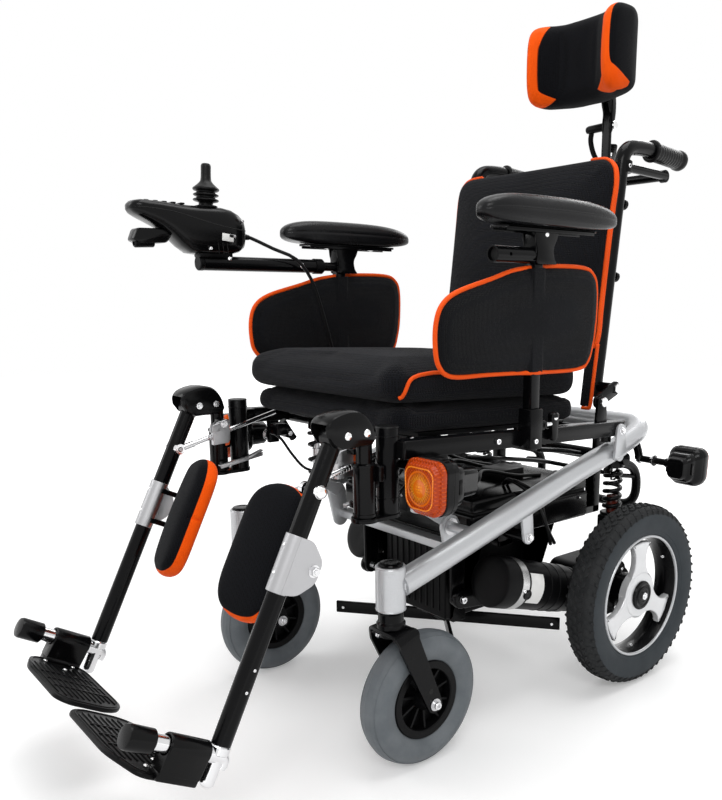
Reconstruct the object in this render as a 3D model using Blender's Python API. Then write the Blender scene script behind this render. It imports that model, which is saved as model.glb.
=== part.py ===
# Electric wheelchair with powered rear wheels, front casters, swing-away leg rests, headrest and joystick.
# The chair faces -Y and its left side is +X. Shapes are drawn with y measured from the rear axle and
# z from the ground, and place() then moves them into the part's frame, whose origin is mid-length.
import math

import bmesh
import bpy
from mathutils import Matrix, Vector

# Driving dimensions, in metres.
rear_axle_y = 0.338
frame_width = 0.425
frame_tube = 0.036
wheelbase = 0.5113
rear_wheel_diameter = 0.318
rear_wheel_width = 0.058
rear_tyre_height = 0.051
caster_diameter = 0.1994
caster_width = 0.050
caster_tyre_height = 0.0418
caster_trail = 0.051
crown_clearance = 0.008
head_height = 0.064
head_diameter = 0.042
head_above_tyre = 0.0456
motor_diameter = 0.085
motor_length = 0.185
seat_rail_height = 0.025
seat_rail_width = 0.022
seat_depth = 0.472
seat_rail_top = 0.483
seat_slope = math.radians(2.2)
seat_width = frame_width - 0.025
cushion_depth = 0.435
seat_base_thickness = 0.040
seat_cushion_thickness = 0.062
back_height = 0.385
back_lean = math.radians(7.2)
back_cushion_thickness = 0.048
cane_diameter = 0.025
headrest_width = 0.226
headrest_height = 0.150
headrest_thickness = 0.120
armrest_length = 0.290
armrest_pad_top = 0.806
armrest_pad_thickness = 0.042
leg_tube_diameter = 0.025
leg_length = 0.396
leg_lean = math.radians(26.2)
foot_bar_length = 0.127
signal_width = 0.078
spring_wire = 0.0065
gap = 0.0003
turning_gap = 0.0010
wheel_facets = 24
caster_facets = 18

frame_x = frame_width / 2
rear_radius = rear_wheel_diameter / 2
rear_wheel_x = frame_x + 0.0049 + rear_wheel_width / 2
caster_radius = caster_diameter / 2
caster_x = frame_x - 0.0066
legrest_x = frame_x - 0.0091
cane_x = frame_x - 0.0405
rail_x = frame_x + 0.010
head_bottom = caster_diameter + head_above_tyre
nominal_head_bottom = 0.245
ride_rise = head_bottom - nominal_head_bottom
back_width = 2 * cane_x + 0.036
back_cushion_height = back_height - 0.050
sides = ((1, "left"), (-1, "right"))

for old in list(bpy.data.objects):
    bpy.data.objects.remove(old)


def material(name, colour, roughness, metallic=0.0):
    made = bpy.data.materials.new(name)
    made.use_nodes = True
    shader = made.node_tree.nodes["Principled BSDF"]
    shader.inputs["Base Color"].default_value = (*colour, 1)
    shader.inputs["Roughness"].default_value = roughness
    shader.inputs["Metallic"].default_value = metallic
    return made


silver_paint = material("silver_paint", (0.62, 0.63, 0.64), 0.35, 0.6)
black_paint = material("black_paint", (0.012, 0.012, 0.013), 0.3, 0.2)
black_plastic = material("black_plastic", (0.02, 0.02, 0.022), 0.5)
soft_plastic = material("soft_plastic", (0.03, 0.03, 0.032), 0.7)
black_fabric = material("black_fabric", (0.016, 0.017, 0.02), 0.95)
tyre_rubber = material("tyre_rubber", (0.045, 0.047, 0.05), 0.85)
caster_rubber = material("caster_rubber", (0.17, 0.19, 0.20), 0.6)
amber = material("amber", (0.9, 0.2, 0.01), 0.15)
steel = material("steel", (0.7, 0.7, 0.7), 0.3, 1.0)
spring_paint = material("spring_paint", (0.01, 0.01, 0.01), 0.35, 0.3)


def as_object(shape, name="piece"):
    """A new object holding this bmesh, with its faces turned outwards."""
    bmesh.ops.recalc_face_normals(shape, faces=shape.faces)
    mesh = bpy.data.meshes.new(name)
    shape.to_mesh(mesh)
    shape.free()
    made = bpy.data.objects.new(name, mesh)
    bpy.context.scene.collection.objects.link(made)
    return made


def along(start, end):
    """A matrix that puts the origin at start and turns +Z towards end."""
    start = Vector(start)
    turn = Vector((0, 0, 1)).rotation_difference(Vector(end) - start)
    return Matrix.Translation(start) @ turn.to_matrix().to_4x4()


def box(size, centre, turn=None, bevel=0.0, steps=2):
    shape = bmesh.new()
    bmesh.ops.create_cube(shape, size=1)
    bmesh.ops.scale(shape, vec=size, verts=shape.verts)
    if bevel:
        bmesh.ops.bevel(
            shape, geom=shape.edges[:], offset=bevel, segments=steps, profile=0.5, affect="EDGES"
        )
    place_at = Matrix.Translation(Vector(centre))
    if turn is not None:
        place_at = place_at @ turn.to_4x4()
    bmesh.ops.transform(shape, matrix=place_at, verts=shape.verts)
    return as_object(shape)


def rod(start, end, radius, facets=8):
    """A solid round bar from one point to another."""
    length = (Vector(end) - Vector(start)).length
    shape = bmesh.new()
    bmesh.ops.create_cone(
        shape,
        cap_ends=True,
        segments=facets,
        radius1=radius,
        radius2=radius,
        depth=length,
    )
    bmesh.ops.translate(shape, vec=(0, 0, length / 2), verts=shape.verts)
    bmesh.ops.transform(shape, matrix=along(start, end), verts=shape.verts)
    return as_object(shape)


def turned(profile, start, end, facets=24):
    """Spins (radius, distance along) points about the line from start to end."""
    shape = bmesh.new()
    points = [shape.verts.new((radius, 0, distance)) for radius, distance in profile]
    edges = [
        shape.edges.new((a, b))
        for a, b in zip(points, points[1:] + points[:1])
        if a.co.x > 0 or b.co.x > 0
    ]
    bmesh.ops.spin(
        shape,
        geom=points + edges,
        cent=(0, 0, 0),
        axis=(0, 0, 1),
        angle=2 * math.pi,
        steps=facets,
        use_merge=True,
    )
    bmesh.ops.remove_doubles(shape, verts=shape.verts, dist=1e-6)
    bmesh.ops.dissolve_degenerate(shape, edges=shape.edges, dist=1e-6)
    bmesh.ops.transform(shape, matrix=along(start, end), verts=shape.verts)
    return as_object(shape)


def prism(outline, axis, start, end):
    """An outline pushed along X, Y or Z. The outline's two numbers are the other two axes, in order."""
    at = {
        "X": lambda a, b: (start, a, b),
        "Y": lambda a, b: (a, start, b),
        "Z": lambda a, b: (a, b, start),
    }[axis]
    push = {"X": (end - start, 0, 0), "Y": (0, end - start, 0), "Z": (0, 0, end - start)}[axis]
    shape = bmesh.new()
    face = shape.faces.new([shape.verts.new(at(*point)) for point in outline])
    pushed = bmesh.ops.extrude_face_region(shape, geom=[face])["geom"]
    corners = [part for part in pushed if isinstance(part, bmesh.types.BMVert)]
    bmesh.ops.translate(shape, vec=push, verts=corners)
    return as_object(shape)


def bent(points, radius, steps=5):
    """The same route with each inner corner rounded, as a tube bender leaves it."""
    points = [Vector(point) for point in points]
    route = [points[0]]
    for before, corner, after in zip(points, points[1:], points[2:]):
        reach = min(radius, (corner - before).length * 0.49, (after - corner).length * 0.49)
        enter = corner + (before - corner).normalized() * reach
        leave = corner + (after - corner).normalized() * reach
        for step in range(steps + 1):
            share = step / steps
            route.append(enter.lerp(corner, share).lerp(corner.lerp(leave, share), share))
    return route + [points[-1]]


def smooth(points, steps=4):
    """A smooth curve that passes through every point."""
    points = [Vector(point) for point in points]
    ends = [points[0] * 2 - points[1]] + points + [points[-1] * 2 - points[-2]]
    route = []
    for p, q, r, s in zip(ends, ends[1:], ends[2:], ends[3:]):
        for step in range(steps):
            t = step / steps
            route.append(
                0.5
                * (
                    2 * q
                    + (r - p) * t
                    + (2 * p - 5 * q + 4 * r - s) * t**2
                    + (3 * q - p - 3 * r + s) * t**3
                )
            )
    return route + [points[-1]]


def cord(points, radius, roundness=4):
    """A tube along the points, kept as a curve with filled caps."""
    data = bpy.data.curves.new("route", "CURVE")
    data.dimensions = "3D"
    data.bevel_depth = radius
    data.bevel_resolution = roundness
    data.use_fill_caps = True
    line = data.splines.new("POLY")
    line.points.add(len(points) - 1)
    for spot, point in zip(line.points, points):
        spot.co = (*point, 1)
    made = bpy.data.objects.new("route", data)
    bpy.context.scene.collection.objects.link(made)
    return made


def evaluated_mesh(source):
    bpy.context.view_layer.update()
    graph = bpy.context.evaluated_depsgraph_get()
    return bpy.data.meshes.new_from_object(source.evaluated_get(graph), depsgraph=graph)


def pipe(points, radius, roundness=4):
    """The same tube as a closed mesh, ready to be joined to other shapes."""
    curve = cord(points, radius, roundness)
    shape = bmesh.new()
    shape.from_mesh(evaluated_mesh(curve))
    bpy.data.objects.remove(curve)
    bmesh.ops.remove_doubles(shape, verts=shape.verts, dist=1e-6)
    return as_object(shape)


def combined(target, others, operation):
    for other in others:
        step = target.modifiers.new(operation.lower(), "BOOLEAN")
        step.operation = operation
        step.solver = "EXACT"
        step.object = other
    mesh = evaluated_mesh(target)
    target.modifiers.clear()
    target.data = mesh
    for other in others:
        bpy.data.objects.remove(other)
    return target


def fused(pieces, cuts=()):
    """Pieces united into one closed body, with the cuts taken out."""
    whole = combined(pieces[0], pieces[1:], "UNION")
    return combined(whole, list(cuts), "DIFFERENCE") if cuts else whole


def soft_block(half, edge, corner, crown=0.0, draw=0.0, cuts=5):
    """A stuffed block about the origin: round edges and corners, a crowned top and drawn-in sides."""
    shape = bmesh.new()
    bmesh.ops.create_cube(shape, size=2)
    bmesh.ops.subdivide_edges(shape, edges=shape.edges[:], cuts=cuts, use_grid_fill=True)
    half = Vector(half)
    for spot in shape.verts:
        spread = Vector([math.sin(value * math.pi / 2) for value in spot.co])
        point = Vector([spread[i] * half[i] for i in range(3)])
        core = Vector([max(-(half[i] - edge), min(half[i] - edge, point[i])) for i in range(3)])
        away = point - core
        if away.length > 1e-9:
            point = core + away.normalized() * edge
        inner = [max(-(half[i] - corner), min(half[i] - corner, point[i])) for i in range(2)]
        beyond = [(point[i] - inner[i]) / corner for i in range(2)]
        for i in range(2):
            point[i] = inner[i] + corner * beyond[i] * math.sqrt(1 - beyond[1 - i] ** 2 / 2)
        flat = [point[i] / half[i] for i in range(3)]
        point.z += crown * max(0.0, flat[2]) * (1 - flat[0] ** 2) * (1 - flat[1] ** 2)
        point.x *= 1 - draw * (1 - flat[1] ** 2)
        point.y *= 1 - draw * (1 - flat[0] ** 2)
        spot.co = point
    return as_object(shape)


def moved(piece, matrix):
    piece.data.transform(matrix)
    return piece


def place(name, piece, look, pivot=(0, 0, 0), rise=None):
    """Names the piece, gives it its material and puts its origin on its pivot, in the part's frame."""
    pivot = Vector(pivot)
    lift = ride_rise if rise is None else rise
    piece.name = name
    piece.data.name = name
    piece.data.transform(Matrix.Translation(-pivot))
    piece.location = pivot + Vector((0, rear_axle_y, lift))
    piece.data.materials.clear()
    piece.data.materials.append(look)
    if piece.type == "MESH":
        piece.data.shade_smooth()
        piece.data.set_sharp_from_angle(angle=math.radians(35))
    return piece


def strap(start, start_half, end, end_half, steps=4):
    """The outline of a bar with round ends, from two points and the half width at each."""
    start = Vector(start)
    end = Vector(end)
    heading = math.atan2(end.y - start.y, end.x - start.x)
    outline = []
    for centre, half, first in ((end, end_half, -0.5), (start, start_half, 0.5)):
        for step in range(steps + 1):
            angle = heading + math.pi * (first + step / steps)
            outline.append((centre.x + half * math.cos(angle), centre.y + half * math.sin(angle)))
    return outline


def plate(outline, near, far, side):
    """A prism across the chair, from near to far outwards, on this side."""
    low, high = sorted((side * near, side * far))
    return prism(outline, "X", low, high)


# Silver chassis: two side tubes joined by the rear hoop, the caster heads and the front cross bar.
tube_route = (
    (0.0, -wheelbase + 0.012, 0.281),
    (0.0, -0.371, 0.316),
    (0.0, -0.108, 0.392),
    (0.0, 0.000, 0.417),
    (-0.006, 0.036, 0.432),
    (-0.035, 0.056, 0.444),
)
cross_bar_y = -0.332
cross_bar_z = 0.283
eye_x = frame_x - 0.0625
eye = (-0.350, 0.323)
front_spring_x = eye_x - 0.012
front_spring_y = -0.398
front_spring_low = 0.362
front_spring_high = 0.446
head_top = nominal_head_bottom + head_height
stem_radius = 0.008
rear_signal_x = rear_wheel_x + 0.0336
rear_signal_y = 0.083
rear_signal_z = rear_wheel_diameter + 0.021 + signal_width / 2
tab_y = -0.257
tab_bolt = (-0.251, 0.302)


def chassis_frame():
    half = [Vector((frame_x + x, y, z)) for x, y, z in tube_route]
    route = smooth(half + [Vector((-p.x, p.y, p.z)) for p in reversed(half)], 2)
    pieces = [pipe(route, frame_tube / 2, 3)]
    cuts = []
    for side, _ in sides:
        head = Vector((side * caster_x, -wheelbase, 0))
        bottom = head + Vector((0, 0, nominal_head_bottom))
        top = head + Vector((0, 0, head_top))
        pieces.append(rod(bottom, top, head_diameter / 2, facets=14))
        below = Vector((0, 0, 0.006))
        cuts.append(rod(bottom - below, top - below, stem_radius + turning_gap))
        # The eye plate, its tube, and the front spring's lower seat with its bracket.
        pieces.append(rod((side * frame_x, *eye), (side * (eye_x - 0.006), *eye), 0.008))
        pieces.append(box((0.006, 0.030, 0.068), (side * eye_x, eye[0] + 0.007, eye[1] - 0.014)))
        spring = side * front_spring_x
        seat_low = front_spring_low - 0.010
        seat_high = front_spring_low - gap
        pieces.append(rod((spring, front_spring_y, seat_low), (spring, front_spring_y, seat_high), 0.0155))
        bracket = ((-0.404, seat_low), (-0.392, seat_low + 0.007), (-0.338, 0.336), (-0.352, 0.318))
        pieces.append(plate(bracket, eye_x - 0.006, eye_x - 0.001, side))
        # The arm that holds the rear signal's stem.
        arm_x = side * (frame_x - 0.0155)
        arm_end = Vector((arm_x, rear_signal_y - 0.010, rear_signal_z + 0.005 - ride_rise))
        pieces.append(rod((arm_x, 0.048, 0.436), arm_end, 0.007))
        pieces.append(rod(arm_end, arm_end + Vector((side * 0.007, 0, 0)), 0.008))
        # The tab under the side tube and the lug over it, each bolted to the black frame.
        tab_x = side * (frame_x + 0.010)
        pieces.append(
            prism(
                (
                    (tab_y - 0.016, 0.345),
                    (tab_y + 0.010, 0.352),
                    (tab_y + 0.017, 0.300),
                    (tab_y + 0.006, 0.291),
                    (tab_y - 0.005, 0.297),
                ),
                "X",
                tab_x - 0.003,
                tab_x + 0.003,
            )
        )
        cuts.append(
            rod((tab_x - 0.006, *tab_bolt), (tab_x + 0.006, *tab_bolt), 0.004 + gap)
        )
        pieces.append(
            prism(
                ((-0.056, 0.400), (-0.028, 0.406), (-0.031, 0.456), (-0.042, 0.464), (-0.053, 0.458)),
                "X",
                side * (frame_x + 0.0240) - 0.0025,
                side * (frame_x + 0.0240) + 0.0025,
            )
        )
        pieces.append(
            rod(
                (side * (frame_x + 0.010), -0.042, 0.408),
                (side * (frame_x + 0.0255), -0.042, 0.408),
                0.010,
            )
        )
    pieces.append(
        box((2 * eye_x + 0.012, 0.024, 0.014), (0, cross_bar_y, cross_bar_z))
    )
    place("chassis_frame", fused(pieces, cuts), silver_paint)


chassis_frame()


# Rear wheels: a treaded tyre on a rim with three spokes.
def rear_tyre(side, label):
    half = rear_wheel_width / 2
    bead = rear_radius - rear_tyre_height
    outer = (
        (bead + gap, 0.74 * half),
        (bead + 0.012, 0.94 * half),
        (bead + 0.028, half),
        (rear_radius - 0.0060, 0.80 * half),
        (rear_radius, 0.30 * half),
    )
    profile = list(outer) + [(radius, -along_axle) for radius, along_axle in reversed(outer)]
    hub = Vector((side * rear_wheel_x, 0, rear_radius))
    ring = turned(profile, hub, hub + Vector((side, 0, 0)), facets=wheel_facets)
    place(f"rear_tyre_{label}", ring, tyre_rubber, hub, rise=0)


def rear_wheel(side, label):
    bead = rear_radius - rear_tyre_height
    hub = Vector((side * rear_wheel_x, 0, rear_radius))
    out = hub + Vector((side, 0, 0))
    rim = turned(
        (
            (bead, -0.0215),
            (bead, 0.0215),
            (bead - 0.006, 0.0234),
            (bead - 0.017, 0.006),
            (bead - 0.017, -0.012),
            (bead - 0.008, -0.0215),
        ),
        hub,
        out,
        facets=wheel_facets,
    )
    centre = turned(
        ((0, -0.0255), (0.031, -0.0255), (0.031, 0.012), (0.024, 0.0255), (0, 0.0265)), hub, out, facets=14
    )
    spokes = []
    for turn in range(3):
        spoke = prism(
            (
                (-0.019, 0.018),
                (0.019, 0.018),
                (0.013, 0.052),
                (0.020, bead - 0.013),
                (-0.020, bead - 0.013),
                (-0.013, 0.052),
            ),
            "X",
            0.002,
            0.016,
        )
        spin = Matrix.Rotation(turn * math.tau / 3, 4, "X")
        face = Matrix.Scale(side, 4, (1, 0, 0))
        spoke.data.transform(Matrix.Translation(hub) @ face @ spin)
        if side < 0:
            spoke.data.flip_normals()
        spokes.append(spoke)
    place(f"rear_wheel_{label}", fused([rim, centre] + spokes), black_plastic, hub, rise=0)


# Drive units: a gearbox and spring post on a trailing arm, with the motor lying along it.
arm_pivot = (-0.300, 0.185)
motor_x = frame_x - 0.0405
motor_front = (-0.283, 0.225)
motor_drop = math.radians(17)
gearbox_outer = rear_wheel_x - 0.0340
arm_inner = motor_x - 0.054
spring_x = frame_x - 0.0475
spring_y = 0.042
spring_seat = 0.284
spring_top = 0.366
spring_radius = 0.0175
damper_height = 0.030


def motor_point(distance, side):
    y, z = motor_front
    return Vector(
        (side * motor_x, y + distance * math.cos(motor_drop), z - distance * math.sin(motor_drop))
    )


def drive_motor(side, label):
    radius = motor_diameter / 2
    shell = turned(
        (
            (0, 0),
            (radius - 0.004, 0),
            (radius, 0.004),
            (radius, 0.050),
            (radius - 0.002, 0.052),
            (radius - 0.002, motor_length),
            (0, motor_length),
        ),
        motor_point(0, side),
        motor_point(1, side),
        facets=20,
    )
    place(f"drive_motor_{label}", shell, black_paint, (side * motor_x, *arm_pivot))


def drive_arm(side, label):
    axle = Vector((0, 0, rear_radius - ride_rise))
    pieces = [
        box(
            (gearbox_outer - arm_inner, 0.104, 0.094),
            (side * (gearbox_outer + arm_inner) / 2, -0.024, axle.z),
            bevel=0.008,
            steps=1,
        ),
        rod(
            motor_point(motor_length + gap, side),
            motor_point(motor_length + 0.050, side),
            0.036,
            facets=16,
        ),
        rod(
            (side * (gearbox_outer - 0.010), 0, axle.z),
            (side * (rear_wheel_x - 0.0255 - gap), 0, axle.z),
            0.014,
        ),
        plate(
            strap(arm_pivot, 0.014, (-0.040, axle.z), 0.020), arm_inner, arm_inner + 0.0105, side
        ),
        box(
            (0.026, 0.026, spring_seat - 0.004 - axle.z),
            (side * spring_x, spring_y - 0.015, (spring_seat - 0.004 + axle.z) / 2),
        ),
        rod(
            (side * spring_x, spring_y, spring_seat - 0.012),
            (side * spring_x, spring_y, spring_seat - gap),
            0.021,
            facets=12,
        ),
        turned(
            (
                (0.0056, 0.004),
                (0.0056, damper_height),
                (0.0085, damper_height),
                (0.0085, -0.006),
                (0, -0.006),
                (0, 0.004),
            ),
            (side * spring_x, spring_y, spring_seat),
            (side * spring_x, spring_y, 1),
            facets=12,
        ),
    ]
    bore = rod(
        (side * (arm_inner - 0.005), *arm_pivot), (side * (arm_inner + 0.016), *arm_pivot), 0.0060 + turning_gap
    )
    place(f"drive_arm_{label}", fused(pieces, [bore]), black_paint, (side * arm_inner, *arm_pivot))


def coil(centre, low, high, radius, turns, points=8):
    """One unbroken spring wire from low to high, with half a turn closed up at each end."""
    lift = spring_wire * 1.12
    closed_turns = 0.9
    free_turns = turns - 2 * closed_turns
    route = []
    count = round(turns * points)
    for step in range(count + 1):
        done = turns * step / count
        start_run = min(done, closed_turns)
        end_run = max(0.0, done - closed_turns - free_turns)
        free_run = done - start_run - end_run
        free_rise = (high - low - spring_wire - 2 * closed_turns * lift) / free_turns
        height = low + spring_wire / 2 + (start_run + end_run) * lift + free_run * free_rise
        angle = done * math.tau
        route.append(
            Vector((centre.x + radius * math.cos(angle), centre.y + radius * math.sin(angle), height))
        )
    return route


def least_gap(route, wire, apart):
    """The narrowest gap between parts of the wire that lie at least this many points apart."""
    found = min(
        (route[i] - route[j]).length for i in range(len(route)) for j in range(i + apart, len(route))
    )
    return found - wire


def spring_piece(name, centre, low, high, radius, turns, rise=None):
    route = coil(centre, low + gap, high - gap, radius, turns)
    print(f"{name}: least gap to itself {least_gap(route, spring_wire, 5) * 1000:.2f} mm")
    wire = pipe(route, spring_wire / 2, 1)
    place(name, wire, spring_paint, (centre.x, centre.y, high), rise=rise)


def drive_pieces():
    for side, label in sides:
        rear_tyre(side, label)
        rear_wheel(side, label)
        drive_motor(side, label)
        drive_arm(side, label)
        spring_piece(
            f"rear_spring_{label}",
            Vector((side * spring_x, spring_y, 0)),
            spring_seat,
            spring_top,
            spring_radius - spring_wire / 2,
            5.5,
        )


# Casters: a fork that swivels in its head, and a wheel that trails behind the swivel.
caster_axle_y = -wheelbase + caster_trail
blade_inner = caster_width / 2 + 0.006
blade_thickness = 0.005


def caster_fork(side, label):
    crown_low = caster_diameter + crown_clearance
    crown_high = crown_low + 0.012
    x = side * caster_x
    span = blade_inner + blade_thickness
    pieces = [
        box((2 * span, 0.042, 0.012), (x, -wheelbase, (crown_low + crown_high) / 2)),
        rod((x, -wheelbase, crown_high - 0.002), (x, -wheelbase, head_bottom - gap), 0.017, facets=12),
        rod((x, -wheelbase, crown_high), (x, -wheelbase, head_bottom + 0.048), stem_radius),
        rod(
            (x - span - 0.006, caster_axle_y, caster_radius),
            (x + span + 0.006, caster_axle_y, caster_radius),
            0.005,
        ),
    ]
    for way in (1, -1):
        outline = strap((-wheelbase, crown_high - 0.018), 0.0175, (caster_axle_y, caster_radius), 0.013)
        low, high = sorted((x + way * blade_inner, x + way * span))
        pieces.append(prism(outline, "X", low, high))
        pieces.append(
            rod(
                (x + way * (span - 0.001), caster_axle_y, caster_radius),
                (x + way * (span + 0.006), caster_axle_y, caster_radius),
                0.0085,
            )
        )
    place(f"caster_fork_{label}", fused(pieces), black_paint, (x, -wheelbase, head_bottom), rise=0)


def caster_wheel(side, label):
    half = caster_width / 2
    bead = caster_radius - caster_tyre_height
    hub = Vector((side * caster_x, caster_axle_y, caster_radius))
    out = hub + Vector((side, 0, 0))
    outer = (
        (bead + gap, 0.62 * half),
        (bead + 0.009, 0.90 * half),
        (bead + 0.020, half),
        (caster_radius - 0.0060, 0.65 * half),
        (caster_radius, 0.0),
    )
    profile = list(outer) + [(radius, -spot) for radius, spot in reversed(outer[:-1])]
    ring = turned(profile, hub, out, facets=caster_facets)
    place(f"caster_tyre_{label}", ring, caster_rubber, hub, rise=0)
    reach = blade_inner - gap
    face = (
        (0.0058, reach),
        (0.013, reach),
        (bead - 0.014, 0.006),
        (bead - 0.009, 0.0161),
        (bead, 0.0161),
    )
    profile = list(face) + [(radius, -spot) for radius, spot in reversed(face)]
    core = turned(profile, hub, out, facets=caster_facets)
    place(f"caster_hub_{label}", core, black_plastic, hub, rise=0)


def casters():
    for side, label in sides:
        caster_fork(side, label)
        caster_wheel(side, label)


# Black lower frame: battery rails, cradle, cross braces, arm pivots and the rear guard hoop.
rail_low = 0.275
rail_high = 0.289
tray_rail_x = motor_x - 0.052
battery_half = frame_x - 0.0425
battery_front = -0.3185
battery_rear = -0.035
cell_half = tray_rail_x - 0.0405
rear_tube_y = 0.042
rear_tube_z = 0.384
guard_x = tray_rail_x + 0.002
cradle_low = 0.1265
brace_y = -0.220
brace_reach = 0.125


def lower_frame():
    pieces = [
        pipe(
            bent(
                (
                    (-guard_x, rear_tube_y, rear_tube_z - 0.006),
                    (-guard_x, 0.181, 0.342),
                    (-guard_x, 0.178, 0.262),
                    (guard_x, 0.178, 0.262),
                    (guard_x, 0.181, 0.342),
                    (guard_x, rear_tube_y, rear_tube_z - 0.006),
                ),
                0.045,
                2,
            ),
            0.009,
            1,
        ),
        rod(
            (-frame_x + 0.020, rear_tube_y, rear_tube_z),
            (frame_x - 0.020, rear_tube_y, rear_tube_z),
            0.011,
        ),
    ]
    cradle_half = cell_half + gap
    wall = 0.005
    depth = 0.028
    for y in (-0.265, -0.085):
        pieces.append(box((2 * cradle_half + 2 * wall, depth, wall), (0, y, cradle_low + wall / 2)))
        for side, _ in sides:
            pieces.append(
                box(
                    (wall, depth, rail_high - cradle_low),
                    (side * (cradle_half + wall / 2), y, (rail_high + cradle_low) / 2),
                )
            )
            pieces.append(
                box(
                    (tray_rail_x - cradle_half, depth, 0.008),
                    (side * (tray_rail_x + cradle_half) / 2, y, rail_high - 0.004),
                )
            )
    brace_angle = math.atan2(brace_reach, battery_half - 0.005)
    brace_length = 2 * math.hypot(brace_reach, battery_half - 0.005)
    pieces.append(box((0.030, 0.200, 0.006), (0, -0.175, cradle_low - 0.0025)))
    pieces.append(box((0.034, 0.034, 0.032), (0, brace_y, cradle_low - 0.0145)))
    for way in (1, -1):
        turn = Matrix.Rotation(way * brace_angle, 3, "Z")
        pieces.append(box((brace_length, 0.006, 0.022), (0, brace_y, cradle_low - 0.0265), turn))
    for side, _ in sides:
        rail_front = cross_bar_y + 0.0125
        rail_rear = rear_tube_y + 0.010
        pieces.append(
            box(
                (0.020, rail_rear - rail_front, rail_high - rail_low),
                (side * tray_rail_x, (rail_front + rail_rear) / 2, (rail_low + rail_high) / 2),
            )
        )
        pieces.append(
            box(
                (0.020, 0.020, rear_tube_z - rail_low),
                (side * tray_rail_x, rear_tube_y, (rear_tube_z + rail_low) / 2),
            )
        )
        # The hoop clamp, the spring's upper seat with its guide pin, and the arm's pivot lug.
        pieces.append(box((0.010, 0.030, 0.036), (side * (spring_x - 0.040), 0.050, 0.4075)))
        spring = Vector((side * spring_x, spring_y, 0))
        up = Vector((0, 0, 1))
        pieces.append(rod(spring + up * (spring_top + gap), spring + up * rear_tube_z, 0.019, facets=12))
        pieces.append(
            rod(spring + up * (spring_top - 0.024), spring + up * (spring_top + 0.002), 0.005)
        )
        pieces.append(
            plate(
                strap((arm_pivot[0], rail_high - 0.0165), 0.016, arm_pivot, 0.014),
                arm_inner - 0.0065,
                arm_inner - gap,
                side,
            )
        )
        pieces.append(
            rod((side * (arm_inner - 0.004), *arm_pivot), (side * (arm_inner + 0.0125), *arm_pivot), 0.006)
        )
        # The outrigger that reaches the silver tab.
        pieces.append(
            box(
                (battery_half + 0.007 - tray_rail_x, 0.030, 0.010),
                (side * (battery_half + 0.007 + tray_rail_x) / 2, tab_bolt[0], 0.2835),
            )
        )
        pieces.append(
            box((0.006, 0.030, 0.036), (side * (battery_half + 0.0040), tab_bolt[0], 0.2965))
        )
        pieces.append(
            rod(
                (side * (battery_half + 0.005), *tab_bolt),
                (side * (frame_x + 0.007 - gap), *tab_bolt),
                0.009,
            )
        )
        pieces.append(
            rod(
                (side * (frame_x + 0.013 + gap), *tab_bolt),
                (side * (frame_x + 0.018), *tab_bolt),
                0.007,
            )
        )
        pieces.append(
            rod((side * (frame_x + 0.002), *tab_bolt), (side * (frame_x + 0.016), *tab_bolt), 0.004)
        )
    place("lower_frame", fused(pieces), black_paint)


drive_pieces()
casters()
lower_frame()


battery_top = 0.360
cell_low = cradle_low + 0.0055
cell_height = 0.165


def battery_box():
    upper_low = rail_high + gap
    upper = box(
        (2 * battery_half, battery_rear - battery_front, battery_top - upper_low),
        (0, (battery_rear + battery_front) / 2, (battery_top + upper_low) / 2),
        bevel=0.006,
        steps=1,
    )
    lower = box((2 * cell_half, 0.235, cell_height), (0, -0.175, cell_low + cell_height / 2))
    place("battery_box", fused([upper, lower]), black_plastic)


battery_box()

# Seat frame: two sloping rails with front posts for the leg rests, cross tubes and armrest sockets.
post_y = -0.513
sleeve_y = -0.552
post_radius = 0.0155
sleeve_radius = 0.015
sleeve_pin = 0.008
strut_pin = (-0.630, 0.431)
strut_rise = math.radians(14.3)
strut_length = 0.183
base_z = 0.384
seat_front = -0.497
seat_rear = seat_front + cushion_depth - 0.038
rail_rear_y = -0.028
rail_front_y = rail_rear_y - seat_depth - 0.008
armrest_post = 0.018
armrest_x = rail_x + 0.0175
armrest_y = -0.272
back_pivot = (-0.077, 0.499)
back_plate_x = rail_x - 0.0115
signal_x = rail_x + 0.0495
front_signal = (-0.5166, 0.4279)


def rail_surface(y):
    """Height of the rails' upper face at this place along the chair."""
    return seat_rail_top - (y - rail_front_y) * math.tan(seat_slope)


def tilted_block(width, thickness, y_front, y_rear, base, x=0.0):
    """A plain box that lies along the sloping rails, base above their upper face."""
    middle = (y_front + y_rear) / 2
    length = (y_rear - y_front) / math.cos(seat_slope)
    return box(
        (width, length, thickness),
        (x, middle, rail_surface(middle) + base + thickness / 2),
        Matrix.Rotation(-seat_slope, 3, "X"),
    )


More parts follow.
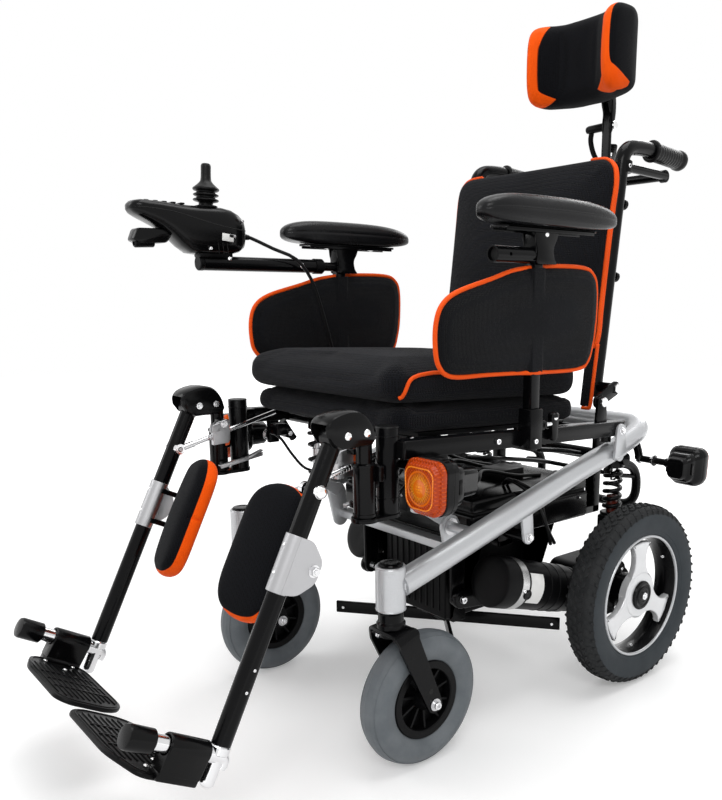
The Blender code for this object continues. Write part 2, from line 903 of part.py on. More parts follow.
def seat_frame():
    pieces = []
    cuts = []
    for side, _ in sides:
        x = side * rail_x
        pieces.append(
            tilted_block(seat_rail_width, seat_rail_height, rail_front_y, rail_rear_y, -seat_rail_height, x)
        )
        post = side * legrest_x
        pieces.append(rod((post, post_y, base_z - 0.004), (post, post_y, 0.501), post_radius, facets=12))
        pieces.append(box((0.026, 0.060, 0.006), (post, -0.536, base_z - 0.003)))
        pieces.append(rod((post, sleeve_y, base_z - 0.006), (post, sleeve_y, base_z), 0.0185, facets=12))
        pieces.append(rod((post, sleeve_y, base_z - 0.001), (post, sleeve_y, base_z + 0.045), sleeve_pin))
        socket = side * armrest_x
        wall = armrest_post + 0.008
        pieces.append(box((wall, wall, 0.060), (socket, armrest_y, 0.4770)))
        bore = armrest_post + 2 * gap
        cuts.append(box((bore, bore, 0.080), (socket, armrest_y, 0.4920)))
        # The clamp block and lever on the socket, the backrest lug and the rear foot on the side tube.
        pieces.append(box((0.012, 0.050, 0.016), (socket, armrest_y + 0.034, 0.480)))
        lever_y = armrest_y + 0.052
        pieces.append(rod((socket, lever_y, 0.455), (socket, lever_y, 0.497), 0.006))
        pieces.append(
            plate(
                strap((back_pivot[0], 0.462), 0.014, back_pivot, 0.011),
                back_plate_x + 0.0068,
                back_plate_x + 0.0128,
                side,
            )
        )
        near = back_plate_x + 0.002
        cuts.append(rod((side * near, *back_pivot), (side * (near + 0.016), *back_pivot), 0.0050 + turning_gap))
        pieces.append(rod((side * frame_x, -0.050, 0.4290), (side * frame_x, -0.050, 0.446), 0.009))
        # The front spring's upper seat, its guide pin, and the hanger for the signal lamp.
        spring = side * front_spring_x
        spring_head = front_spring_high + gap
        pieces.append(
            rod((spring, front_spring_y, spring_head), (spring, front_spring_y, spring_head + 0.014), 0.015)
        )
        pieces.append(
            rod(
                (spring, front_spring_y, front_spring_low + 0.012),
                (spring, front_spring_y, spring_head + 0.002),
                0.005,
            )
        )
        pieces.append(box((0.010, 0.020, 0.046), (x, -0.435, 0.4390)))
    pieces.append(rod((-rail_x, front_spring_y, 0.462), (rail_x, front_spring_y, 0.462), 0.011))
    pieces.append(rod((-rail_x, -0.120, 0.455), (rail_x, -0.120, 0.455), 0.010))
    strut_rear_y = strut_pin[0] + strut_length * math.cos(strut_rise)
    pan_front = sleeve_y + math.hypot(strut_rear_y - sleeve_y, 0.024) + 0.008
    pieces.append(tilted_block(seat_width - 0.056, 0.0072, pan_front, -0.112, -0.0074))
    place("seat_frame", fused(pieces, cuts), black_paint)


seat_frame()
for side, label in sides:
    spring_piece(
        f"front_spring_{label}",
        Vector((side * front_spring_x, front_spring_y, 0)),
        front_spring_low,
        front_spring_high,
        0.0135,
        4.2,
    )

# Seat: a thin base pad and a crowned cushion.
def seat_pads():
    for name, width, thickness, base, edge, crown, front in (
        ("seat_base_pad", seat_width - 0.010, seat_base_thickness, gap, 0.011, 0.0, seat_front + 0.012),
        (
            "seat_cushion",
            seat_width,
            seat_cushion_thickness,
            seat_base_thickness + 2 * gap,
            0.024,
            0.010,
            seat_front,
        ),
    ):
        middle = (front + seat_rear) / 2
        half = (width / 2, (seat_rear - front) / 2, thickness / 2)
        block = soft_block(half, edge, 0.030, crown, 0.012, 5 if crown else 3)
        seat = Matrix.Translation((0, middle, rail_surface(middle) + base + thickness / 2))
        place(name, moved(block, seat @ Matrix.Rotation(-seat_slope, 4, "X")), black_fabric)


seat_pads()

# Leg rests: a hanger that swings out, a leg that rises, its sliding foot bar and a folding footplate.
knee = (-0.598, 0.495)
leg_heading = Vector((0, -math.sin(leg_lean), -math.cos(leg_lean)))
plate_normal = Vector((0, -math.cos(leg_lean), math.sin(leg_lean)))
foot_rise = math.radians(31)
foot_heading = Vector((0, -math.cos(foot_rise), math.sin(foot_rise)))
slider_radius = 0.0095
strut_x = legrest_x - 0.0199
strut_radius = 0.004
hood_half = 0.022


def leg_point(distance, side, x=None):
    """A point this far down the leg from the knee pivot."""
    start = Vector((side * (legrest_x if x is None else x), *knee))
    return start + leg_heading * distance


def arc(centre, radius, first, last, steps):
    """Points of an arc, with its angles in degrees."""
    return [
        (
            centre[0] + radius * math.cos(math.radians(first + (last - first) * step / steps)),
            centre[1] + radius * math.sin(math.radians(first + (last - first) * step / steps)),
        )
        for step in range(steps + 1)
    ]


def legrest_hanger(side, label):
    x = side * legrest_x
    hood = (
        (-0.622, 0.500),
        (-0.621, 0.516),
        (-0.608, 0.524),
        (-0.588, 0.529),
        (-0.566, 0.525),
        (-0.551, 0.508),
        (-0.545, 0.488),
        (-0.562, 0.480),
        (-0.600, 0.480),
    )
    pieces = [
        plate(hood, legrest_x - hood_half, legrest_x + hood_half, side),
        rod((x, sleeve_y, base_z + gap), (x, sleeve_y, 0.456), sleeve_radius, facets=12),
        rod((x, sleeve_y, 0.450), (x, sleeve_y, 0.492), 0.010),
        box((0.016, 0.0350, 0.030), (x, -0.5482, 0.436)),
    ]
    cut_outline = (
        [(-0.660, 0.380), (-0.660, 0.5085), (-0.611, 0.5085)]
        + arc(knee, 0.0208, 125, 0, 4)
        + [(-0.577, 0.470), (-0.600, 0.380)]
    )
    slot_half = leg_tube_diameter / 2 + 0.0008
    cuts = [
        plate(cut_outline, legrest_x - slot_half, legrest_x + slot_half, side),
        rod((x, sleeve_y, base_z - 0.01), (x, sleeve_y, base_z + 0.050), sleeve_pin + turning_gap),
    ]
    body = fused(pieces, cuts)
    more = [
        rod(
            (side * (legrest_x - hood_half + 0.004), *knee),
            (side * (legrest_x + hood_half - 0.004), *knee),
            0.006,
        ),
        # The strut's guide block, its bridge to the sleeve, and the release lever.
        plate(
            ((-0.576, 0.432), (-0.547, 0.434), (-0.547, 0.474), (-0.576, 0.466)),
            strut_x - 0.0145,
            strut_x - 0.0045,
            side,
        ),
        box((0.024, 0.014, 0.007), (side * (strut_x - 0.0015), -0.5545, 0.4695)),
        box((0.012, 0.012, 0.010), (side * (legrest_x - 0.019), -0.5540, 0.3975)),
        box(
            (0.008, 0.082, 0.006),
            (side * (legrest_x - 0.0265), -0.5250, 0.4010),
            Matrix.Rotation(math.radians(9), 3, "X"),
        ),
    ]
    place(f"legrest_hanger_{label}", fused([body] + more), black_plastic, (x, sleeve_y, base_z))


def elevating_strut(side, label):
    start = Vector((side * strut_x, *strut_pin))
    reach = Vector((0, math.cos(strut_rise), math.sin(strut_rise)))
    shaft = rod(start - reach * 0.006, start + reach * strut_length, strut_radius)
    across = Vector((0.0040, 0, 0))
    end = rod(start - across, start + across, 0.0085)
    hole = rod(start - across * 2.5, start + across * 2.5, 0.0030 + turning_gap)
    place(f"elevating_strut_{label}", fused([shaft, end], [hole]), steel, start)


def leg_tube(side, label):
    x = side * legrest_x
    tube = rod(leg_point(-0.013, side), leg_point(leg_length, side), leg_tube_diameter / 2, facets=12)
    end = rod(
        (side * (legrest_x - 0.0125), *knee), (side * (legrest_x + 0.0125), *knee), 0.0160, facets=12
    )
    # The strut's pin, with the round bolt outside, and the calf pad's bracket.
    pin = rod((side * (strut_x - 0.0060), *strut_pin), (side * (legrest_x + 0.022), *strut_pin), 0.003)
    head = rod(
        (side * (legrest_x + 0.010), *strut_pin), (side * (legrest_x + 0.0210), *strut_pin), 0.0085
    )
    spread = Matrix.Rotation(-leg_lean, 3, "X")
    back = plate_normal * -calf_hinge_back
    wrap = box((0.031, 0.031, 0.074), leg_point(calf_distance, side), spread)
    wing = box((0.005, 0.040, 0.066), leg_point(calf_distance, side, legrest_x + 0.0130) + back, spread)
    hinge = rod(
        leg_point(calf_distance - 0.022, side, calf_hinge_x) + back,
        leg_point(calf_distance + 0.022, side, calf_hinge_x) + back,
        0.005,
    )
    lug_span = legrest_x - calf_hinge_x
    lugs = [
        box(
            (0.014, calf_hinge_back + 0.002, 0.010),
            leg_point(distance, side, legrest_x - 0.010) + back / 2,
            spread,
        )
        for distance in (calf_distance - 0.025, calf_distance + 0.025)
    ]
    links = [
        box(
            (lug_span, 0.012, 0.010),
            leg_point(distance, side, (legrest_x + calf_hinge_x) / 2 - 0.003) + back,
            spread,
        )
        for distance in (calf_distance - 0.025, calf_distance + 0.025)
    ]
    whole = fused(
        [tube, end, pin, head, wrap, wing, hinge] + lugs + links,
        [
            rod(
                leg_point(leg_length - 0.110, side),
                leg_point(leg_length + 0.01, side),
                slider_radius + 0.0005,
            ),
            rod((side * (legrest_x - 0.02), *knee), (side * (legrest_x + 0.02), *knee), 0.0060 + turning_gap),
        ],
    )
    place(f"leg_tube_{label}", whole, black_paint, (x, *knee))


calf_distance = 0.168
calf_hinge_x = legrest_x - 0.0240
calf_hinge_back = 0.030
calf_half = (0.056, 0.098, 0.018)
calf_toe = math.radians(15)


def calf_pad(side, label):
    block = soft_block(calf_half, 0.017, 0.054, 0.006, 0.0, 4)
    centre = leg_point(calf_distance, side, legrest_x - 0.0864) - plate_normal * 0.0355
    turn = Matrix((Vector((1, 0, 0)), -leg_heading, plate_normal)).transposed().to_4x4()
    moved(block, Matrix.Translation(centre) @ turn)
    hinge_low = leg_point(calf_distance - 0.0185, side, calf_hinge_x) - plate_normal * calf_hinge_back
    hinge_high = hinge_low + leg_heading * 0.037
    barrel = rod(hinge_low, hinge_high, 0.0085)
    leaf = box(
        (0.026, 0.004, 0.034),
        leg_point(calf_distance, side, calf_hinge_x - 0.014) - plate_normal * (calf_hinge_back + 0.003),
        Matrix.Rotation(-leg_lean, 3, "X"),
    )
    # Pad and leaf stand turned on the hinge, the inner end forward.
    toe = Matrix.Rotation(-side * calf_toe, 4, leg_heading)
    about_hinge = Matrix.Translation(hinge_low) @ toe @ Matrix.Translation(-hinge_low)
    moved(block, about_hinge)
    moved(leaf, about_hinge)
    bore = rod(hinge_low - leg_heading * 0.01, hinge_high + leg_heading * 0.01, 0.0050 + turning_gap)
    whole = fused([block, barrel, leaf], [bore])
    place(f"calf_pad_{label}", whole, black_fabric, hinge_low)


foot_bar_radius = 0.0105
foot_cap_radius = 0.0150
foot_cap_length = 0.040


def foot_point(distance, side):
    return leg_point(leg_length + 0.014, side) + foot_heading * distance


def leg_extension(side, label):
    pieces = [
        rod(leg_point(leg_length - 0.100, side), leg_point(leg_length + 0.052, side), slider_radius),
        rod(leg_point(leg_length + 0.0008, side), leg_point(leg_length + 0.012, side), 0.0135, facets=12),
        rod(foot_point(-0.006, side), foot_point(foot_bar_length - 0.005, side), foot_bar_radius),
        rod(
            foot_point(foot_bar_length - foot_cap_length, side),
            foot_point(foot_bar_length, side),
            foot_cap_radius,
            facets=12,
        ),
    ]
    place(f"leg_extension_{label}", fused(pieces), steel, foot_point(0, side))


def footplate(side, label):
    sleeve_start = 0.0165
    sleeve_end = foot_bar_length - foot_cap_length - 2 * gap
    middle = (sleeve_start + sleeve_end) / 2
    across = Vector((1, 0, 0))
    level = Matrix((across, -foot_heading, across.cross(-foot_heading))).transposed()
    drop = level @ Vector((0, 0, -1))
    sleeve = rod(foot_point(sleeve_start, side), foot_point(sleeve_end, side), 0.0150, facets=12)
    block = box(
        (0.022, sleeve_end - sleeve_start - 0.010, 0.032),
        foot_point(middle, side) + drop * 0.022,
        level,
    )
    outline = [
        (legrest_x + 0.0046, 0.014),
        (legrest_x - 0.0184, 0.004),
        (0.0480, 0.004),
        (0.0240, 0.018),
        (0.0120, 0.040),
        (0.0120, 0.096),
        (0.0280, 0.112),
        (legrest_x - 0.0534, 0.112),
        (legrest_x + 0.0046, 0.090),
    ]
    tread = prism(outline, "Z", -0.0035, 0.0035)
    hinge = foot_point(0, side)
    for spot in tread.data.vertices:
        out, ahead, height = spot.co
        spot.co = Vector((side * out, hinge.y, hinge.z)) + foot_heading * ahead + drop * (0.0375 - height)
    if side > 0:
        tread.data.flip_normals()
    bore = rod(
        foot_point(sleeve_start - 0.02, side), foot_point(sleeve_end + 0.01, side), foot_bar_radius + turning_gap + gap
    )
    place(f"footplate_{label}", fused([sleeve, block, tread], [bore]), black_plastic, hinge)


for side, label in sides:
    legrest_hanger(side, label)
    elevating_strut(side, label)
    leg_tube(side, label)
    leg_extension(side, label)
    footplate(side, label)
    calf_pad(side, label)


# Signal lamps: a square amber lens in a black housing, on a short stem.
signal_half = signal_width / 2 - 0.0015
front_signal_y, front_signal_z = front_signal


def signal_outline(x, z, half):
    """A square with its corners cut, a little narrower towards the bottom."""
    points = (
        (-0.72, 1.0),
        (0.72, 1.0),
        (1.0, 0.72),
        (0.94, -0.66),
        (0.62, -1.0),
        (-0.62, -1.0),
        (-0.94, -0.66),
        (-1.0, 0.72),
    )
    return [(x + across * half, z + up * half) for across, up in points]


def signal_lamp(name, x, z, lens_y, way, stem_y, stem_end_x, stem_z, rise):
    """A lamp whose lens faces -Y for way -1 and +Y for way 1, and whose stem runs inwards to stem_end_x."""

    def slab(half, near, far):
        low, high = sorted((lens_y - way * near, lens_y - way * far))
        return prism(signal_outline(x, z, half), "Y", low, high)

    lens = fused([slab(signal_half - 0.006, 0.0, 0.008), slab(signal_half - 0.001, 0.006, 0.016)])
    side = 1 if x > 0 else -1
    rear_end = 0.062 if way > 0 else 0.088
    housing = fused(
        [
            slab(signal_half, 0.016 + gap, 0.038),
            slab(signal_half * 0.78, 0.036, 0.056),
            slab(signal_half * 0.55, 0.054, rear_end),
            rod((x, stem_y, stem_z), (side * stem_end_x, stem_y, stem_z), 0.0060),
        ]
    )
    place(f"{name}_lens", lens, amber, (x, lens_y, z), rise=rise)
    place(f"{name}_housing", housing, black_plastic, (x, lens_y, z), rise=rise)


for side, label in sides:
    signal_lamp(
        f"front_signal_{label}",
        side * signal_x,
        front_signal_z,
        front_signal_y,
        -1,
        -0.436,
        rail_x + 0.005 + gap,
        front_signal_z,
        ride_rise,
    )
    signal_lamp(
        f"rear_signal_{label}",
        side * rear_signal_x,
        rear_signal_z,
        rear_signal_y + 0.036,
        1,
        rear_signal_y - 0.010,
        frame_x - 0.0085 + gap,
        rear_signal_z + 0.005,
        0,
    )

# Backrest: two canes that bend back into push handles, with a cross bar for the headrest.
cane_base = Vector((0, -0.033, 0.506))
cane_heading = Vector((0, math.sin(back_lean), math.cos(back_lean)))
cane_front = Vector((0, -math.cos(back_lean), math.sin(back_lean)))
handle_length = 0.094
stem_thickness = 0.005
stem_width = 0.020


def cane_point(up, ahead=0.0, x=0.0):
    return cane_base + cane_heading * up + cane_front * ahead + Vector((x, 0, 0))


cane_top = cane_point(back_height)
grip_start = cane_top + Vector((0, 0.078, 0.028))
bar_centre = cane_top + Vector((0, 0.130, -0.010))
stem_centre = cane_top + Vector((0, 0.1855, 0))


def back_frame():
    pieces = []
    for side, _ in sides:
        x = Vector((side * cane_x, 0, 0))
        route = bent(
            (
                x + cane_point(-0.006),
                x + cane_point(back_height + 0.024),
                x + cane_top + Vector((0, 0.060, 0.030)),
                x + grip_start + Vector((0, handle_length * 0.8, -0.007)),
            ),
            0.035,
            4,
        )
        pieces.append(pipe(route, cane_diameter / 2, 2))
        pieces.append(
            plate(
                strap(back_pivot, 0.011, (cane_base.y, cane_base.z + 0.012), 0.012),
                back_plate_x,
                back_plate_x + 0.006,
                side,
            )
        )
        pieces.append(
            rod(
                (side * cane_x, cane_base.y, cane_base.z + 0.012),
                (side * (back_plate_x + 0.003), cane_base.y, cane_base.z + 0.012),
                0.009,
            )
        )
        for near, far, radius in ((0.003, 0.0150, 0.005), (0.0132, 0.0180, 0.008)):
            pieces.append(
                rod(
                    (side * (back_plate_x + near), *back_pivot),
                    (side * (back_plate_x + far), *back_pivot),
                    radius,
                )
            )
        start = x + cane_top + Vector((0, 0.004, -0.006))
        end = x + bar_centre
        pieces.append(rod(start, end, 0.007))
    pieces.append(rod(bar_centre - Vector((cane_x, 0, 0)), bar_centre + Vector((cane_x, 0, 0)), 0.008))
    # The clamp block that the headrest's stem slides through.
    clamp_depth = stem_centre.y - bar_centre.y + 0.014
    pieces.append(
        box((0.034, clamp_depth, 0.026), bar_centre + Vector((0, clamp_depth / 2 - 0.003, 0)))
    )
    slot_size = (stem_width + 2 * gap, stem_thickness + 2 * gap, 0.060)
    slot = box(slot_size, (0, stem_centre.y, bar_centre.z))
    place("back_frame", fused(pieces, [slot]), black_paint, (0, *back_pivot))


def handle_grips():
    for side, label in sides:
        start = grip_start + Vector((side * cane_x, 0.004, -0.001))
        end = start + Vector((0, handle_length, -0.008))
        ahead = (end - start).normalized()
        grip_radius = cane_diameter / 2 + 0.003
        grip = turned(
            (
                (0, handle_length),
                (grip_radius - 0.0005, handle_length - 0.001),
                (grip_radius + 0.002, handle_length - 0.008),
                (grip_radius, handle_length - 0.016),
                (grip_radius, 0.010),
                (grip_radius + 0.003, 0.004),
                (grip_radius + 0.003, 0.0),
                (0, 0.0),
            ),
            start,
            end,
            facets=12,
        )
        bore_end = start + ahead * handle_length * 0.88
        bore = rod(start - ahead * 0.01, bore_end, cane_diameter / 2 + 0.0012, facets=12)
        place(f"handle_grip_{label}", fused([grip], [bore]), soft_plastic, start)


def back_cushion():
    low = 0.055
    half = (back_width / 2, back_cushion_height / 2, back_cushion_thickness / 2)
    block = soft_block(half, 0.022, 0.040, 0.008, 0.015)
    centre = cane_point(low + half[1], cane_diameter / 2 - 0.0024 + half[2])
    turn = Matrix((Vector((1, 0, 0)), cane_heading, cane_front)).transposed().to_4x4()
    place("back_cushion", moved(block, Matrix.Translation(centre) @ turn), black_fabric, centre)


back_frame()
handle_grips()
back_cushion()

# Headrest: a flat stem that slides in the clamp, a cranked bracket and a pad whose wings curve forward.
stem_low = bar_centre.z - 0.075
stem_high = bar_centre.z + 0.190
pad_centre_z = bar_centre.z + 0.2205
pad_back_y = stem_centre.y - 0.034
tilt_pivot = (stem_centre.y, bar_centre.z + 0.172)


def headrest():
    y = stem_centre.y
    stem = box((stem_width, stem_thickness, stem_high - stem_low), (0, y, (stem_low + stem_high) / 2))
    ears = [
        plate(strap((y, tilt_pivot[1]), 0.011, (y - 0.002, tilt_pivot[1]), 0.011), 0.0060, 0.0100, side)
        for side, _ in sides
    ]
    slot = box((0.0126, 0.030, 0.040), (0, y, stem_high - 0.011))
    pin = rod((-0.0135, *tilt_pivot), (0.0135, *tilt_pivot), 0.003)
    knob_z = bar_centre.z + 0.060
    knob = rod((0, y + 0.001, knob_z), (0, y + 0.020, knob_z), 0.011)
    body = fused([stem] + ears, [slot])
    place("headrest_stem", fused([body, pin, knob]), black_paint, (0, y, bar_centre.z))
    tongue_half = 0.0058
    tongue = prism(
        strap(tilt_pivot, 0.009, (pad_back_y + 0.0105, pad_centre_z - 0.006), 0.009),
        "X",
        -tongue_half,
        tongue_half,
    )
    back_plate = box((0.090, 0.005, 0.050), (0, pad_back_y + 0.0030, pad_centre_z - 0.004))
    hole = rod((-0.02, *tilt_pivot), (0.02, *tilt_pivot), 0.0030 + turning_gap)
    place("headrest_bracket", fused([tongue, back_plate], [hole]), black_paint, (0, *tilt_pivot))
    pad_half = 0.030
    block = soft_block((headrest_width / 2, pad_half, headrest_height / 2), 0.022, 0.026)
    # The back stays flat and the front reaches forward at both ends.
    wing_start = 0.30
    wing_reach = (headrest_thickness - 2 * pad_half) / (1 - wing_start) ** 1.6
    for spot in block.data.vertices:
        share = spot.co.x / (headrest_width / 2)
        front = (1 - spot.co.y / pad_half) / 2
        spot.co.y -= front * wing_reach * max(0.0, abs(share) - wing_start) ** 1.6
        spot.co.z *= 1 + 0.08 * share * share
    centre = Vector((0, pad_back_y - pad_half - gap, pad_centre_z))
    place("headrest_pad", moved(block, Matrix.Translation(centre)), black_fabric, (0, *tilt_pivot))


headrest()

# Armrests: a square post in the rail's socket, a pad on top, and a side panel that the post runs through.
pad_under = armrest_pad_top - armrest_pad_thickness
arm_rod_z = 0.7250
arm_rod_radius = 0.0080
arm_rod_front = -0.400
panel_half = 0.013


def armrest_bracket(side, label):
    x = side * armrest_x
    post_top = arm_rod_z + 0.004
    post_low = 0.4525
    rest_top = pad_under - gap
    front = arm_rod_front if side < 0 else arm_rod_front + 0.043
    pieces = [
        box((armrest_post, armrest_post, post_top - post_low), (x, armrest_y, (post_top + post_low) / 2)),
        rod((x, front, arm_rod_z), (x, -0.250, arm_rod_z), arm_rod_radius),
        box((0.012, 0.044, rest_top - arm_rod_z), (x, -0.262, (rest_top + arm_rod_z) / 2)),
        box((0.030, 0.200, 0.004), (x, -0.250, rest_top - 0.002)),
    ]
    place(f"armrest_bracket_{label}", fused(pieces), black_paint, (x, armrest_y, 0.507))


def armrest_pad(side, label):
    half = (0.027, armrest_length / 2, armrest_pad_thickness / 2)
    block = soft_block(half, 0.018, 0.024, 0.004, 0.0, 3)
    centre = Vector((side * (armrest_x + 0.0065), -0.245, pad_under + half[2]))
    place(f"armrest_pad_{label}", moved(block, Matrix.Translation(centre)), soft_plastic, centre)


def side_panel(side, label):
    outline = (
        (-0.453, 0.658),
        (-0.426, 0.675),
        (-0.365, 0.693),
        (-0.312, 0.708),
        (-0.247, 0.714),
        (-0.163, 0.713),
        (-0.135, 0.703),
        (-0.125, 0.680),
        (-0.125, 0.630),
        (-0.130, 0.597),
        (-0.141, 0.568),
        (-0.167, 0.557),
        (-0.265, 0.556),
        (-0.366, 0.559),
        (-0.434, 0.561),
        (-0.458, 0.576),
        (-0.465, 0.602),
        (-0.464, 0.634),
    )
    board = plate(outline, armrest_x - panel_half, armrest_x + panel_half, side)
    hole = armrest_post + 2 * gap
    cut = box((hole, hole, 0.300), (side * armrest_x, armrest_y, 0.640))
    pivot = (side * armrest_x, armrest_y, 0.640)
    place(f"side_panel_{label}", fused([board], [cut]), black_plastic, pivot)


for side, label in sides:
    armrest_bracket(side, label)
    armrest_pad(side, label)
    side_panel(side, label)

# Controller: a case on a tube that slides over the right armrest's rod, with a joystick.
controller_x = -armrest_x - 0.004
controller_half = 0.029
stick_pivot = (-0.533, 0.8090)
stick_ball = 0.0152


def controller():
    side_view = (
        (-0.664, 0.804),
        (-0.658, 0.814),
        (-0.646, 0.818),
        (-0.610, 0.817),
        (-0.577, 0.8145),
        (-0.503, 0.8145),
        (-0.480, 0.803),
        (-0.466, 0.785),
        (-0.468, 0.758),
        (-0.478, 0.744),
        (-0.505, 0.739),
        (-0.566, 0.738),
        (-0.584, 0.751),
        (-0.605, 0.770),
        (-0.629, 0.784),
        (-0.652, 0.794),
    )
    case = prism(side_view, "X", controller_x - controller_half, controller_x + controller_half)
    tube_x = -armrest_x
    tube = rod((tube_x, -0.551, arm_rod_z), (tube_x, -0.310, arm_rod_z), 0.0120, facets=12)
    saddle = box((0.024, 0.060, 0.014), (tube_x, -0.525, 0.7400))
    chin = box((0.030, 0.060, 0.024), (controller_x, -0.634, 0.7640), bevel=0.003, steps=1)
    neck = box((0.014, 0.020, 0.026), (controller_x, -0.610, 0.7750))
    clamp = rod((tube_x, -0.320, arm_rod_z), (tube_x - 0.024, -0.320, arm_rod_z), 0.006)
    bore = rod((tube_x, -0.440, arm_rod_z), (tube_x, -0.300, arm_rod_z), arm_rod_radius + 0.0006)
    well = rod(
        (controller_x, stick_pivot[0], stick_pivot[1] - stick_ball - 2 * gap),
        (controller_x, stick_pivot[0], stick_pivot[1] + 0.020),
        stick_ball + 3 * gap,
        facets=12,
    )
    case_body = fused([case, tube, saddle, chin, neck, clamp], [bore, well])
    place("controller", case_body, black_plastic, (tube_x, -0.430, arm_rod_z))
    stick = turned(
        (
            (0, 0.0740),
            (0.0068, 0.0728),
            (0.0082, 0.0700),
            (0.0082, 0.0470),
            (0.0215, 0.0360),
            (0.0210, 0.0150),
            (0.0120, 0.0125),
            (0.0120, 0.0090),
            (stick_ball, 0),
            (0.0132, -0.0076),
            (0.0080, -0.0130),
            (0, -stick_ball),
        ),
        (controller_x, *stick_pivot),
        (controller_x, stick_pivot[0] + 0.004, stick_pivot[1] + 0.074),
        facets=12,
    )
    place("joystick", stick, soft_plastic, (controller_x, *stick_pivot))


def joystick_cable():
    inner = -(seat_width / 2 + 0.0050)
    hand_points = (
        (controller_x, -0.4648, 0.7700),
        (controller_x, -0.452, 0.7690),
        (controller_x + 0.012, -0.415, 0.752),
        (controller_x + 0.028, -0.380, 0.735),
        (inner - 0.006, -0.352, 0.700),
        (inner - 0.005, -0.330, 0.640),
        (inner - 0.001, -0.315, 0.580),
        (inner, -0.300, 0.520),
        (inner, -0.275, 0.470),
        (inner + 0.008, -0.240, 0.425),
        (inner + 0.045, -0.200, 0.392),
        (inner + 0.070, -0.175, 0.378),
        (inner + 0.072, -0.170, 0.3608),
    )
    wire = cord(smooth(hand_points, 3), 0.003, 2)
    place("joystick_cable", wire, soft_plastic)


controller()
joystick_cable()
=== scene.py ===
# Electric wheelchair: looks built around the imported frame. The chair faces -Y, its left side is +X.
import math

import bmesh
import bpy
from mathutils import Matrix, Vector
from mathutils.bvhtree import BVHTree
from mathutils.kdtree import KDTree


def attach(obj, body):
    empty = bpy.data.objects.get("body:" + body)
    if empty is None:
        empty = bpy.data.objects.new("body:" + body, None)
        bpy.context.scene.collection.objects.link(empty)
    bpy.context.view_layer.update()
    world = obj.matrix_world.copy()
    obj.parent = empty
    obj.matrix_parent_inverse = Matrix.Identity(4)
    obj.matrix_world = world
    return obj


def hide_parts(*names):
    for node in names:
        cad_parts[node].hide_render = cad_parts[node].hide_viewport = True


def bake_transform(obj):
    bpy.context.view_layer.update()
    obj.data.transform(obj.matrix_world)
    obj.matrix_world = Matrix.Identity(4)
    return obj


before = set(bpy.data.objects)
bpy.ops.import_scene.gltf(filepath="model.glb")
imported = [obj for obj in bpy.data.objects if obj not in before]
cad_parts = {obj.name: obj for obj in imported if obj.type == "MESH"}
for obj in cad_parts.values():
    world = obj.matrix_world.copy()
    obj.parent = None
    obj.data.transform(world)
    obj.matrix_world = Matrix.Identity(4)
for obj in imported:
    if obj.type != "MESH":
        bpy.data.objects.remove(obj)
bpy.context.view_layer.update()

axleY = 0.338                                  # the rear axle's place along the chair
sides = ((1, "left"), (-1, "right"))


def at(x, y, z):                               # a point given from the rear axle and the ground
    return Vector((x, y + axleY, z))


# Camera: solved from the photograph's own right angles
cameraSet = {
    "place": at(1.038815, -1.177549, 0.661025),
    "right": (0.6464, 0.7630, 0.0),
    "up": (-0.1493, 0.1265, 0.9807),
    "roll": math.radians(-0.156),
    "focal": 816.6,                            # in pixels of the 722 x 800 frame
    "centre": (412.268, 464.932),
    "frame": (722, 800),
}


def makeCamera(s):
    width, height = s["frame"]
    data = bpy.data.cameras.new("photoCamera")
    data.sensor_width = 36.0
    data.lens = s["focal"] * data.sensor_width / height
    data.shift_x = -(s["centre"][0] - width / 2) / height
    data.shift_y = (s["centre"][1] - height / 2) / height
    data.clip_start = 0.05
    camera = bpy.data.objects.new("photoCamera", data)
    right = Vector(s["right"]).normalized()
    up = Vector(s["up"]).normalized()
    turn = Matrix((right, up, right.cross(up))).transposed().to_4x4()
    camera.matrix_world = Matrix.Translation(s["place"]) @ turn @ Matrix.Rotation(s["roll"], 4, "Z")
    bpy.context.scene.collection.objects.link(camera)
    bpy.context.scene.camera = camera


makeCamera(cameraSet)
print("camera ready")

# Shader tools
class Wire:                                    # a socket that can be used in sums
    def __init__(self, look, socket):
        self.look = look
        self.socket = socket

    def maths(self, operation, *others):
        values = (self,) + others
        return self.look.add("ShaderNodeMath", {"operation": operation}, dict(enumerate(values)))

    def back(self, operation, other):          # the reflected forms, such as 1 - mask
        return self.look.add("ShaderNodeMath", {"operation": operation}, {0: other, 1: self})

    def __add__(self, other):
        return self.maths("ADD", other)

    def __radd__(self, other):
        return self.back("ADD", other)

    def __sub__(self, other):
        return self.maths("SUBTRACT", other)

    def __rsub__(self, other):
        return self.back("SUBTRACT", other)

    def __mul__(self, other):
        return self.maths("MULTIPLY", other)

    def __truediv__(self, other):
        return self.maths("DIVIDE", other)

    def __pow__(self, other):
        return self.maths("POWER", other)


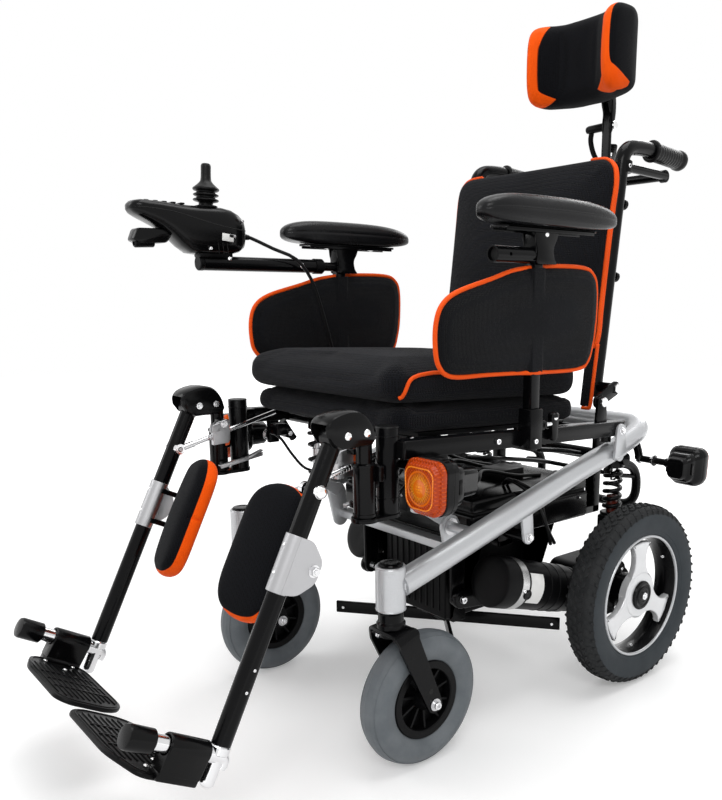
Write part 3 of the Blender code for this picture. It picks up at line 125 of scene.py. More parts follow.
class Look:                                    # one material and the nodes behind it
    def __init__(self, name, colour, rough, metal=0.0, **fixed):
        self.material = bpy.data.materials.new(name)
        self.material.use_nodes = True
        self.tree = self.material.node_tree
        self.shader = self.tree.nodes["Principled BSDF"]
        self.spot = self.add("ShaderNodeTexCoord", out="Object")
        self.set("Base Color", colour)
        self.set("Roughness", rough)
        self.set("Metallic", metal)
        for socket, value in fixed.items():
            self.set(socket.replace("_", " "), value)

    def add(self, kind, settings=None, sockets=None, out=0):
        node = self.tree.nodes.new(kind)
        for key, value in (settings or {}).items():
            setattr(node, key, value)
        for key, value in (sockets or {}).items():
            self.plug(node.inputs[key], value)
        return Wire(self, node.outputs[out])

    def plug(self, socket, value):
        if isinstance(value, Wire):
            self.tree.links.new(value.socket, socket)
        elif socket.type == "RGBA" and len(value) == 3:
            socket.default_value = (*value, 1)
        else:
            socket.default_value = value

    def set(self, socket, value):
        self.plug(self.shader.inputs[socket], value)

    def noise(self, scale, detail=2.0, stretch=None):
        spot = self.spot
        if stretch:
            spot = self.add("ShaderNodeVectorMath", {"operation": "MULTIPLY"}, {0: spot, 1: stretch})
        return self.add("ShaderNodeTexNoise", {}, {"Vector": spot, "Scale": scale, "Detail": detail})

    def band(self, value, low, high):          # rises smoothly from 0 to 1 between low and high
        names = {"Value": value, "From Min": low, "From Max": high}
        return self.add("ShaderNodeMapRange", {"interpolation_type": "SMOOTHSTEP"}, names)

    def mix(self, factor, first, second):      # two colours
        return self.add("ShaderNodeMix", {"data_type": "RGBA"}, {0: factor, 6: first, 7: second}, out=2)

    def bump(self, height, distance, strength):
        sockets = {"Height": height, "Distance": distance, "Strength": strength}
        return self.add("ShaderNodeBump", {}, sockets)

    def split(self):                           # the x, y and z of the point that is shaded
        parts = self.add("ShaderNodeSeparateXYZ", {}, {0: self.spot})
        return [Wire(self, output) for output in parts.socket.node.outputs]


looks = {}


def painted(name, colour, rough, metal, peel, **fixed):
    look = Look(name, colour, rough, metal, **fixed)
    fine = look.noise(900, 2)
    dust = look.band(look.noise(14, 5), 0.42, 0.75)
    look.set("Base Color", look.mix(dust * 0.35, colour, [min(1, 1.25 * c + 0.0004) for c in colour]))
    look.set("Roughness", rough + dust * 0.10 + (fine - 0.5) * 0.05)
    look.set("Normal", look.bump(look.noise(peel, 2), 0.0006, 0.25))
    looks[name] = look.material
    return look


# Metals and paints
def makeSilver():                              # flaked paint with faint darker streaks along the tubes
    coat = {"Coat_Weight": 0.35, "Coat_Roughness": 0.12}
    silver = painted("silverPaint", (0.56, 0.57, 0.585), 0.34, 0.55, 260, **coat)
    flake = silver.noise(1500, 1)
    darkStreak = silver.band(silver.noise(60, 6, stretch=(1, 0.15, 1)), 0.62, 0.72)
    tone = silver.mix(silver.band(flake, 0.35, 0.7) * 0.30, (0.50, 0.51, 0.525), (0.66, 0.665, 0.675))
    silver.set("Base Color", silver.mix(darkStreak * 0.35, tone, (0.36, 0.36, 0.37)))


makeSilver()
painted("wheelSilver", (0.72, 0.725, 0.735), 0.30, 0.35, 320, Coat_Weight=0.4, Coat_Roughness=0.1)
painted("blackPaint", (0.0020, 0.0020, 0.0024), 0.20, 0.0, 420, Coat_Weight=0.16, Coat_Roughness=0.08,
        Specular_IOR_Level=0.09, Coat_IOR=1.30)
painted("satinBlack", (0.0026, 0.0026, 0.0030), 0.34, 0.0, 500, Specular_IOR_Level=0.09)
painted("springPaint", (0.0030, 0.0030, 0.0034), 0.24, 0.0, 700, Specular_IOR_Level=0.16)


def metal(name, colour, rough, stretch):
    look = Look(name, colour, rough, 1.0)
    grain = look.noise(180, 4, stretch=stretch)
    smear = look.band(look.noise(24, 4), 0.4, 0.8)
    look.set("Roughness", rough + (grain - 0.5) * 0.22 + smear * 0.10)
    look.set("Base Color", look.mix(smear * 0.4, colour, [c * 0.72 for c in colour]))
    look.set("Normal", look.bump(grain, 0.0002, 0.2))
    looks[name] = look.material


metal("chrome", (0.74, 0.74, 0.75), 0.12, (1, 1, 1))
metal("nickel", (0.90, 0.90, 0.90), 0.16, (1, 1, 1))
metal("steel", (0.56, 0.56, 0.57), 0.30, (6, 1, 1))
metal("aluminium", (0.44, 0.44, 0.45), 0.36, (1, 1, 9))
metal("motorBand", (0.60, 0.60, 0.60), 0.28, (8, 8, 1))


# Plastics and rubbers
def plastic(name, colour, rough, grainScale, grainDepth, **fixed):
    look = Look(name, colour, rough, 0.0, **fixed)
    grain = look.add("ShaderNodeTexVoronoi", {}, {"Vector": look.spot, "Scale": grainScale})
    cloud = look.noise(20, 5)
    worn = look.band(cloud, 0.5, 0.8)
    look.set("Base Color", look.mix(worn * 0.5, colour, [1.5 * c + 0.0003 for c in colour]))
    look.set("Roughness", rough + (cloud - 0.5) * 0.16)
    look.set("Normal", look.bump(grain, grainDepth, 0.5))
    looks[name] = look.material


plastic("blackPlastic", (0.0028, 0.0028, 0.0031), 0.38, 900, 0.0002, Specular_IOR_Level=0.10)
plastic("glossPlastic", (0.0024, 0.0024, 0.0027), 0.18, 1400, 0.00005, Specular_IOR_Level=0.15)
plastic("armPadSkin", (0.0055, 0.0055, 0.0062), 0.27, 520, 0.0003, Specular_IOR_Level=0.19)
# near-black for painted shade: set into holes, an open tube's mouth and the case's seam
plastic("shadeBlack", (0.001, 0.001, 0.001), 0.9, 900, 0.0001)
plastic("softRubber", (0.0038, 0.0038, 0.0041), 0.36, 700, 0.0003, Specular_IOR_Level=0.16)
plastic("cableSkin", (0.0030, 0.0030, 0.0034), 0.36, 900, 0.0001, Specular_IOR_Level=0.14)
plastic("labelWhite", (0.86, 0.86, 0.84), 0.45, 300, 0.00005)
plastic("orangePlastic", (0.95, 0.13, 0.006), 0.35, 600, 0.0001)
plastic("damperRed", (0.11, 0.013, 0.006), 0.30, 600, 0.0001)


def rubber(name, low, high, rough, moulded, **fixed):
    look = Look(name, low, rough, 0.0, **fixed)
    cloud = look.noise(26, 6)
    speck = look.band(look.noise(420, 3), 0.6, 0.72)
    look.set("Base Color", look.mix(look.band(cloud, 0.3, 0.75) * 0.8 + speck * 0.2, low, high))
    look.set("Roughness", rough + (cloud - 0.5) * 0.2)
    look.set("Normal", look.bump(look.noise(moulded, 4), 0.0004, 0.35))
    looks[name] = look.material


rubber("treadRubber", (0.017, 0.018, 0.019), (0.031, 0.032, 0.033), 0.78, 700, Specular_IOR_Level=0.2)
rubber("sidewallRubber", (0.028, 0.034, 0.039), (0.046, 0.053, 0.059), 0.66, 500, Specular_IOR_Level=0.2)
rubber("casterRubber", (0.115, 0.130, 0.142), (0.175, 0.190, 0.202), 0.55, 420, Specular_IOR_Level=0.3)


# Upholstery: a spacer mesh with small open cells, whose holes are painted darker as shade, and the orange
# cloth of the piping
def meshCloth(name, yarn, pitShade, cell, rough):
    look = Look(name, yarn, rough, 0.0, Sheen_Weight=0.05, Sheen_Roughness=0.5, Specular_IOR_Level=0.09)
    cells = look.add("ShaderNodeTexVoronoi", {"feature": "F1", "distance": "EUCLIDEAN"},
                     {"Vector": look.spot, "Scale": 1 / cell, "Randomness": 0.25})
    hole = look.band(cells, 0.52, 0.22)
    drift = look.noise(9, 4)
    tint = look.mix(look.band(drift, 0.3, 0.8), yarn, [1.7 * c for c in yarn])
    # the cells' holes take the darker pit colour: painted shade
    look.set("Base Color", look.mix(hole, tint, pitShade))
    look.set("Roughness", rough - hole * 0.1)
    look.set("Normal", look.bump(look.noise(1300, 2) * 0.3 - hole, cell * 0.45, 0.8))
    looks[name] = look.material


meshCloth("meshFabric", (0.0052, 0.0056, 0.0074), (0.0012, 0.0012, 0.0018), 0.0030, 0.88)
meshCloth("sideFabric", (0.0042, 0.0045, 0.0056), (0.0012, 0.0012, 0.0016), 0.0024, 0.84)


def wovenCloth(name, colour, shade, thread):
    look = Look(name, colour, 0.62, 0.0, Sheen_Weight=0.05, Sheen_Roughness=0.4, Specular_IOR_Level=0.2)
    x, y, z = look.split()
    warp = ((x + z * 0.6) * (math.tau / thread)).maths("SINE")
    weft = ((y + z * 0.8) * (math.tau / thread)).maths("SINE")
    weave = (warp * weft) * 0.5 + 0.5
    cloud = look.band(look.noise(30, 4), 0.3, 0.8)
    # half the thread crossings are painted darker: painted shade between the threads, with a random cloud of
    # tone
    look.set("Base Color", look.mix(weave * 0.45 + cloud * 0.3, colour, shade))
    look.set("Normal", look.bump(weave, 0.0004, 0.5))
    looks[name] = look.material


wovenCloth("orangeCloth", (1.0, 0.108, 0.003), (0.74, 0.060, 0.002), 0.0016)

# Amber lens: deep towards its rim, ribbed inside, with a painted reflection of the reflector as bright flutes
# round the front signals' middle, and a faint painted glow
amberSet = {"middle": (0.272, 0.4279), "rib": 0.0055, "flutes": 28, "bright": 0.006, "dark": 0.026,
            "cells": 260}


def makeAmberLens(s):
    look = Look("amberLens", (0.8, 0.10, 0.002), 0.20, 0.0, Coat_Weight=0.16, Coat_Roughness=0.05,
                Specular_IOR_Level=0.16)
    x, y, z = look.split()
    ribs = (x * (math.tau / s["rib"])).maths("SINE") * (z * (math.tau / s["rib"])).maths("SINE")
    aside, above = x.maths("ABSOLUTE") - s["middle"][0], z - s["middle"][1]
    fromMiddle = (aside * aside + above * above) ** 0.5
    flutes = (aside.maths("ARCTAN2", above) * s["flutes"]).maths("SINE") * 0.5 + 0.5
    # painted reflection: the middle is painted bright amber, with flutes, for light off the reflector behind
    # the lens
    reflectorShine = look.band(fromMiddle, s["dark"], s["bright"]) * (flutes * 0.45 + 0.55)
    deep = look.mix(look.band(ribs, 0.1, 0.5) * 0.5, (0.40, 0.036, 0.0008), (0.70, 0.092, 0.002))
    look.set("Base Color", look.mix(reflectorShine, deep, (1.0, 0.42, 0.014)))
    # a faint painted glow, for light coming through the amber
    look.set("Emission Color", (1.0, 0.13, 0.002))
    look.set("Emission Strength", 0.05)
    look.set("Normal", look.bump(ribs, 0.0012, 0.6))
    looks["amberLens"] = look.material


# Amber reflector: its bright amber, faint glow and lighter facet middles are painted reflection, painted glow
# and painted glints
def makeAmberReflector(s):
    look = Look("amberReflector", (1.0, 0.30, 0.01), 0.12, 0.0, Coat_Weight=0.4, Coat_Roughness=0.02,
                Specular_IOR_Level=0.2)
    # a faint painted glow
    look.set("Emission Color", (1.0, 0.26, 0.008))
    look.set("Emission Strength", 0.14)
    cells = look.add("ShaderNodeTexVoronoi", {"distance": "CHEBYCHEV"},
                     {"Vector": look.spot, "Scale": s["cells"], "Randomness": 0.0})
    # each facet is painted lighter in its middle: painted glints
    look.set("Base Color", look.mix(look.band(cells, 0.1, 0.5), (1.0, 0.40, 0.016), (0.66, 0.115, 0.003)))
    look.set("Normal", look.bump(cells, 0.0010, 0.7))
    looks["amberReflector"] = look.material


makeAmberLens(amberSet)
makeAmberReflector(amberSet)
print("materials ready:", len(looks))

# Stage: a white floor and sky for the camera, lit softly
stageSet = {"size": 14.0, "floor": (0.86, 0.86, 0.86), "lift": 0.25, "far": (1.2, 2.8), "sky": 0.52}


def makeStage(s):
    half = s["size"] / 2
    mesh = bpy.data.meshes.new("floor")
    corners = [(-half, -half, 0), (half, -half, 0), (half, half, 0), (-half, half, 0)]
    mesh.from_pydata(corners, [], [(0, 1, 2, 3)])
    floor = bpy.data.objects.new("floor", mesh)
    bpy.context.scene.collection.objects.link(floor)
    look = Look("floorWhite", s["floor"], 0.9, Specular_IOR_Level=0.0)
    rays = look.add("ShaderNodeLightPath").socket.node
    seen = Wire(look, rays.outputs["Is Camera Ray"]) + Wire(look, rays.outputs["Is Glossy Ray"])
    seen = seen + Wire(look, rays.outputs["Is Transmission Ray"])
    distance = look.add("ShaderNodeVectorMath", {"operation": "LENGTH"}, {0: look.spot}, out=1)
    look.set("Emission Color", (1, 1, 1))
    look.set("Emission Strength", seen * (look.band(distance, *s["far"]) * 0.75 + s["lift"]))
    mesh.materials.append(look.material)
    world = bpy.data.worlds.new("studio")
    world.use_nodes = True
    bpy.context.scene.world = world
    tree = world.node_tree
    back = tree.nodes["Background"]
    rays = tree.nodes.new("ShaderNodeLightPath")
    total = rays.outputs["Is Camera Ray"]
    for name in ("Is Transmission Ray", "Is Glossy Ray"):
        more = tree.nodes.new("ShaderNodeMath")
        more.operation = "ADD"
        tree.links.new(total, more.inputs[0])
        tree.links.new(rays.outputs[name], more.inputs[1])
        total = more.outputs[0]
    level = tree.nodes.new("ShaderNodeMapRange")
    level.inputs["To Min"].default_value = s["sky"]
    level.inputs["To Max"].default_value = 1.0
    tree.links.new(total, level.inputs["Value"])
    tree.links.new(level.outputs[0], back.inputs["Strength"])
    back.inputs["Color"].default_value = (1, 1, 1, 1)


lampSet = (                                    # place, size, watts
    ("keyLamp", (2.6, -2.2, 2.9), (1.8, 1.2), 46),
    ("fillLamp", (-2.6, -2.4, 2.2), (1.6, 1.6), 22),
    ("topLamp", (0.2, 0.3, 3.6), (2.4, 2.0), 60),
    ("rearLamp", (-0.8, 3.2, 2.4), (2.0, 1.2), 30),
)


def makeLamps(rows):
    for name, place, size, watts in rows:
        data = bpy.data.lights.new(name, "AREA")
        data.shape = "RECTANGLE"
        data.size, data.size_y = size
        data.energy = watts
        lamp = bpy.data.objects.new(name, data)
        lamp.location = place
        aim = Vector((0, 0, 0.5)) - Vector(place)
        lamp.rotation_euler = aim.to_track_quat("-Z", "Y").to_euler()
        bpy.context.scene.collection.objects.link(lamp)


makeStage(stageSet)
makeLamps(lampSet)
bpy.context.scene.view_settings.view_transform = "Standard"
print("stage ready")

# Shape tools: every part is drawn from the rear axle and the ground, as at() is
def smooth(points, steps=6, loop=False):       # a curve through every point
    points = [Vector(p) for p in points]
    if loop:
        ends = [points[-1]] + points + points[:2]
    else:
        ends = [points[0] * 2 - points[1]] + points + [points[-1] * 2 - points[-2]]
    route = []
    for p, q, r, s in zip(ends, ends[1:], ends[2:], ends[3:]):
        for step in range(steps):
            t = step / steps
            route.append(0.5 * (2 * q + (r - p) * t + (2 * p - 5 * q + 4 * r - s) * t**2
                                + (3 * q - p - 3 * r + s) * t**3))
    return route if loop else route + [points[-1]]


def bent(points, radius, steps=6, loop=False):  # the same route with round inner corners
    points = [Vector(p) for p in points]
    corners = list(zip(points, points[1:], points[2:]))
    if loop:
        corners = list(zip(points[-1:] + points, points, points[1:] + points[:1]))
    route = [] if loop else [points[0]]
    for before, corner, after in corners:
        reach = min(radius, (corner - before).length * 0.49, (after - corner).length * 0.49)
        enter = corner + (before - corner).normalized() * reach
        leave = corner + (after - corner).normalized() * reach
        for step in range(steps + 1):
            share = step / steps
            route.append(enter.lerp(corner, share).lerp(corner.lerp(leave, share), share))
    return route if loop else route + [points[-1]]


def flatBent(corners, radius, steps=6):        # a closed flat outline with round corners, as (a, b) pairs
    return [(p.x, p.y) for p in bent([(a, b, 0) for a, b in corners], radius, steps, loop=True)]


def flatSmooth(points, steps, loop=False):     # a flat curve through every (a, b) pair
    return [(p.x, p.y) for p in smooth([(a, b, 0) for a, b in points], steps, loop)]


def circle(centre, radius, count, first=(1, 0, 0), second=(0, 1, 0)):
    first, second = Vector(first), Vector(second)  # two directions in the circle's own plane
    turns = [math.tau * k / count for k in range(count)]
    return [Vector(centre) + (first * math.cos(a) + second * math.sin(a)) * radius for a in turns]


def along(start, end):                         # puts the origin at start and turns +Z towards end
    start = Vector(start)
    turn = Vector((0, 0, 1)).rotation_difference(Vector(end) - start)
    return Matrix.Translation(start) @ turn.to_matrix().to_4x4()


def lathe(profile, start, end, sides=48):      # (radius, run) points spun about the line from start to end
    part = bmesh.new()
    spins = [(math.cos(math.tau * i / sides), math.sin(math.tau * i / sides)) for i in range(sides)]
    rows = []
    for radius, run in profile:
        ring = [(0, 0)] if radius < 1e-7 else [(radius * c, radius * s) for c, s in spins]
        rows.append([part.verts.new((x, y, run)) for x, y in ring])
    pairs = list(zip(rows, rows[1:]))
    if profile[0][0] > 1e-7:
        pairs.append((rows[-1], rows[0]))
    for low, high in pairs:
        for i in range(sides):
            j = (i + 1) % sides
            corners = [low[i % len(low)], low[j % len(low)], high[j % len(high)], high[i % len(high)]]
            corners = [c for n, c in enumerate(corners) if c not in corners[:n]]
            if len(corners) > 2:
                part.faces.new(corners)
    bmesh.ops.recalc_face_normals(part, faces=part.faces)
    bmesh.ops.transform(part, matrix=along(start, end), verts=part.verts)
    return part


def rod(start, end, radius, sides=28):
    length = (Vector(end) - Vector(start)).length
    return lathe(((0, 0), (radius, 0), (radius, length), (0, length)), start, end, sides)


def pipe(start, end, radius, wall, sides=32):  # a tube that is open at both ends
    length = (Vector(end) - Vector(start)).length
    inner = radius - wall
    return lathe(((radius, 0), (radius, length), (inner, length), (inner, 0)), start, end, sides)


def hose(points, radius, sides=20, loop=False, flat=1.0):  # a round bar along a route, or an oval one
    points = [Vector(p) for p in points]
    count = len(points)
    radii = radius if isinstance(radius, (list, tuple)) else [radius] * count
    part = bmesh.new()
    rows = []
    aside = None
    for i, point in enumerate(points):
        before = points[i - 1] if i or loop else points[0]
        after = points[(i + 1) % count] if i < count - 1 or loop else points[-1]
        ahead = (after - before).normalized()
        if aside is None:
            upright = abs(ahead.z) > 0.9
            aside = (ahead.orthogonal() if upright else ahead.cross(Vector((0, 0, 1)))).normalized()
        aside = (aside - ahead * aside.dot(ahead)).normalized()
        up = ahead.cross(aside)
        rows.append([part.verts.new(point + (aside * math.cos(a) + up * math.sin(a) * flat) * radii[i])
                     for a in [math.tau * k / sides for k in range(sides)]])
    if loop:                                   # the ring that closes the loop may have turned on the way
        first = rows[0][0].co
        shift = min(range(sides), key=lambda k: (rows[-1][k].co - first).length)
        rows.append([rows[0][(k - shift) % sides] for k in range(sides)])
    for low, high in zip(rows, rows[1:]):
        for k in range(sides):
            part.faces.new((low[k], low[(k + 1) % sides], high[(k + 1) % sides], high[k]))
    if not loop:
        part.faces.new(list(reversed(rows[0])))
        part.faces.new(rows[-1])
    bmesh.ops.recalc_face_normals(part, faces=part.faces)
    return part


def slab(outline, axis, low, high, edge=0.0, steps=2):  # an outline pushed along an axis, with round rims
    place = "XYZ".index(axis)
    push = Vector([high - low if letter == axis else 0 for letter in "XYZ"])
    part = bmesh.new()
    spots = [[*p[:place], low, *p[place:2]] for p in outline]
    face = part.faces.new([part.verts.new(spot) for spot in spots])
    made = bmesh.ops.extrude_face_region(part, geom=[face])["geom"]
    moved = [g for g in made if isinstance(g, bmesh.types.BMVert)]
    bmesh.ops.translate(part, vec=push, verts=moved)
    bmesh.ops.recalc_face_normals(part, faces=part.faces)
    if edge:
        rims = [e for e in part.edges if abs((e.verts[0].co - e.verts[1].co).dot(push.normalized())) < 1e-6]
        bmesh.ops.bevel(part, geom=rims, offset=edge, segments=steps, profile=0.5, affect="EDGES")
    return part


def across(outline, near, far, side, edge=0.0):  # a slab from near to far outwards on this side
    low, high = sorted((side * near, side * far))
    return slab(outline, "X", low, high, edge)


def box(size, centre, turn=None, edge=0.0, steps=2):  # a block with round edges
    part = bmesh.new()
    bmesh.ops.create_cube(part, size=1)
    bmesh.ops.scale(part, vec=size, verts=part.verts)
    if edge:
        bmesh.ops.bevel(part, geom=part.edges[:], offset=edge, segments=steps, profile=0.5, affect="EDGES")
    spot = Matrix.Translation(Vector(centre))
    bmesh.ops.transform(part, matrix=spot @ turn.to_4x4() if turn else spot, verts=part.verts)
    return part


def strap(start, startHalf, end, endHalf, steps=10):  # a bar with round ends
    start, end = Vector(start), Vector(end)
    heading = math.atan2(end.y - start.y, end.x - start.x)
    outline = []
    for centre, half, first in ((end, endHalf, -0.5), (start, startHalf, 0.5)):
        for step in range(steps + 1):
            angle = heading + math.pi * (first + step / steps)
            outline.append((centre.x + half * math.cos(angle), centre.y + half * math.sin(angle)))
    return outline


def cutAway(part, *cutters):                   # the part with holes where the cutters are
    things = []
    for shape in (part, *cutters):
        mesh = bpy.data.meshes.new("cut")
        shape.to_mesh(mesh)
        shape.free()
        things.append(bpy.data.objects.new("cut", mesh))
        bpy.context.scene.collection.objects.link(things[-1])
    for cutter in things[1:]:
        step = things[0].modifiers.new("cut", "BOOLEAN")
        step.operation, step.solver, step.object = "DIFFERENCE", "EXACT", cutter
    bpy.context.view_layer.update()
    graph = bpy.context.evaluated_depsgraph_get()
    result = bpy.data.meshes.new_from_object(things[0].evaluated_get(graph), depsgraph=graph)
    left = bmesh.new()
    left.from_mesh(result)
    for thing in things:
        bpy.data.objects.remove(thing)
    bpy.data.meshes.remove(result)
    return left


def loft(rings):                               # rings of the same count, skinned and closed at both ends
    part = bmesh.new()
    rows = [[part.verts.new(p) for p in ring] for ring in rings]
    for low, high in zip(rows, rows[1:]):
        for k in range(len(low)):
            part.faces.new((low[k], low[(k + 1) % len(low)], high[(k + 1) % len(low)], high[k]))
    part.faces.new(list(reversed(rows[0])))
    part.faces.new(rows[-1])
    bmesh.ops.recalc_face_normals(part, faces=part.faces)
    return part


def bentPlate(start, end, radii, first, last, level, up, steps):  # a plate bent round a line
    part = bmesh.new()
    turns = [first + (last - first) * k / steps for k in range(steps + 1)]
    arc = [level * math.cos(a) + up * math.sin(a) for a in turns]
    low, lowFar, high, highFar = [[part.verts.new(spot + out * radius) for out in arc]
                                  for radius in radii for spot in (start, end)]
    for k in range(steps):
        part.faces.new((high[k], high[k + 1], highFar[k + 1], highFar[k]))
        part.faces.new((low[k], lowFar[k], lowFar[k + 1], low[k + 1]))
        part.faces.new((low[k], low[k + 1], high[k + 1], high[k]))
        part.faces.new((lowFar[k], highFar[k], highFar[k + 1], lowFar[k + 1]))
    for k in (0, steps):
        part.faces.new((low[k], high[k], highFar[k], lowFar[k]))
    bmesh.ops.recalc_face_normals(part, faces=part.faces)
    return part


def mirrored(half):                            # a wheel's profile from its outer half
    return [*half, *((r, -w) for r, w in reversed(half) if w)]


def hexagon(place, heading, radius, height):   # a nut or a bolt's head
    profile = ((0, 0), (radius, 0), (radius, height * 0.85), (radius * 0.9, height), (0, height))
    return lathe(profile, place, Vector(place) + Vector(heading), 6)


class Shape:                                   # one piece, gathered from parts that keep their own finishes
    def __init__(self, name, body, stands=(), slot=None):
        self.name, self.body, self.stands, self.slot = name, body, stands, slot
        self.mesh = bmesh.new()
        self.finishes = []

    def take(self, part, finish, move=None, pick=None):
        if move is not None:
            bmesh.ops.transform(part, matrix=move, verts=part.verts)
            if move.determinant() < 0:
                bmesh.ops.reverse_faces(part, faces=part.faces)
        for face in part.faces:
            look = pick(face) if pick else finish
            if look not in self.finishes:
                self.finishes.append(look)
            face.material_index = self.finishes.index(look)
        spare = bpy.data.meshes.new("spare")
        part.to_mesh(spare)
        part.free()
        self.mesh.from_mesh(spare)
        bpy.data.meshes.remove(spare)

    def done(self, bevel=0.0006, angle=38, shift=True, ride=True):
        if shift:
            bmesh.ops.translate(self.mesh, vec=(0, axleY, 0), verts=self.mesh.verts)
        mesh = bpy.data.meshes.new(self.name)
        self.mesh.to_mesh(mesh)
        self.mesh.free()
        for finish in self.finishes:
            mesh.materials.append(looks[finish])
        mesh.shade_smooth()
        mesh.set_sharp_from_angle(angle=math.radians(angle))
        piece = bpy.data.objects.new(self.name, mesh)
        bpy.context.scene.collection.objects.link(piece)
        if bevel:
            edge = piece.modifiers.new("softEdges", "BEVEL")
            edge.width, edge.segments = bevel, 2
            edge.limit_method = "ANGLE"
            edge.angle_limit = math.radians(angle)
            edge.harden_normals = True
        if ride:
            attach(piece, self.body)
        if self.stands:
            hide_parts(*self.stands)
        return piece


# Geometry Nodes: one tree sets a unit on each point, another sets a unit round a ring
def nodeTree(name, inputs):
    tree = bpy.data.node_groups.new(name, "GeometryNodeTree")
    tree.interface.new_socket("Geometry", in_out="INPUT", socket_type="NodeSocketGeometry")
    for label, kind, value in inputs:
        socket = tree.interface.new_socket(label, in_out="INPUT", socket_type=kind)
        if value is not None:
            socket.default_value = value
    tree.interface.new_socket("Geometry", in_out="OUTPUT", socket_type="NodeSocketGeometry")
    start = tree.nodes.new("NodeGroupInput")
    end = tree.nodes.new("NodeGroupOutput")

    def node(kind, settings=None, sockets=None):
        made = tree.nodes.new(kind)
        for key, value in (settings or {}).items():
            setattr(made, key, value)
        for key, value in (sockets or {}).items():
            if isinstance(value, bpy.types.NodeSocket):
                tree.links.new(value, made.inputs[key])
            else:
                made.inputs[key].default_value = value
        return made

    return tree, start.outputs, end.inputs, node


def makePointTree():
    tree, given, out, node = nodeTree("setOnPoints", (
        ("Unit", "NodeSocketObject", None), ("Size", "NodeSocketFloat", 1.0),
        ("Finish", "NodeSocketMaterial", None)))
    unit = node("GeometryNodeObjectInfo", {"transform_space": "ORIGINAL"}, {"Object": given["Unit"]})
    turn = node("GeometryNodeInputNamedAttribute", {"data_type": "FLOAT_VECTOR"}, {"Name": "turn"})
    own = node("GeometryNodeInputNamedAttribute", {"data_type": "FLOAT"}, {"Name": "size"})
    scale = node("ShaderNodeMath", {"operation": "MULTIPLY"}, {0: own.outputs["Attribute"], 1: given["Size"]})
    laid = node("GeometryNodeInstanceOnPoints", {}, {
        "Points": given["Geometry"], "Instance": unit.outputs["Geometry"],
        "Rotation": turn.outputs["Attribute"], "Scale": scale.outputs[0]})
    real = node("GeometryNodeRealizeInstances", {}, {"Geometry": laid.outputs[0]})
    done = node("GeometryNodeSetMaterial", {}, {"Geometry": real.outputs[0], "Material": given["Finish"]})
    tree.links.new(done.outputs[0], out["Geometry"])
    return tree


def makeRingTree():
    tree, given, out, node = nodeTree("setRoundRing", (
        ("Unit", "NodeSocketObject", None), ("Count", "NodeSocketInt", 12),
        ("Radius", "NodeSocketFloat", 0.1), ("Shift", "NodeSocketFloat", 0.0),
        ("Phase", "NodeSocketFloat", 0.0), ("Finish", "NodeSocketMaterial", None)))
    unit = node("GeometryNodeObjectInfo", {"transform_space": "ORIGINAL"}, {"Object": given["Unit"]})
    ring = node("GeometryNodeMeshCircle", {}, {"Vertices": given["Count"], "Radius": given["Radius"]})
    index = node("GeometryNodeInputIndex")
    step = node("ShaderNodeMath", {"operation": "DIVIDE"}, {0: index.outputs[0], 1: given["Count"]})
    angle = node("ShaderNodeMath", {"operation": "MULTIPLY"}, {0: step.outputs[0], 1: math.tau})
    turn = node("ShaderNodeCombineXYZ", {}, {"Z": angle.outputs[0]})
    laid = node("GeometryNodeInstanceOnPoints", {}, {
        "Points": ring.outputs[0], "Instance": unit.outputs["Geometry"], "Rotation": turn.outputs[0]})
    real = node("GeometryNodeRealizeInstances", {}, {"Geometry": laid.outputs[0]})
    rise = node("ShaderNodeCombineXYZ", {}, {"Z": given["Shift"]})
    spin = node("ShaderNodeCombineXYZ", {}, {"Z": given["Phase"]})
    moved = node("GeometryNodeTransform", {}, {
        "Geometry": real.outputs[0], "Translation": rise.outputs[0], "Rotation": spin.outputs[0]})
    done = node("GeometryNodeSetMaterial", {}, {"Geometry": moved.outputs[0], "Material": given["Finish"]})
    tree.links.new(done.outputs[0], out["Geometry"])
    return tree


pointTree = makePointTree()
ringTree = makeRingTree()


def grown(tree, mesh, unit, values):           # runs a tree once and hands back its plain mesh as a part
    host = bpy.data.objects.new("host", mesh)
    model = bpy.data.meshes.new("unit")
    unit.to_mesh(model)
    model.shade_smooth()
    piece = bpy.data.objects.new("unit", model)
    for thing in (host, piece):
        bpy.context.scene.collection.objects.link(thing)
    step = host.modifiers.new("grow", "NODES")
    step.node_group = tree
    names = {item.name: item.identifier for item in tree.interface.items_tree if item.in_out == "INPUT"}
    step[names["Unit"]] = piece
    for key, value in values.items():
        step[names[key]] = value
    bpy.context.view_layer.update()
    graph = bpy.context.evaluated_depsgraph_get()
    result = bpy.data.meshes.new_from_object(host.evaluated_get(graph), depsgraph=graph)
    host.modifiers.clear()
    part = bmesh.new()
    part.from_mesh(result)
    for thing in (host, piece):
        bpy.data.objects.remove(thing)
    bpy.data.meshes.remove(result)
    return part


def onPoints(unit, places, finish, size=1.0):  # places: (point, heading, size)
    mesh = bpy.data.meshes.new("points")
    mesh.from_pydata([place for place, _, _ in places], [], [])
    mesh.attributes.new("turn", "FLOAT_VECTOR", "POINT")
    mesh.attributes.new("size", "FLOAT", "POINT")
    for i, (_, heading, own) in enumerate(places):
        turn = Vector((0, 0, 1)).rotation_difference(Vector(heading))
        mesh.attributes["turn"].data[i].vector = turn.to_euler()
        mesh.attributes["size"].data[i].value = own
    return grown(pointTree, mesh, unit, {"Size": size, "Finish": looks[finish]})


def roundRing(unit, count, radius, finish, shift=0.0, phase=0.0):
    mesh = bpy.data.meshes.new("ring")
    values = {"Count": count, "Radius": radius, "Shift": shift, "Phase": phase, "Finish": looks[finish]}
    return grown(ringTree, mesh, unit, values)


# Fasteners are noted as the pieces are built and set out together for each body
fasteners = {}


def fasten(body, kind, place, heading, size=1.0):
    fasteners.setdefault((body, kind), []).append((Vector(place), Vector(heading), size))


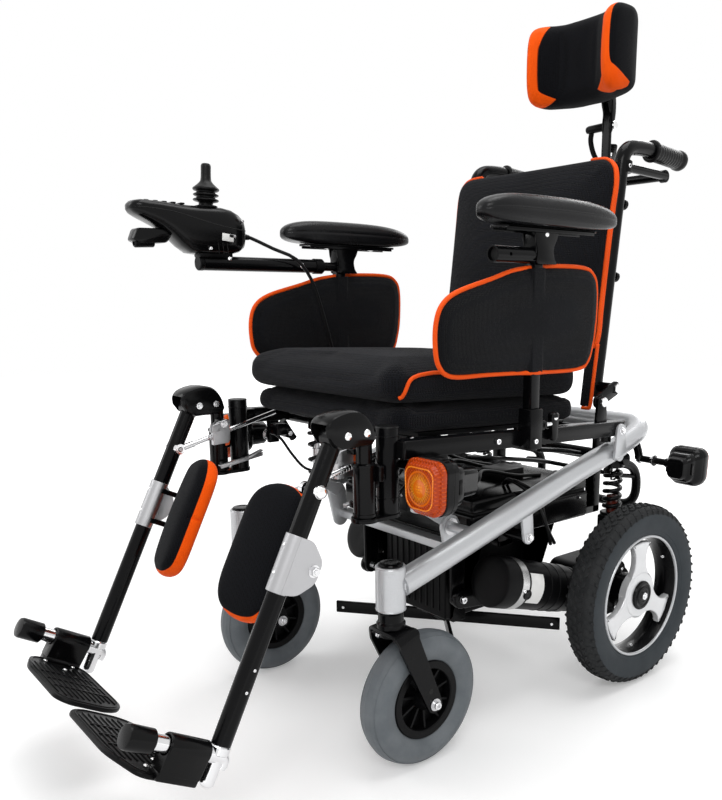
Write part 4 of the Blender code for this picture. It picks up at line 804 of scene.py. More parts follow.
def boltUnit(kind):                            # unit fasteners, 10 mm across, their seat at the origin
    if kind == "dome":
        turns = [math.pi / 2 * k / 5 for k in range(6)]
        curve = [(0.0055 * math.cos(a), 0.0008 + 0.0030 * math.sin(a)) for a in turns]
        return lathe([(0, -0.001), (0.0055, -0.001)] + curve[:-1] + [(0, 0.0038)], (0, 0, 0), (0, 0, 1), 20)
    if kind == "socket":
        profile = ((0, -0.001), (0.0048, -0.001), (0.0048, 0.0044), (0.0043, 0.0050), (0.0026, 0.0050),
                   (0.0024, 0.0024), (0, 0.0022))
        return lathe(profile, (0, 0, 0), (0, 0, 1), 18)
    part = lathe(((0, -0.001), (0.0066, -0.001), (0.0066, 0.0009), (0, 0.0009)), (0, 0, 0), (0, 0, 1), 20)
    other = hexagon((0, 0, 0.0008), (0, 0, 1), 0.0052, 0.0042)
    spare = bpy.data.meshes.new("spare")
    for piece in (other, rod((0, 0, 0), (0, 0, 0.0064), 0.0026, 12)):
        piece.to_mesh(spare)
        piece.free()
        part.from_mesh(spare)
    bpy.data.meshes.remove(spare)
    return part


def setFasteners():
    for body in sorted({body for body, _ in fasteners}):
        piece = Shape(f"fasteners_{body}", body)
        for (owner, kind), places in sorted(fasteners.items()):
            if owner == body:
                finish = "nickel" if kind == "dome" else "chrome"
                piece.take(onPoints(boltUnit(kind), places, finish), finish)
        piece.done(bevel=0)
    print("fasteners set:", sum(len(places) for places in fasteners.values()))


print("tools ready")

# Joystick lead: a short limp lead from the controller to the top of the battery box
leadSet = {
    "points": ((-.244, -.4648, .7700), (-.244, -.452, .7690), (-.232, -.415, .752), (-.216, -.380, .735),
               (-.211, -.352, .700), (-.210, -.330, .640), (-.206, -.315, .580), (-.205, -.300, .520),
               (-.205, -.275, .470), (-.197, -.240, .425), (-.160, -.200, .392), (-.135, -.175, .378),
               (-.133, -.170, .3608)),
    "diameter": 0.006, "low": (-.205, -.28, .48), "high": (-.21, -.34, .66),
}


def makeLead(s):
    route = [p + Vector((0, axleY, 0)) for p in smooth(s["points"], 3)]
    piece = Shape("joystickLead", "armrest_right")
    piece.take(hose(route, s["diameter"] / 2, 14), "cableSkin")
    lead = piece.done(bevel=0, shift=False, ride=False)
    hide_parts("joystick_cable")
    length = sum((b - a).length for a, b in zip(route, route[1:]))
    tuple(at(*s["low"]))
    tuple(at(*s["high"]))
    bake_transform(lead)
    print("lead:", round(length, 3), "m")


makeLead(leadSet)

# Chassis: silver side tubes joined by the rear hoop, with the caster heads and the cross bar
chassisSet = {
    "tube": 0.018, "bend": 0.052, "frameX": 0.2125,
    "headX": 0.2059, "headY": -0.5113, "headLow": 0.245, "headHigh": 0.309, "head": 0.021,
    "route": ((0, -.4993, .281), (0, -.371, .316), (0, -.108, .392), (0, -.010, .416), (0, .064, .446)),
    "barY": -0.332, "barZ": 0.283, "eyeX": 0.150, "eye": (-0.350, 0.323), "springX": 0.138, "springY": -0.398,
    "tabX": 0.2225, "tab": (-0.251, 0.302), "lugX": 0.2365, "lug": (-0.042, 0.450),
}


def weldBead(centre, headRadius, tubeRadius, heading, size):  # a wavy bead where the tube meets the head
    heading = Vector(heading).normalized()
    rise = Vector((1, 0, 0)).cross(heading)
    points, radii = [], []
    for step in range(64):
        angle = math.tau * step / 64
        side = math.cos(angle) * tubeRadius
        up = rise * (math.sin(angle) * tubeRadius)
        run = (math.sqrt(max(0.0, headRadius**2 - side**2)) - up.y) / heading.y
        points.append(Vector(centre) + heading * run + up + Vector((side, 0, 0)))
        radii.append(size * (1 + 0.22 * math.sin(angle * 21)))
    return hose(points, radii, 8, loop=True)


def casterHead(piece, s, side, half):          # a caster's head, welded to its tube
    low = Vector((side * s["headX"], s["headY"], s["headLow"]))
    high = low + Vector((0, 0, s["headHigh"] - s["headLow"]))
    r = s["head"]
    run = high.z - low.z
    shell = ((r - .004, .0012), (r - .0012, 0), (r, .0012), (r, run - .0012), (r - .0012, run),
             (r - .0035, run), (r - .0035, .004))
    plug = ((0, run - .006), (r - .0035, run - .006), (r - .0035, run + .0016), (r - .0055, run + .0034),
            (.010, run + .0040), (.009, run + .0032), (0, run + .0032))
    piece.take(lathe(shell, low, high, 56), "silverPaint")
    piece.take(lathe(plug, low, high, 48), "glossPlastic")
    for ring in (0.0025, run - 0.0025):
        piece.take(hose(circle(low + Vector((0, 0, ring)), r, 40), 0.0007, 6, loop=True), "silverPaint")
    heading = (half[1] - half[0]).normalized()
    joint = (side * s["headX"], s["headY"], half[0].z - .0033)
    piece.take(weldBead(joint, r, s["tube"], heading, 0.0021), "silverPaint")


def springEye(piece, s, side):                 # the eye plate, the spring's lower seat and its bracket
    y, z = s["eye"]
    plate = strap((y + .007, z - .047), 0.015, (y, z), 0.0185)
    piece.take(across(plate, s["eyeX"] - .003, s["eyeX"] + .003, side, 0.0010), "silverPaint")
    washer = ((.0075, 0), (.0075, .0022), (.0135, .0022), (.0135, 0))
    piece.take(lathe(washer, (side * (s["eyeX"] + .0028), y, z), (side, y, z), 32), "steel")
    piece.take(rod((side * s["frameX"], y, z), (side * s["eyeX"], y, z), .008), "silverPaint")
    fasten("base", "socket", (side * (s["eyeX"] + .003), y, z), (side, 0, 0), 1.15)
    spring = (side * s["springX"], s["springY"])
    seat = ((0, 0), (.0145, 0), (.0155, .0012), (.0155, .0084), (.0145, .0097), (0, .0097))
    piece.take(lathe(seat, (*spring, .352), (*spring, 1), 40), "steel")
    bracket = ((-.404, .352), (-.392, .359), (-.338, .336), (-.352, .318))
    piece.take(across(bracket, s["eyeX"] - .006, s["eyeX"] - .001, side, .0008), "silverPaint")


def signalArm(piece, s, side):                 # carries the rear signal, with a chrome nut at its end
    armX = side * (s["frameX"] - .0155)
    end = Vector((armX, .073, .3825))
    arm = smooth(((armX, .045, .438), (armX, .058, .418), (armX, .070, .395), end), 4)
    piece.take(hose(arm, .0074, 20), "blackPaint")
    piece.take(rod(end - Vector((side * .001, 0, 0)), end + Vector((side * .007, 0, 0)), .0085, 6),
               "chrome")


def frameTabs(piece, s, side):                 # the bolted tab under the tube, and the lug over it
    y, z = s["tab"]
    tab = strap((y - .006, z + .046), .0125, (y, z), .0105)
    piece.take(across(tab, s["tabX"] - .003, s["tabX"] + .003, side, .0009), "silverPaint")
    fasten("base", "nut", (side * (s["tabX"] + .003), y, z), (side, 0, 0), 1.05)
    y, z = s["lug"]
    turns = [math.radians(d) for d in range(10, 171, 16)]
    top = [(y + .0112 * math.cos(a), z + .0112 * math.sin(a)) for a in turns]
    lug = [(-.0575, .402), (-.0265, .407), (-.0310, .452)] + top + [(-.0535, .452)]
    piece.take(across(lug, s["lugX"] - .0025, s["lugX"] + .0025, side, .0008), "silverPaint")
    fasten("base", "nut", (side * (s["lugX"] + .0025), y, z), (side, 0, 0), 0.95)
    weldX = side * (s["lugX"] + .002)
    weld = [(weldX, -.056 + .0028 * k, .4035 + .0006 * k + .0005 * math.sin(k * 2.2)) for k in range(11)]
    piece.take(hose(weld, [0.0018 + 0.0004 * math.sin(k * 2.6) for k in range(11)], 8), "silverPaint")
    foot = Vector((side * s["frameX"], -.042, .408))
    piece.take(rod(foot + Vector((side * .010, 0, 0)), foot + Vector((side * .0255, 0, 0)), .010),
               "silverPaint")


def makeChassis(s):
    piece = Shape("chassisTubes", "base", ("chassis_frame",), "silver_paint")
    frameX, tube = s["frameX"], s["tube"]
    half = [Vector((frameX + x, y, z)) for x, y, z in s["route"]]
    route = bent(half + [Vector((-p.x, p.y, p.z)) for p in reversed(half)], s["bend"], 12)
    piece.take(hose(route, tube, 40), "silverPaint")
    for side, _ in sides:
        casterHead(piece, s, side, half)
        springEye(piece, s, side)
        signalArm(piece, s, side)
        frameTabs(piece, s, side)
    wide = s["eyeX"] + .006
    piece.take(box((2 * wide, .0240, .0140), (0, s["barY"], s["barZ"]), edge=.0025, steps=3), "silverPaint")
    piece.done(bevel=0, angle=35)


makeChassis(chassisSet)
print("chassis ready")

# Rear wheels: a block-tread tyre, a silver-edged dish, a three-spoke spider and a black hub cap
wheelSet = {
    "x": 0.2464, "radius": 0.159, "bead": 0.108, "half": 0.029, "rim": 0.1069, "face": 0.0234, "count": 58,
    # Rows across the tread: shift, phase and kind; each kind's length, width, height, lean, skew and sink
    "rows": ((0.0000, 0.0, "centre"), (0.0092, 0.5, "mid"), (-0.0092, 0.5, "mid"), (0.0188, 0.0, "edge"),
             (-0.0188, 0.0, "edge")),
    "blocks": {"centre": (.0098, .0072, .0029, 0, .0038, .0029),
               "mid": (.0092, .0066, .0031, 0.12, -.0040, .0032),
               "edge": (.0086, .0082, .0030, 0.62, .0016, .0068)},
}


def blockUnit(length, width, height, lean, skew, taper=0.8):  # a tread block on +X, its foot in the carcass
    part = bmesh.new()
    bmesh.ops.create_cube(part, size=1)
    for v in part.verts:
        up = v.co.x > 0
        grow = taper if up else 1.0
        x = height if up else -0.0025
        y = v.co.y * length * grow + v.co.z * skew
        z = v.co.z * width * grow
        v.co = (x, y, z)
    bmesh.ops.rotate(part, verts=part.verts, cent=(0, 0, 0), matrix=Matrix.Rotation(lean, 3, "Y"))
    bmesh.ops.recalc_face_normals(part, faces=part.faces)
    return part


def makeTyre(s, side, label):
    hub = Vector((side * s["x"], 0, s["radius"]))
    out = hub + Vector((side, 0, 0))
    piece = Shape(f"rearTyre_{label}", f"wheel_{label}", (f"rear_tyre_{label}",), "tyre_rubber")
    outer, half, bead = s["radius"], s["half"], s["bead"]
    hand = [(bead - .0012, .66 * half), (bead + .0005, .76 * half), (bead + .0045, .84 * half),
            (bead + .007, .86 * half), (bead + .0085, .895 * half), (bead + .017, .965 * half),
            (bead + .029, .985 * half), (bead + .0365, .955 * half), (bead + .0375, .925 * half),
            (bead + .0435, .80 * half), (outer - .0038, .62 * half), (outer - .0030, .34 * half),
            (outer - .0028, 0)]

    def skin(face):                            # the tread is blacker than the sidewall
        away = (face.calc_center_median() - hub).yz.length
        return "treadRubber" if away > bead + .0372 else "sidewallRubber"

    piece.take(lathe(mirrored(flatSmooth(hand, 3)), hub, out, 116), "sidewallRubber", pick=skin)
    turn = along(hub, out)
    step = math.tau / s["count"]
    for shift, phase, kind in s["rows"]:
        length, width, height, lean, skew, sink = s["blocks"][kind]
        flip = 1 if shift >= 0 else -1
        unit = blockUnit(length, width, height, -flip * lean, skew * flip)
        part = roundRing(unit, s["count"], outer - sink, "treadRubber", shift, phase * step)
        piece.take(part, "treadRubber", turn)
    for flip in (1, -1):                       # short ribs that run from the tread down the shoulder
        unit = blockUnit(.0050, .0085, .0011, -flip * 1.32, .0030 * flip, .7)
        part = roundRing(unit, s["count"], bead + .0395, "treadRubber", flip * .925 * half, .25 * step)
        piece.take(part, "treadRubber", turn)
    piece.done(bevel=0, angle=50)


# Half of one spoke of the spider: radius and degrees off the spoke's axis, from the hub out to the rim
spokeSet = ((.0400, 42), (.0455, 25.5), (.0560, 15.6), (.0700, 12.2), (.0830, 12.8), (.0925, 15.6),
            (.0950, 15.2))


def spiderOutline(half, hub=(.0385, -59)):     # three spokes, flared at the hub and at the rim
    spoke = [hub] + [(r, -d) for r, d in half] + [(half[-1][0], 0)] + list(reversed(half))
    outline = []
    for k in range(3):
        turned = [(r, math.radians(90 + 120 * k) + math.radians(d)) for r, d in spoke]
        outline += [(r * math.cos(a), r * math.sin(a)) for r, a in turned]
    return flatSmooth(outline, 2, loop=True)


def makeRearWheel(s, side, label):
    hub = Vector((side * s["x"], 0, s["radius"]))
    out = hub + Vector((side, 0, 0))
    piece = Shape(f"rearWheel_{label}", f"wheel_{label}", (f"rear_wheel_{label}",), "black_plastic")
    r, f = s["rim"], s["face"]
    silverRing = ((r, .0195), (r + .0006, .0215), (r - .0002, .0228), (r - .0016, f), (r - .0034, .0229),
                  (r - .0042, .0212), (r - .0040, .019))
    piece.take(lathe(silverRing, hub, out, 96), "silverPaint")
    dish = ((r - .0002, -.0215), (r - .0002, .0200), (r - .0038, .0204), (r - .0058, .0160),
            (r - .0078, .0060), (r - .0098, .0020), (r - .0100, -.0080), (r - .0085, -.0140),
            (r - .0050, -.0215))
    piece.take(lathe(dish, hub, out, 96), "blackPaint")
    move = Matrix.Translation(hub) @ Matrix.Scale(side, 4, (1, 0, 0))
    piece.take(slab(spiderOutline(spokeSet), "X", .0030, .0165, .0032, 4), "wheelSilver", move)
    boss = ((.0420, .002), (.0415, .0150), (.0385, .0178), (.0250, .0186), (.0245, .002))
    cap = ((0, -.0255), (.031, -.0255), (.031, .004), (.0255, .012), (.0255, .0205), (.0240, .0225),
           (.0205, .0232), (.0185, .0222), (.0165, .0222), (.0150, .0236), (.0110, .0240), (.0100, .0232),
           (0, .0232))
    piece.take(lathe(boss, hub, out, 72), "wheelSilver")
    piece.take(lathe(cap, hub, out, 64), "blackPaint")
    piece.take(hexagon(hub + Vector((side * .0228, 0, 0)), (side, 0, 0), .0072, .0046), "chrome")
    piece.take(rod(hub + Vector((side * .0228, 0, 0)), hub + Vector((side * .0285, 0, 0)), .0038, 18),
               "chrome")
    for spoke in range(3):                     # small screws through the rim beside the spokes
        a = math.radians(150 + 120 * spoke)
        place = hub + Vector((side * .0020, .0985 * math.cos(a), .0985 * math.sin(a)))
        fasten(f"wheel_{label}", "socket", place, (side * 1, -.6 * math.cos(a), -.6 * math.sin(a)), .55)
    spot = hub + Vector((side * .006, .0960 * math.cos(2.2), .0960 * math.sin(2.2)))
    valve = ((0, 0), (.0032, 0), (.0028, .010), (.0022, .0105), (.0022, .017), (0, .017))
    piece.take(lathe(valve, spot, spot + Vector((side * .7, -.5, -.6)), 14), "softRubber")
    piece.done(bevel=0, angle=32)


for side, label in sides:
    makeTyre(wheelSet, side, label)
    makeRearWheel(wheelSet, side, label)
print("rear wheels ready")

# Casters: a bent strap fork on its stem, a ribbed hub and a smooth grey tyre
casterSet = {
    "x": 0.2059, "headY": -0.5113, "axleY": -0.4603, "radius": 0.0997, "bead": 0.0579, "half": 0.025,
    "inner": 0.031, "blade": 0.005, "crownLow": 0.2077, "crownHigh": 0.2197, "topHalf": 0.0200,
    "kneeHalf": 0.0175, "endHalf": 0.0130, "corner": 0.012,
}


def forkStrap(s):                              # a flat bar bent over the wheel, its ends round the axle
    span = s["inner"] + s["blade"] / 2
    mid = s["crownHigh"] - s["blade"] / 2
    top = Vector((0, s["headY"], mid))
    knee = Vector((span, s["headY"] + .006, mid - s["corner"] - .004))
    foot = Vector((span, s["axleY"], s["radius"]))
    ahead = (foot - knee).normalized()
    flat, level, kneeHalf = Vector((0, 0, 1)), Vector((0, 1, 0)), s["kneeHalf"]
    rows = [(top, flat, level, s["topHalf"])]
    rows.append((Vector((span - s["corner"] - .002, s["headY"] + .001, mid)), flat, level, s["topHalf"]))
    wide = Vector((0, -ahead.z, ahead.y))
    for step in range(1, 8):                   # the bend
        a = math.pi / 2 * step / 8
        spot = Vector((span - s["corner"] + s["corner"] * math.sin(a), s["headY"] + .001 + .005 * step / 8,
                       mid - s["corner"] + s["corner"] * math.cos(a)))
        half = s["topHalf"] + (kneeHalf - s["topHalf"]) * step / 8
        turned = level.lerp(wide, step / 8).normalized()
        rows.append((spot, Vector((math.sin(a), 0, math.cos(a))), turned, half))
    for step in range(9):
        half = kneeHalf + (s["endHalf"] - kneeHalf) * step / 8
        rows.append((knee.lerp(foot, step / 8), Vector((1, 0, 0)), wide, half))
    for step in range(1, 9):                   # the round end
        run = s["endHalf"] * math.sin(math.pi / 2 * step / 8.3)
        half = math.sqrt(s["endHalf"] ** 2 - run ** 2)
        rows.append((foot + ahead * run, Vector((1, 0, 0)), wide, half))
    mirror = [(Vector((-p.x, p.y, p.z)), Vector((-n.x, n.y, n.z)), w, h) for p, n, w, h in reversed(rows[1:])]
    rings = []
    for spot, normal, wide, half in mirror + rows:
        t, w = normal * s["blade"] / 2, wide * half
        rings.append((spot + t - w, spot + t + w, spot - t + w, spot - t - w))
    return loft(rings)


def makeFork(s, side, label):
    x = side * s["x"]
    piece = Shape(f"casterFork_{label}", f"caster_fork_{label}", (f"caster_fork_{label}",), "black_paint")
    piece.take(forkStrap(s), "blackPaint", Matrix.Translation((x, 0, 0)))
    crown = ((0, s["crownLow"]), (.0165, s["crownLow"]), (.0170, s["crownHigh"]),
             (.0205, s["crownHigh"] + .001), (.0205, .2270), (.0180, .2300), (.0180, .2420), (.0205, .2440),
             (0, .2440))
    piece.take(lathe(crown, (x, s["headY"], 0), (x, s["headY"], 1), 40), "blackPaint")
    piece.take(rod((x, s["headY"], .240), (x, s["headY"], .300), .0078), "steel")
    span = s["inner"] + s["blade"]
    for way in (1, -1):
        beyond = Vector((way, 0, 0))
        hole = Vector((x + way * span, s["axleY"] - .0085, s["radius"] + .0225))
        # the hole is a near-black disc of painted shade
        dimple = ((0, -.0007), (.0034, -.0007), (.0040, .0002), (0, .0002))
        piece.take(lathe(dimple, hole, hole + beyond, 20), "shadeBlack")
        axle = Vector((x + way * span, s["axleY"], s["radius"]))
        piece.take(lathe(((0, 0), (.0092, 0), (.0092, .0014), (0, .0014)), axle, axle + beyond, 28), "steel")
        fasten(f"caster_fork_{label}", "socket", axle + Vector((way * .0012, 0, 0)), (way, 0, 0), 1.2)
        bolt = Vector((x + way * s["inner"], s["headY"] + .002, .1985))
        fasten(f"caster_fork_{label}", "nut", bolt, (-way, 0, 0), .95)
    piece.take(rod((x - span, s["axleY"], s["radius"]), (x + span, s["axleY"], s["radius"]), .0050, 20),
               "steel")
    piece.done(bevel=.0007)


def makeCasterTyre(s, side, label):
    hub = Vector((side * s["x"], s["axleY"], s["radius"]))
    out = hub + Vector((side, 0, 0))
    outer, half, bead = s["radius"], s["half"], s["bead"]
    tyre = Shape(f"casterTyre_{label}", f"caster_wheel_{label}", (f"caster_tyre_{label}",), "caster_rubber")
    hand = [(bead - .0005, .50 * half), (bead + .0010, .66 * half), (bead + .0040, .76 * half),
            (bead + .0052, .79 * half), (bead + .012, .93 * half), (bead + .021, .99 * half),
            (outer - .0120, .86 * half), (outer - .0055, .62 * half), (outer - .0020, .37 * half),
            (outer - .0017, .355 * half), (outer - .0008, .20 * half), (outer - .0002, .05 * half),
            (outer + .0002, 0)]
    tyre.take(lathe(mirrored(flatSmooth(hand, 3)), hub, out, 96), "casterRubber")
    for way in (1, -1):                        # fine moulded lines on the tread's shoulders
        ring = circle(hub + Vector((way * .62 * half, 0, 0)), outer - .0050, 96, (0, 1, 0), (0, 0, 1))
        tyre.take(hose(ring, .00055, 6, loop=True), "casterRubber")
    tyre.done(bevel=0, angle=60)


def makeCasterHub(s, side, label):
    hub = Vector((side * s["x"], s["axleY"], s["radius"]))
    out = hub + Vector((side, 0, 0))
    bead = s["bead"]
    rim = Shape(f"casterHub_{label}", f"caster_wheel_{label}", (f"caster_hub_{label}",), "black_plastic")
    lip = ((bead, .0120), (bead, .0172), (bead - .0010, .0182), (bead - .0105, .0182), (bead - .0120, .0168),
           (bead - .0130, .0060))
    rim.take(lathe(mirrored(lip), hub, out, 80), "blackPlastic")
    barrel = ((.0060, .0300), (.0105, .0300), (.0120, .0250), (.0165, .0150))
    rim.take(lathe(mirrored(barrel), hub, out, 40), "blackPlastic")
    web = ((.0150, .0020), (bead - .0125, .0020))
    rim.take(lathe(mirrored(web), hub, out, 64), "blackPlastic")
    rib = box((bead - .0265, .0036, .0270), ((bead - .0125 + .0140) / 2, 0, 0))
    for v in rib.verts:                        # each rib is deep at the rim and shallow at the hub
        if v.co.x < .030:
            v.co.z *= .72
    rim.take(roundRing(rib, 10, .0001, "blackPlastic"), "blackPlastic", along(hub, out))
    rim.done(bevel=.0006)


for side, label in sides:
    for make in (makeFork, makeCasterTyre, makeCasterHub):
        make(casterSet, side, label)
print("casters ready")

# Motors: capped cylinders lying along the trailing arms, with a metal band, a brush cap and a bare label
motorSet = {"x": 0.172, "front": (-0.283, 0.225), "drop": math.radians(17), "radius": 0.0425, "length": 0.185}


def motorPoint(s, distance, side):
    return Vector((side * s["x"], s["front"][0] + distance * math.cos(s["drop"]),
                   s["front"][1] - distance * math.sin(s["drop"])))


def makeMotor(s, side, label):
    body = f"drive_{label}"
    piece = Shape(f"motor_{label}", body, (f"drive_motor_{label}",), "black_paint")
    start, end = motorPoint(s, 0, side), motorPoint(s, 1, side)
    r = s["radius"]
    cover = ((0, .0006), (.0040, .0002), (.0300, 0), (r - .0040, .0005), (r - .0012, .0020), (r, .0050),
             (r, .0330), (r - .0012, .0335), (r - .0012, .0500), (0, .0500))
    band = ((r - .0030, .0338), (r + .0001, .0340), (r + .0001, .0500), (r - .0030, .0502))
    can = ((0, .0500), (r - .0020, .0502), (r - .0016, .0530), (r - .0016, s["length"] - .010),
           (r - .0040, s["length"]), (0, s["length"]))
    for profile, finish in ((cover, "blackPlastic"), (band, "motorBand"), (can, "satinBlack")):
        piece.take(lathe(profile, start, end, 72), finish)
    level = Vector((side, 0, 0))
    up = level.cross((end - start).normalized()) * side
    patch = bentPlate(motorPoint(s, .0560, side), motorPoint(s, .0880, side), (r - .0025, r - .0010),
                      math.radians(-34), math.radians(38), level, up, 16)
    piece.take(patch, "labelWhite")

    def around(degrees):                       # a direction round the motor, from straight outboard
        return level * math.cos(math.radians(degrees)) + up * math.sin(math.radians(degrees))

    spot = motorPoint(s, .0490, side) + around(-12) * (r - .0020)
    cap = ((0, 0), (.0085, 0), (.0085, .0035), (.0075, .0045), (.0045, .0048), (.0040, .0040), (0, .0040))
    piece.take(lathe(cap, spot, spot + around(-12), 28), "glossPlastic")
    fasten(body, "socket", motorPoint(s, .0385, side) + around(-5.2) * r, around(13), .55)
    for k in range(3):                         # shallow cooling rings at the rear
        ring = circle(motorPoint(s, .110 + .022 * k, side), r - .0016, 48, (side, 0, 0), up)
        piece.take(hose(ring, .0007, 6, loop=True), "satinBlack")
    piece.done(bevel=0, angle=34)


for side, label in sides:
    makeMotor(motorSet, side, label)

# Trailing arms: the gearbox, the arm, the spring's lower seat and its dark red damper
armSet = {"pivot": (-0.300, 0.185), "inner": 0.118, "boxOuter": 0.2124, "axleZ": 0.159, "springX": 0.165,
          "springY": 0.042, "seat": 0.284, "top": 0.366, "coil": 0.0140, "wire": 0.0078, "turns": 5.8}


def makeArm(s, side, label):
    body = f"drive_{label}"
    piece = Shape(f"driveArm_{label}", body, (f"drive_arm_{label}",), "black_paint")
    gearbox = flatBent(((-.076, .112), (.028, .112), (.028, .206), (-.076, .206)), .022)
    piece.take(across(gearbox, s["inner"], s["boxOuter"], side, .003), "satinBlack")
    cover = Vector((side * (s["boxOuter"] - .0005), 0, s["axleZ"]))
    for run, radius in ((.0, .040), (.004, .030)):
        step = ((0, 0), (radius, 0), (radius, run + .0020), (radius - .002, run + .0035), (0, run + .0035))
        piece.take(lathe(step, cover, cover + Vector((side, 0, 0)), 48), "satinBlack")
    for k in range(6):
        a = math.tau * k / 6 + .3
        spot = (side * (s["boxOuter"] + .0030), .035 * math.cos(a), s["axleZ"] + .035 * math.sin(a))
        fasten(body, "socket", spot, (side, 0, 0), .6)
    neck = ((0, 0), (.0370, 0), (.0390, .004), (.0390, .012), (.0350, .018), (.0330, .050), (0, .050))
    piece.take(lathe(neck, motorPoint(motorSet, .1846, side), motorPoint(motorSet, .2350, side), 56),
               "satinBlack")
    piece.take(rod((side * (s["boxOuter"] - .010), 0, s["axleZ"]), (side * .2206, 0, s["axleZ"]), .014),
               "steel")
    arm = strap(s["pivot"], .0155, (-.040, s["axleZ"]), .020)
    piece.take(across(arm, s["inner"], s["inner"] + .0105, side, .0015), "blackPaint")
    piece.take(box((.024, .024, .122), (side * s["springX"], s["springY"] - .015, .219), edge=.003),
               "satinBlack")
    spring = Vector((side * s["springX"], s["springY"], s["seat"]))
    up = spring + Vector((0, 0, 1))
    seat = ((0, -.012), (.019, -.012), (.021, -.009), (.021, -.002), (.0195, -.0004), (0, -.0004))
    piece.take(lathe(seat, spring, up, 40), "blackPaint")
    damper = ((.0056, .004), (.0056, .0300), (.0095, .0300), (.0100, .0270), (.0100, -.004), (0, -.004),
              (0, .004))
    piece.take(lathe(damper, spring, up, 32), "damperRed")
    piece.done(bevel=.0007)


def makeRearSpring(s, side, label):
    coil = Shape(f"rearSpring_{label}", "base", (f"rear_spring_{label}",), "spring_paint")
    place = (side * s["springX"], s["springY"])
    wire = coilHose(place, s["seat"] + .0003, s["top"] - .0003, s["coil"], s["wire"], s["turns"])
    coil.take(wire, "springPaint")
    spring = coil.done(bevel=0, ride=False)
    start, end = at(*place, s["top"] - .004), at(*place, s["seat"] + .004)
    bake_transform(spring)


def coilHose(centre, low, high, radius, wire, turns, closed=0.9):  # a wire with close end turns
    lift = wire * 1.12
    free = turns - 2 * closed
    rise = (high - low - wire - 2 * closed * lift) / free
    route = []
    count = round(turns * 20)
    for step in range(count + 1):
        done = turns * step / count
        begin = min(done, closed)
        finish = max(0.0, done - closed - free)
        height = low + wire / 2 + (begin + finish) * lift + (done - begin - finish) * rise
        angle = done * math.tau
        x, y = centre[0] + radius * math.cos(angle), centre[1] + radius * math.sin(angle)
        route.append(Vector((x, y, height)))
    return hose(route, wire / 2, 12)


# Front coil-overs: a fixed coil round a rod
frontSpringSet = {"x": chassisSet["springX"], "y": chassisSet["springY"], "low": 0.362, "high": 0.446,
                  "coil": 0.0135, "wire": 0.0065, "turns": 4.2}


def makeFrontSpring(s, side, label):
    piece = Shape(f"frontSpring_{label}", "base", (f"front_spring_{label}",), "spring_paint")
    x, y = side * s["x"], s["y"]
    wire = coilHose((x, y), s["low"] + .0003, s["high"] - .0003, s["coil"], s["wire"], s["turns"])
    piece.take(wire, "springPaint")
    piece.take(rod((x, y, s["low"] + .002), (x, y, s["low"] + .050), .0088), "steel")
    piece.done(bevel=0)


for side, label in sides:
    makeArm(armSet, side, label)
    makeRearSpring(armSet, side, label)
for side, label in sides:
    makeFrontSpring(frontSpringSet, side, label)
print("drive units ready")

# Lower frame: guard hoop, rear tube, battery rails and cradle, X-brace, arm lugs and thin cross bars
lowerSet = {"tube": 0.009, "hoopX": 0.122, "rearY": 0.042, "rearZ": 0.384, "railX": 0.120, "railLow": 0.275,
            "railHigh": 0.289, "cradle": 0.0798, "cradleLow": 0.1265, "half": 0.170, "front": -0.3185,
            "rear": -0.035, "top": 0.360, "brace": (0.125, 0.165), "braceY": -0.220}


def cradles(piece, s):                         # the two straps that the battery hangs in
    half, low, high = s["cradle"], s["cradleLow"], s["railHigh"]
    cradle = ((-half - .005, low), (half + .005, low), (half + .005, high), (.128, high),
              (.128, high - .005), (half + .009, high - .005), (half, high - .009), (half, low + .005),
              (-half, low + .005), (-half, high - .009), (-half - .009, high - .005),
              (-.128, high - .005), (-.128, high), (-half - .005, high))
    for y in (-.265, -.085):
        piece.take(slab(cradle, "Y", y - .014, y + .014), "blackPaint")


def crossBrace(piece, s):                      # the X-brace under the battery
    length = 2 * math.hypot(*s["brace"])
    middle = Vector((0, s["braceY"], s["cradleLow"] - .0265))
    for way in (1, -1):
        turn = Matrix.Rotation(way * math.atan2(*s["brace"]), 3, "Z")
        piece.take(box((length, .006, .022), middle, turn, .0012), "blackPaint")
        for end in (1, -1):
            spot = turn @ Vector((end * (length / 2 - .014), 0, 0)) + middle
            out = turn @ Vector((0, -1, 0))
            fasten("base", "socket", spot + out * .003, out, .55)


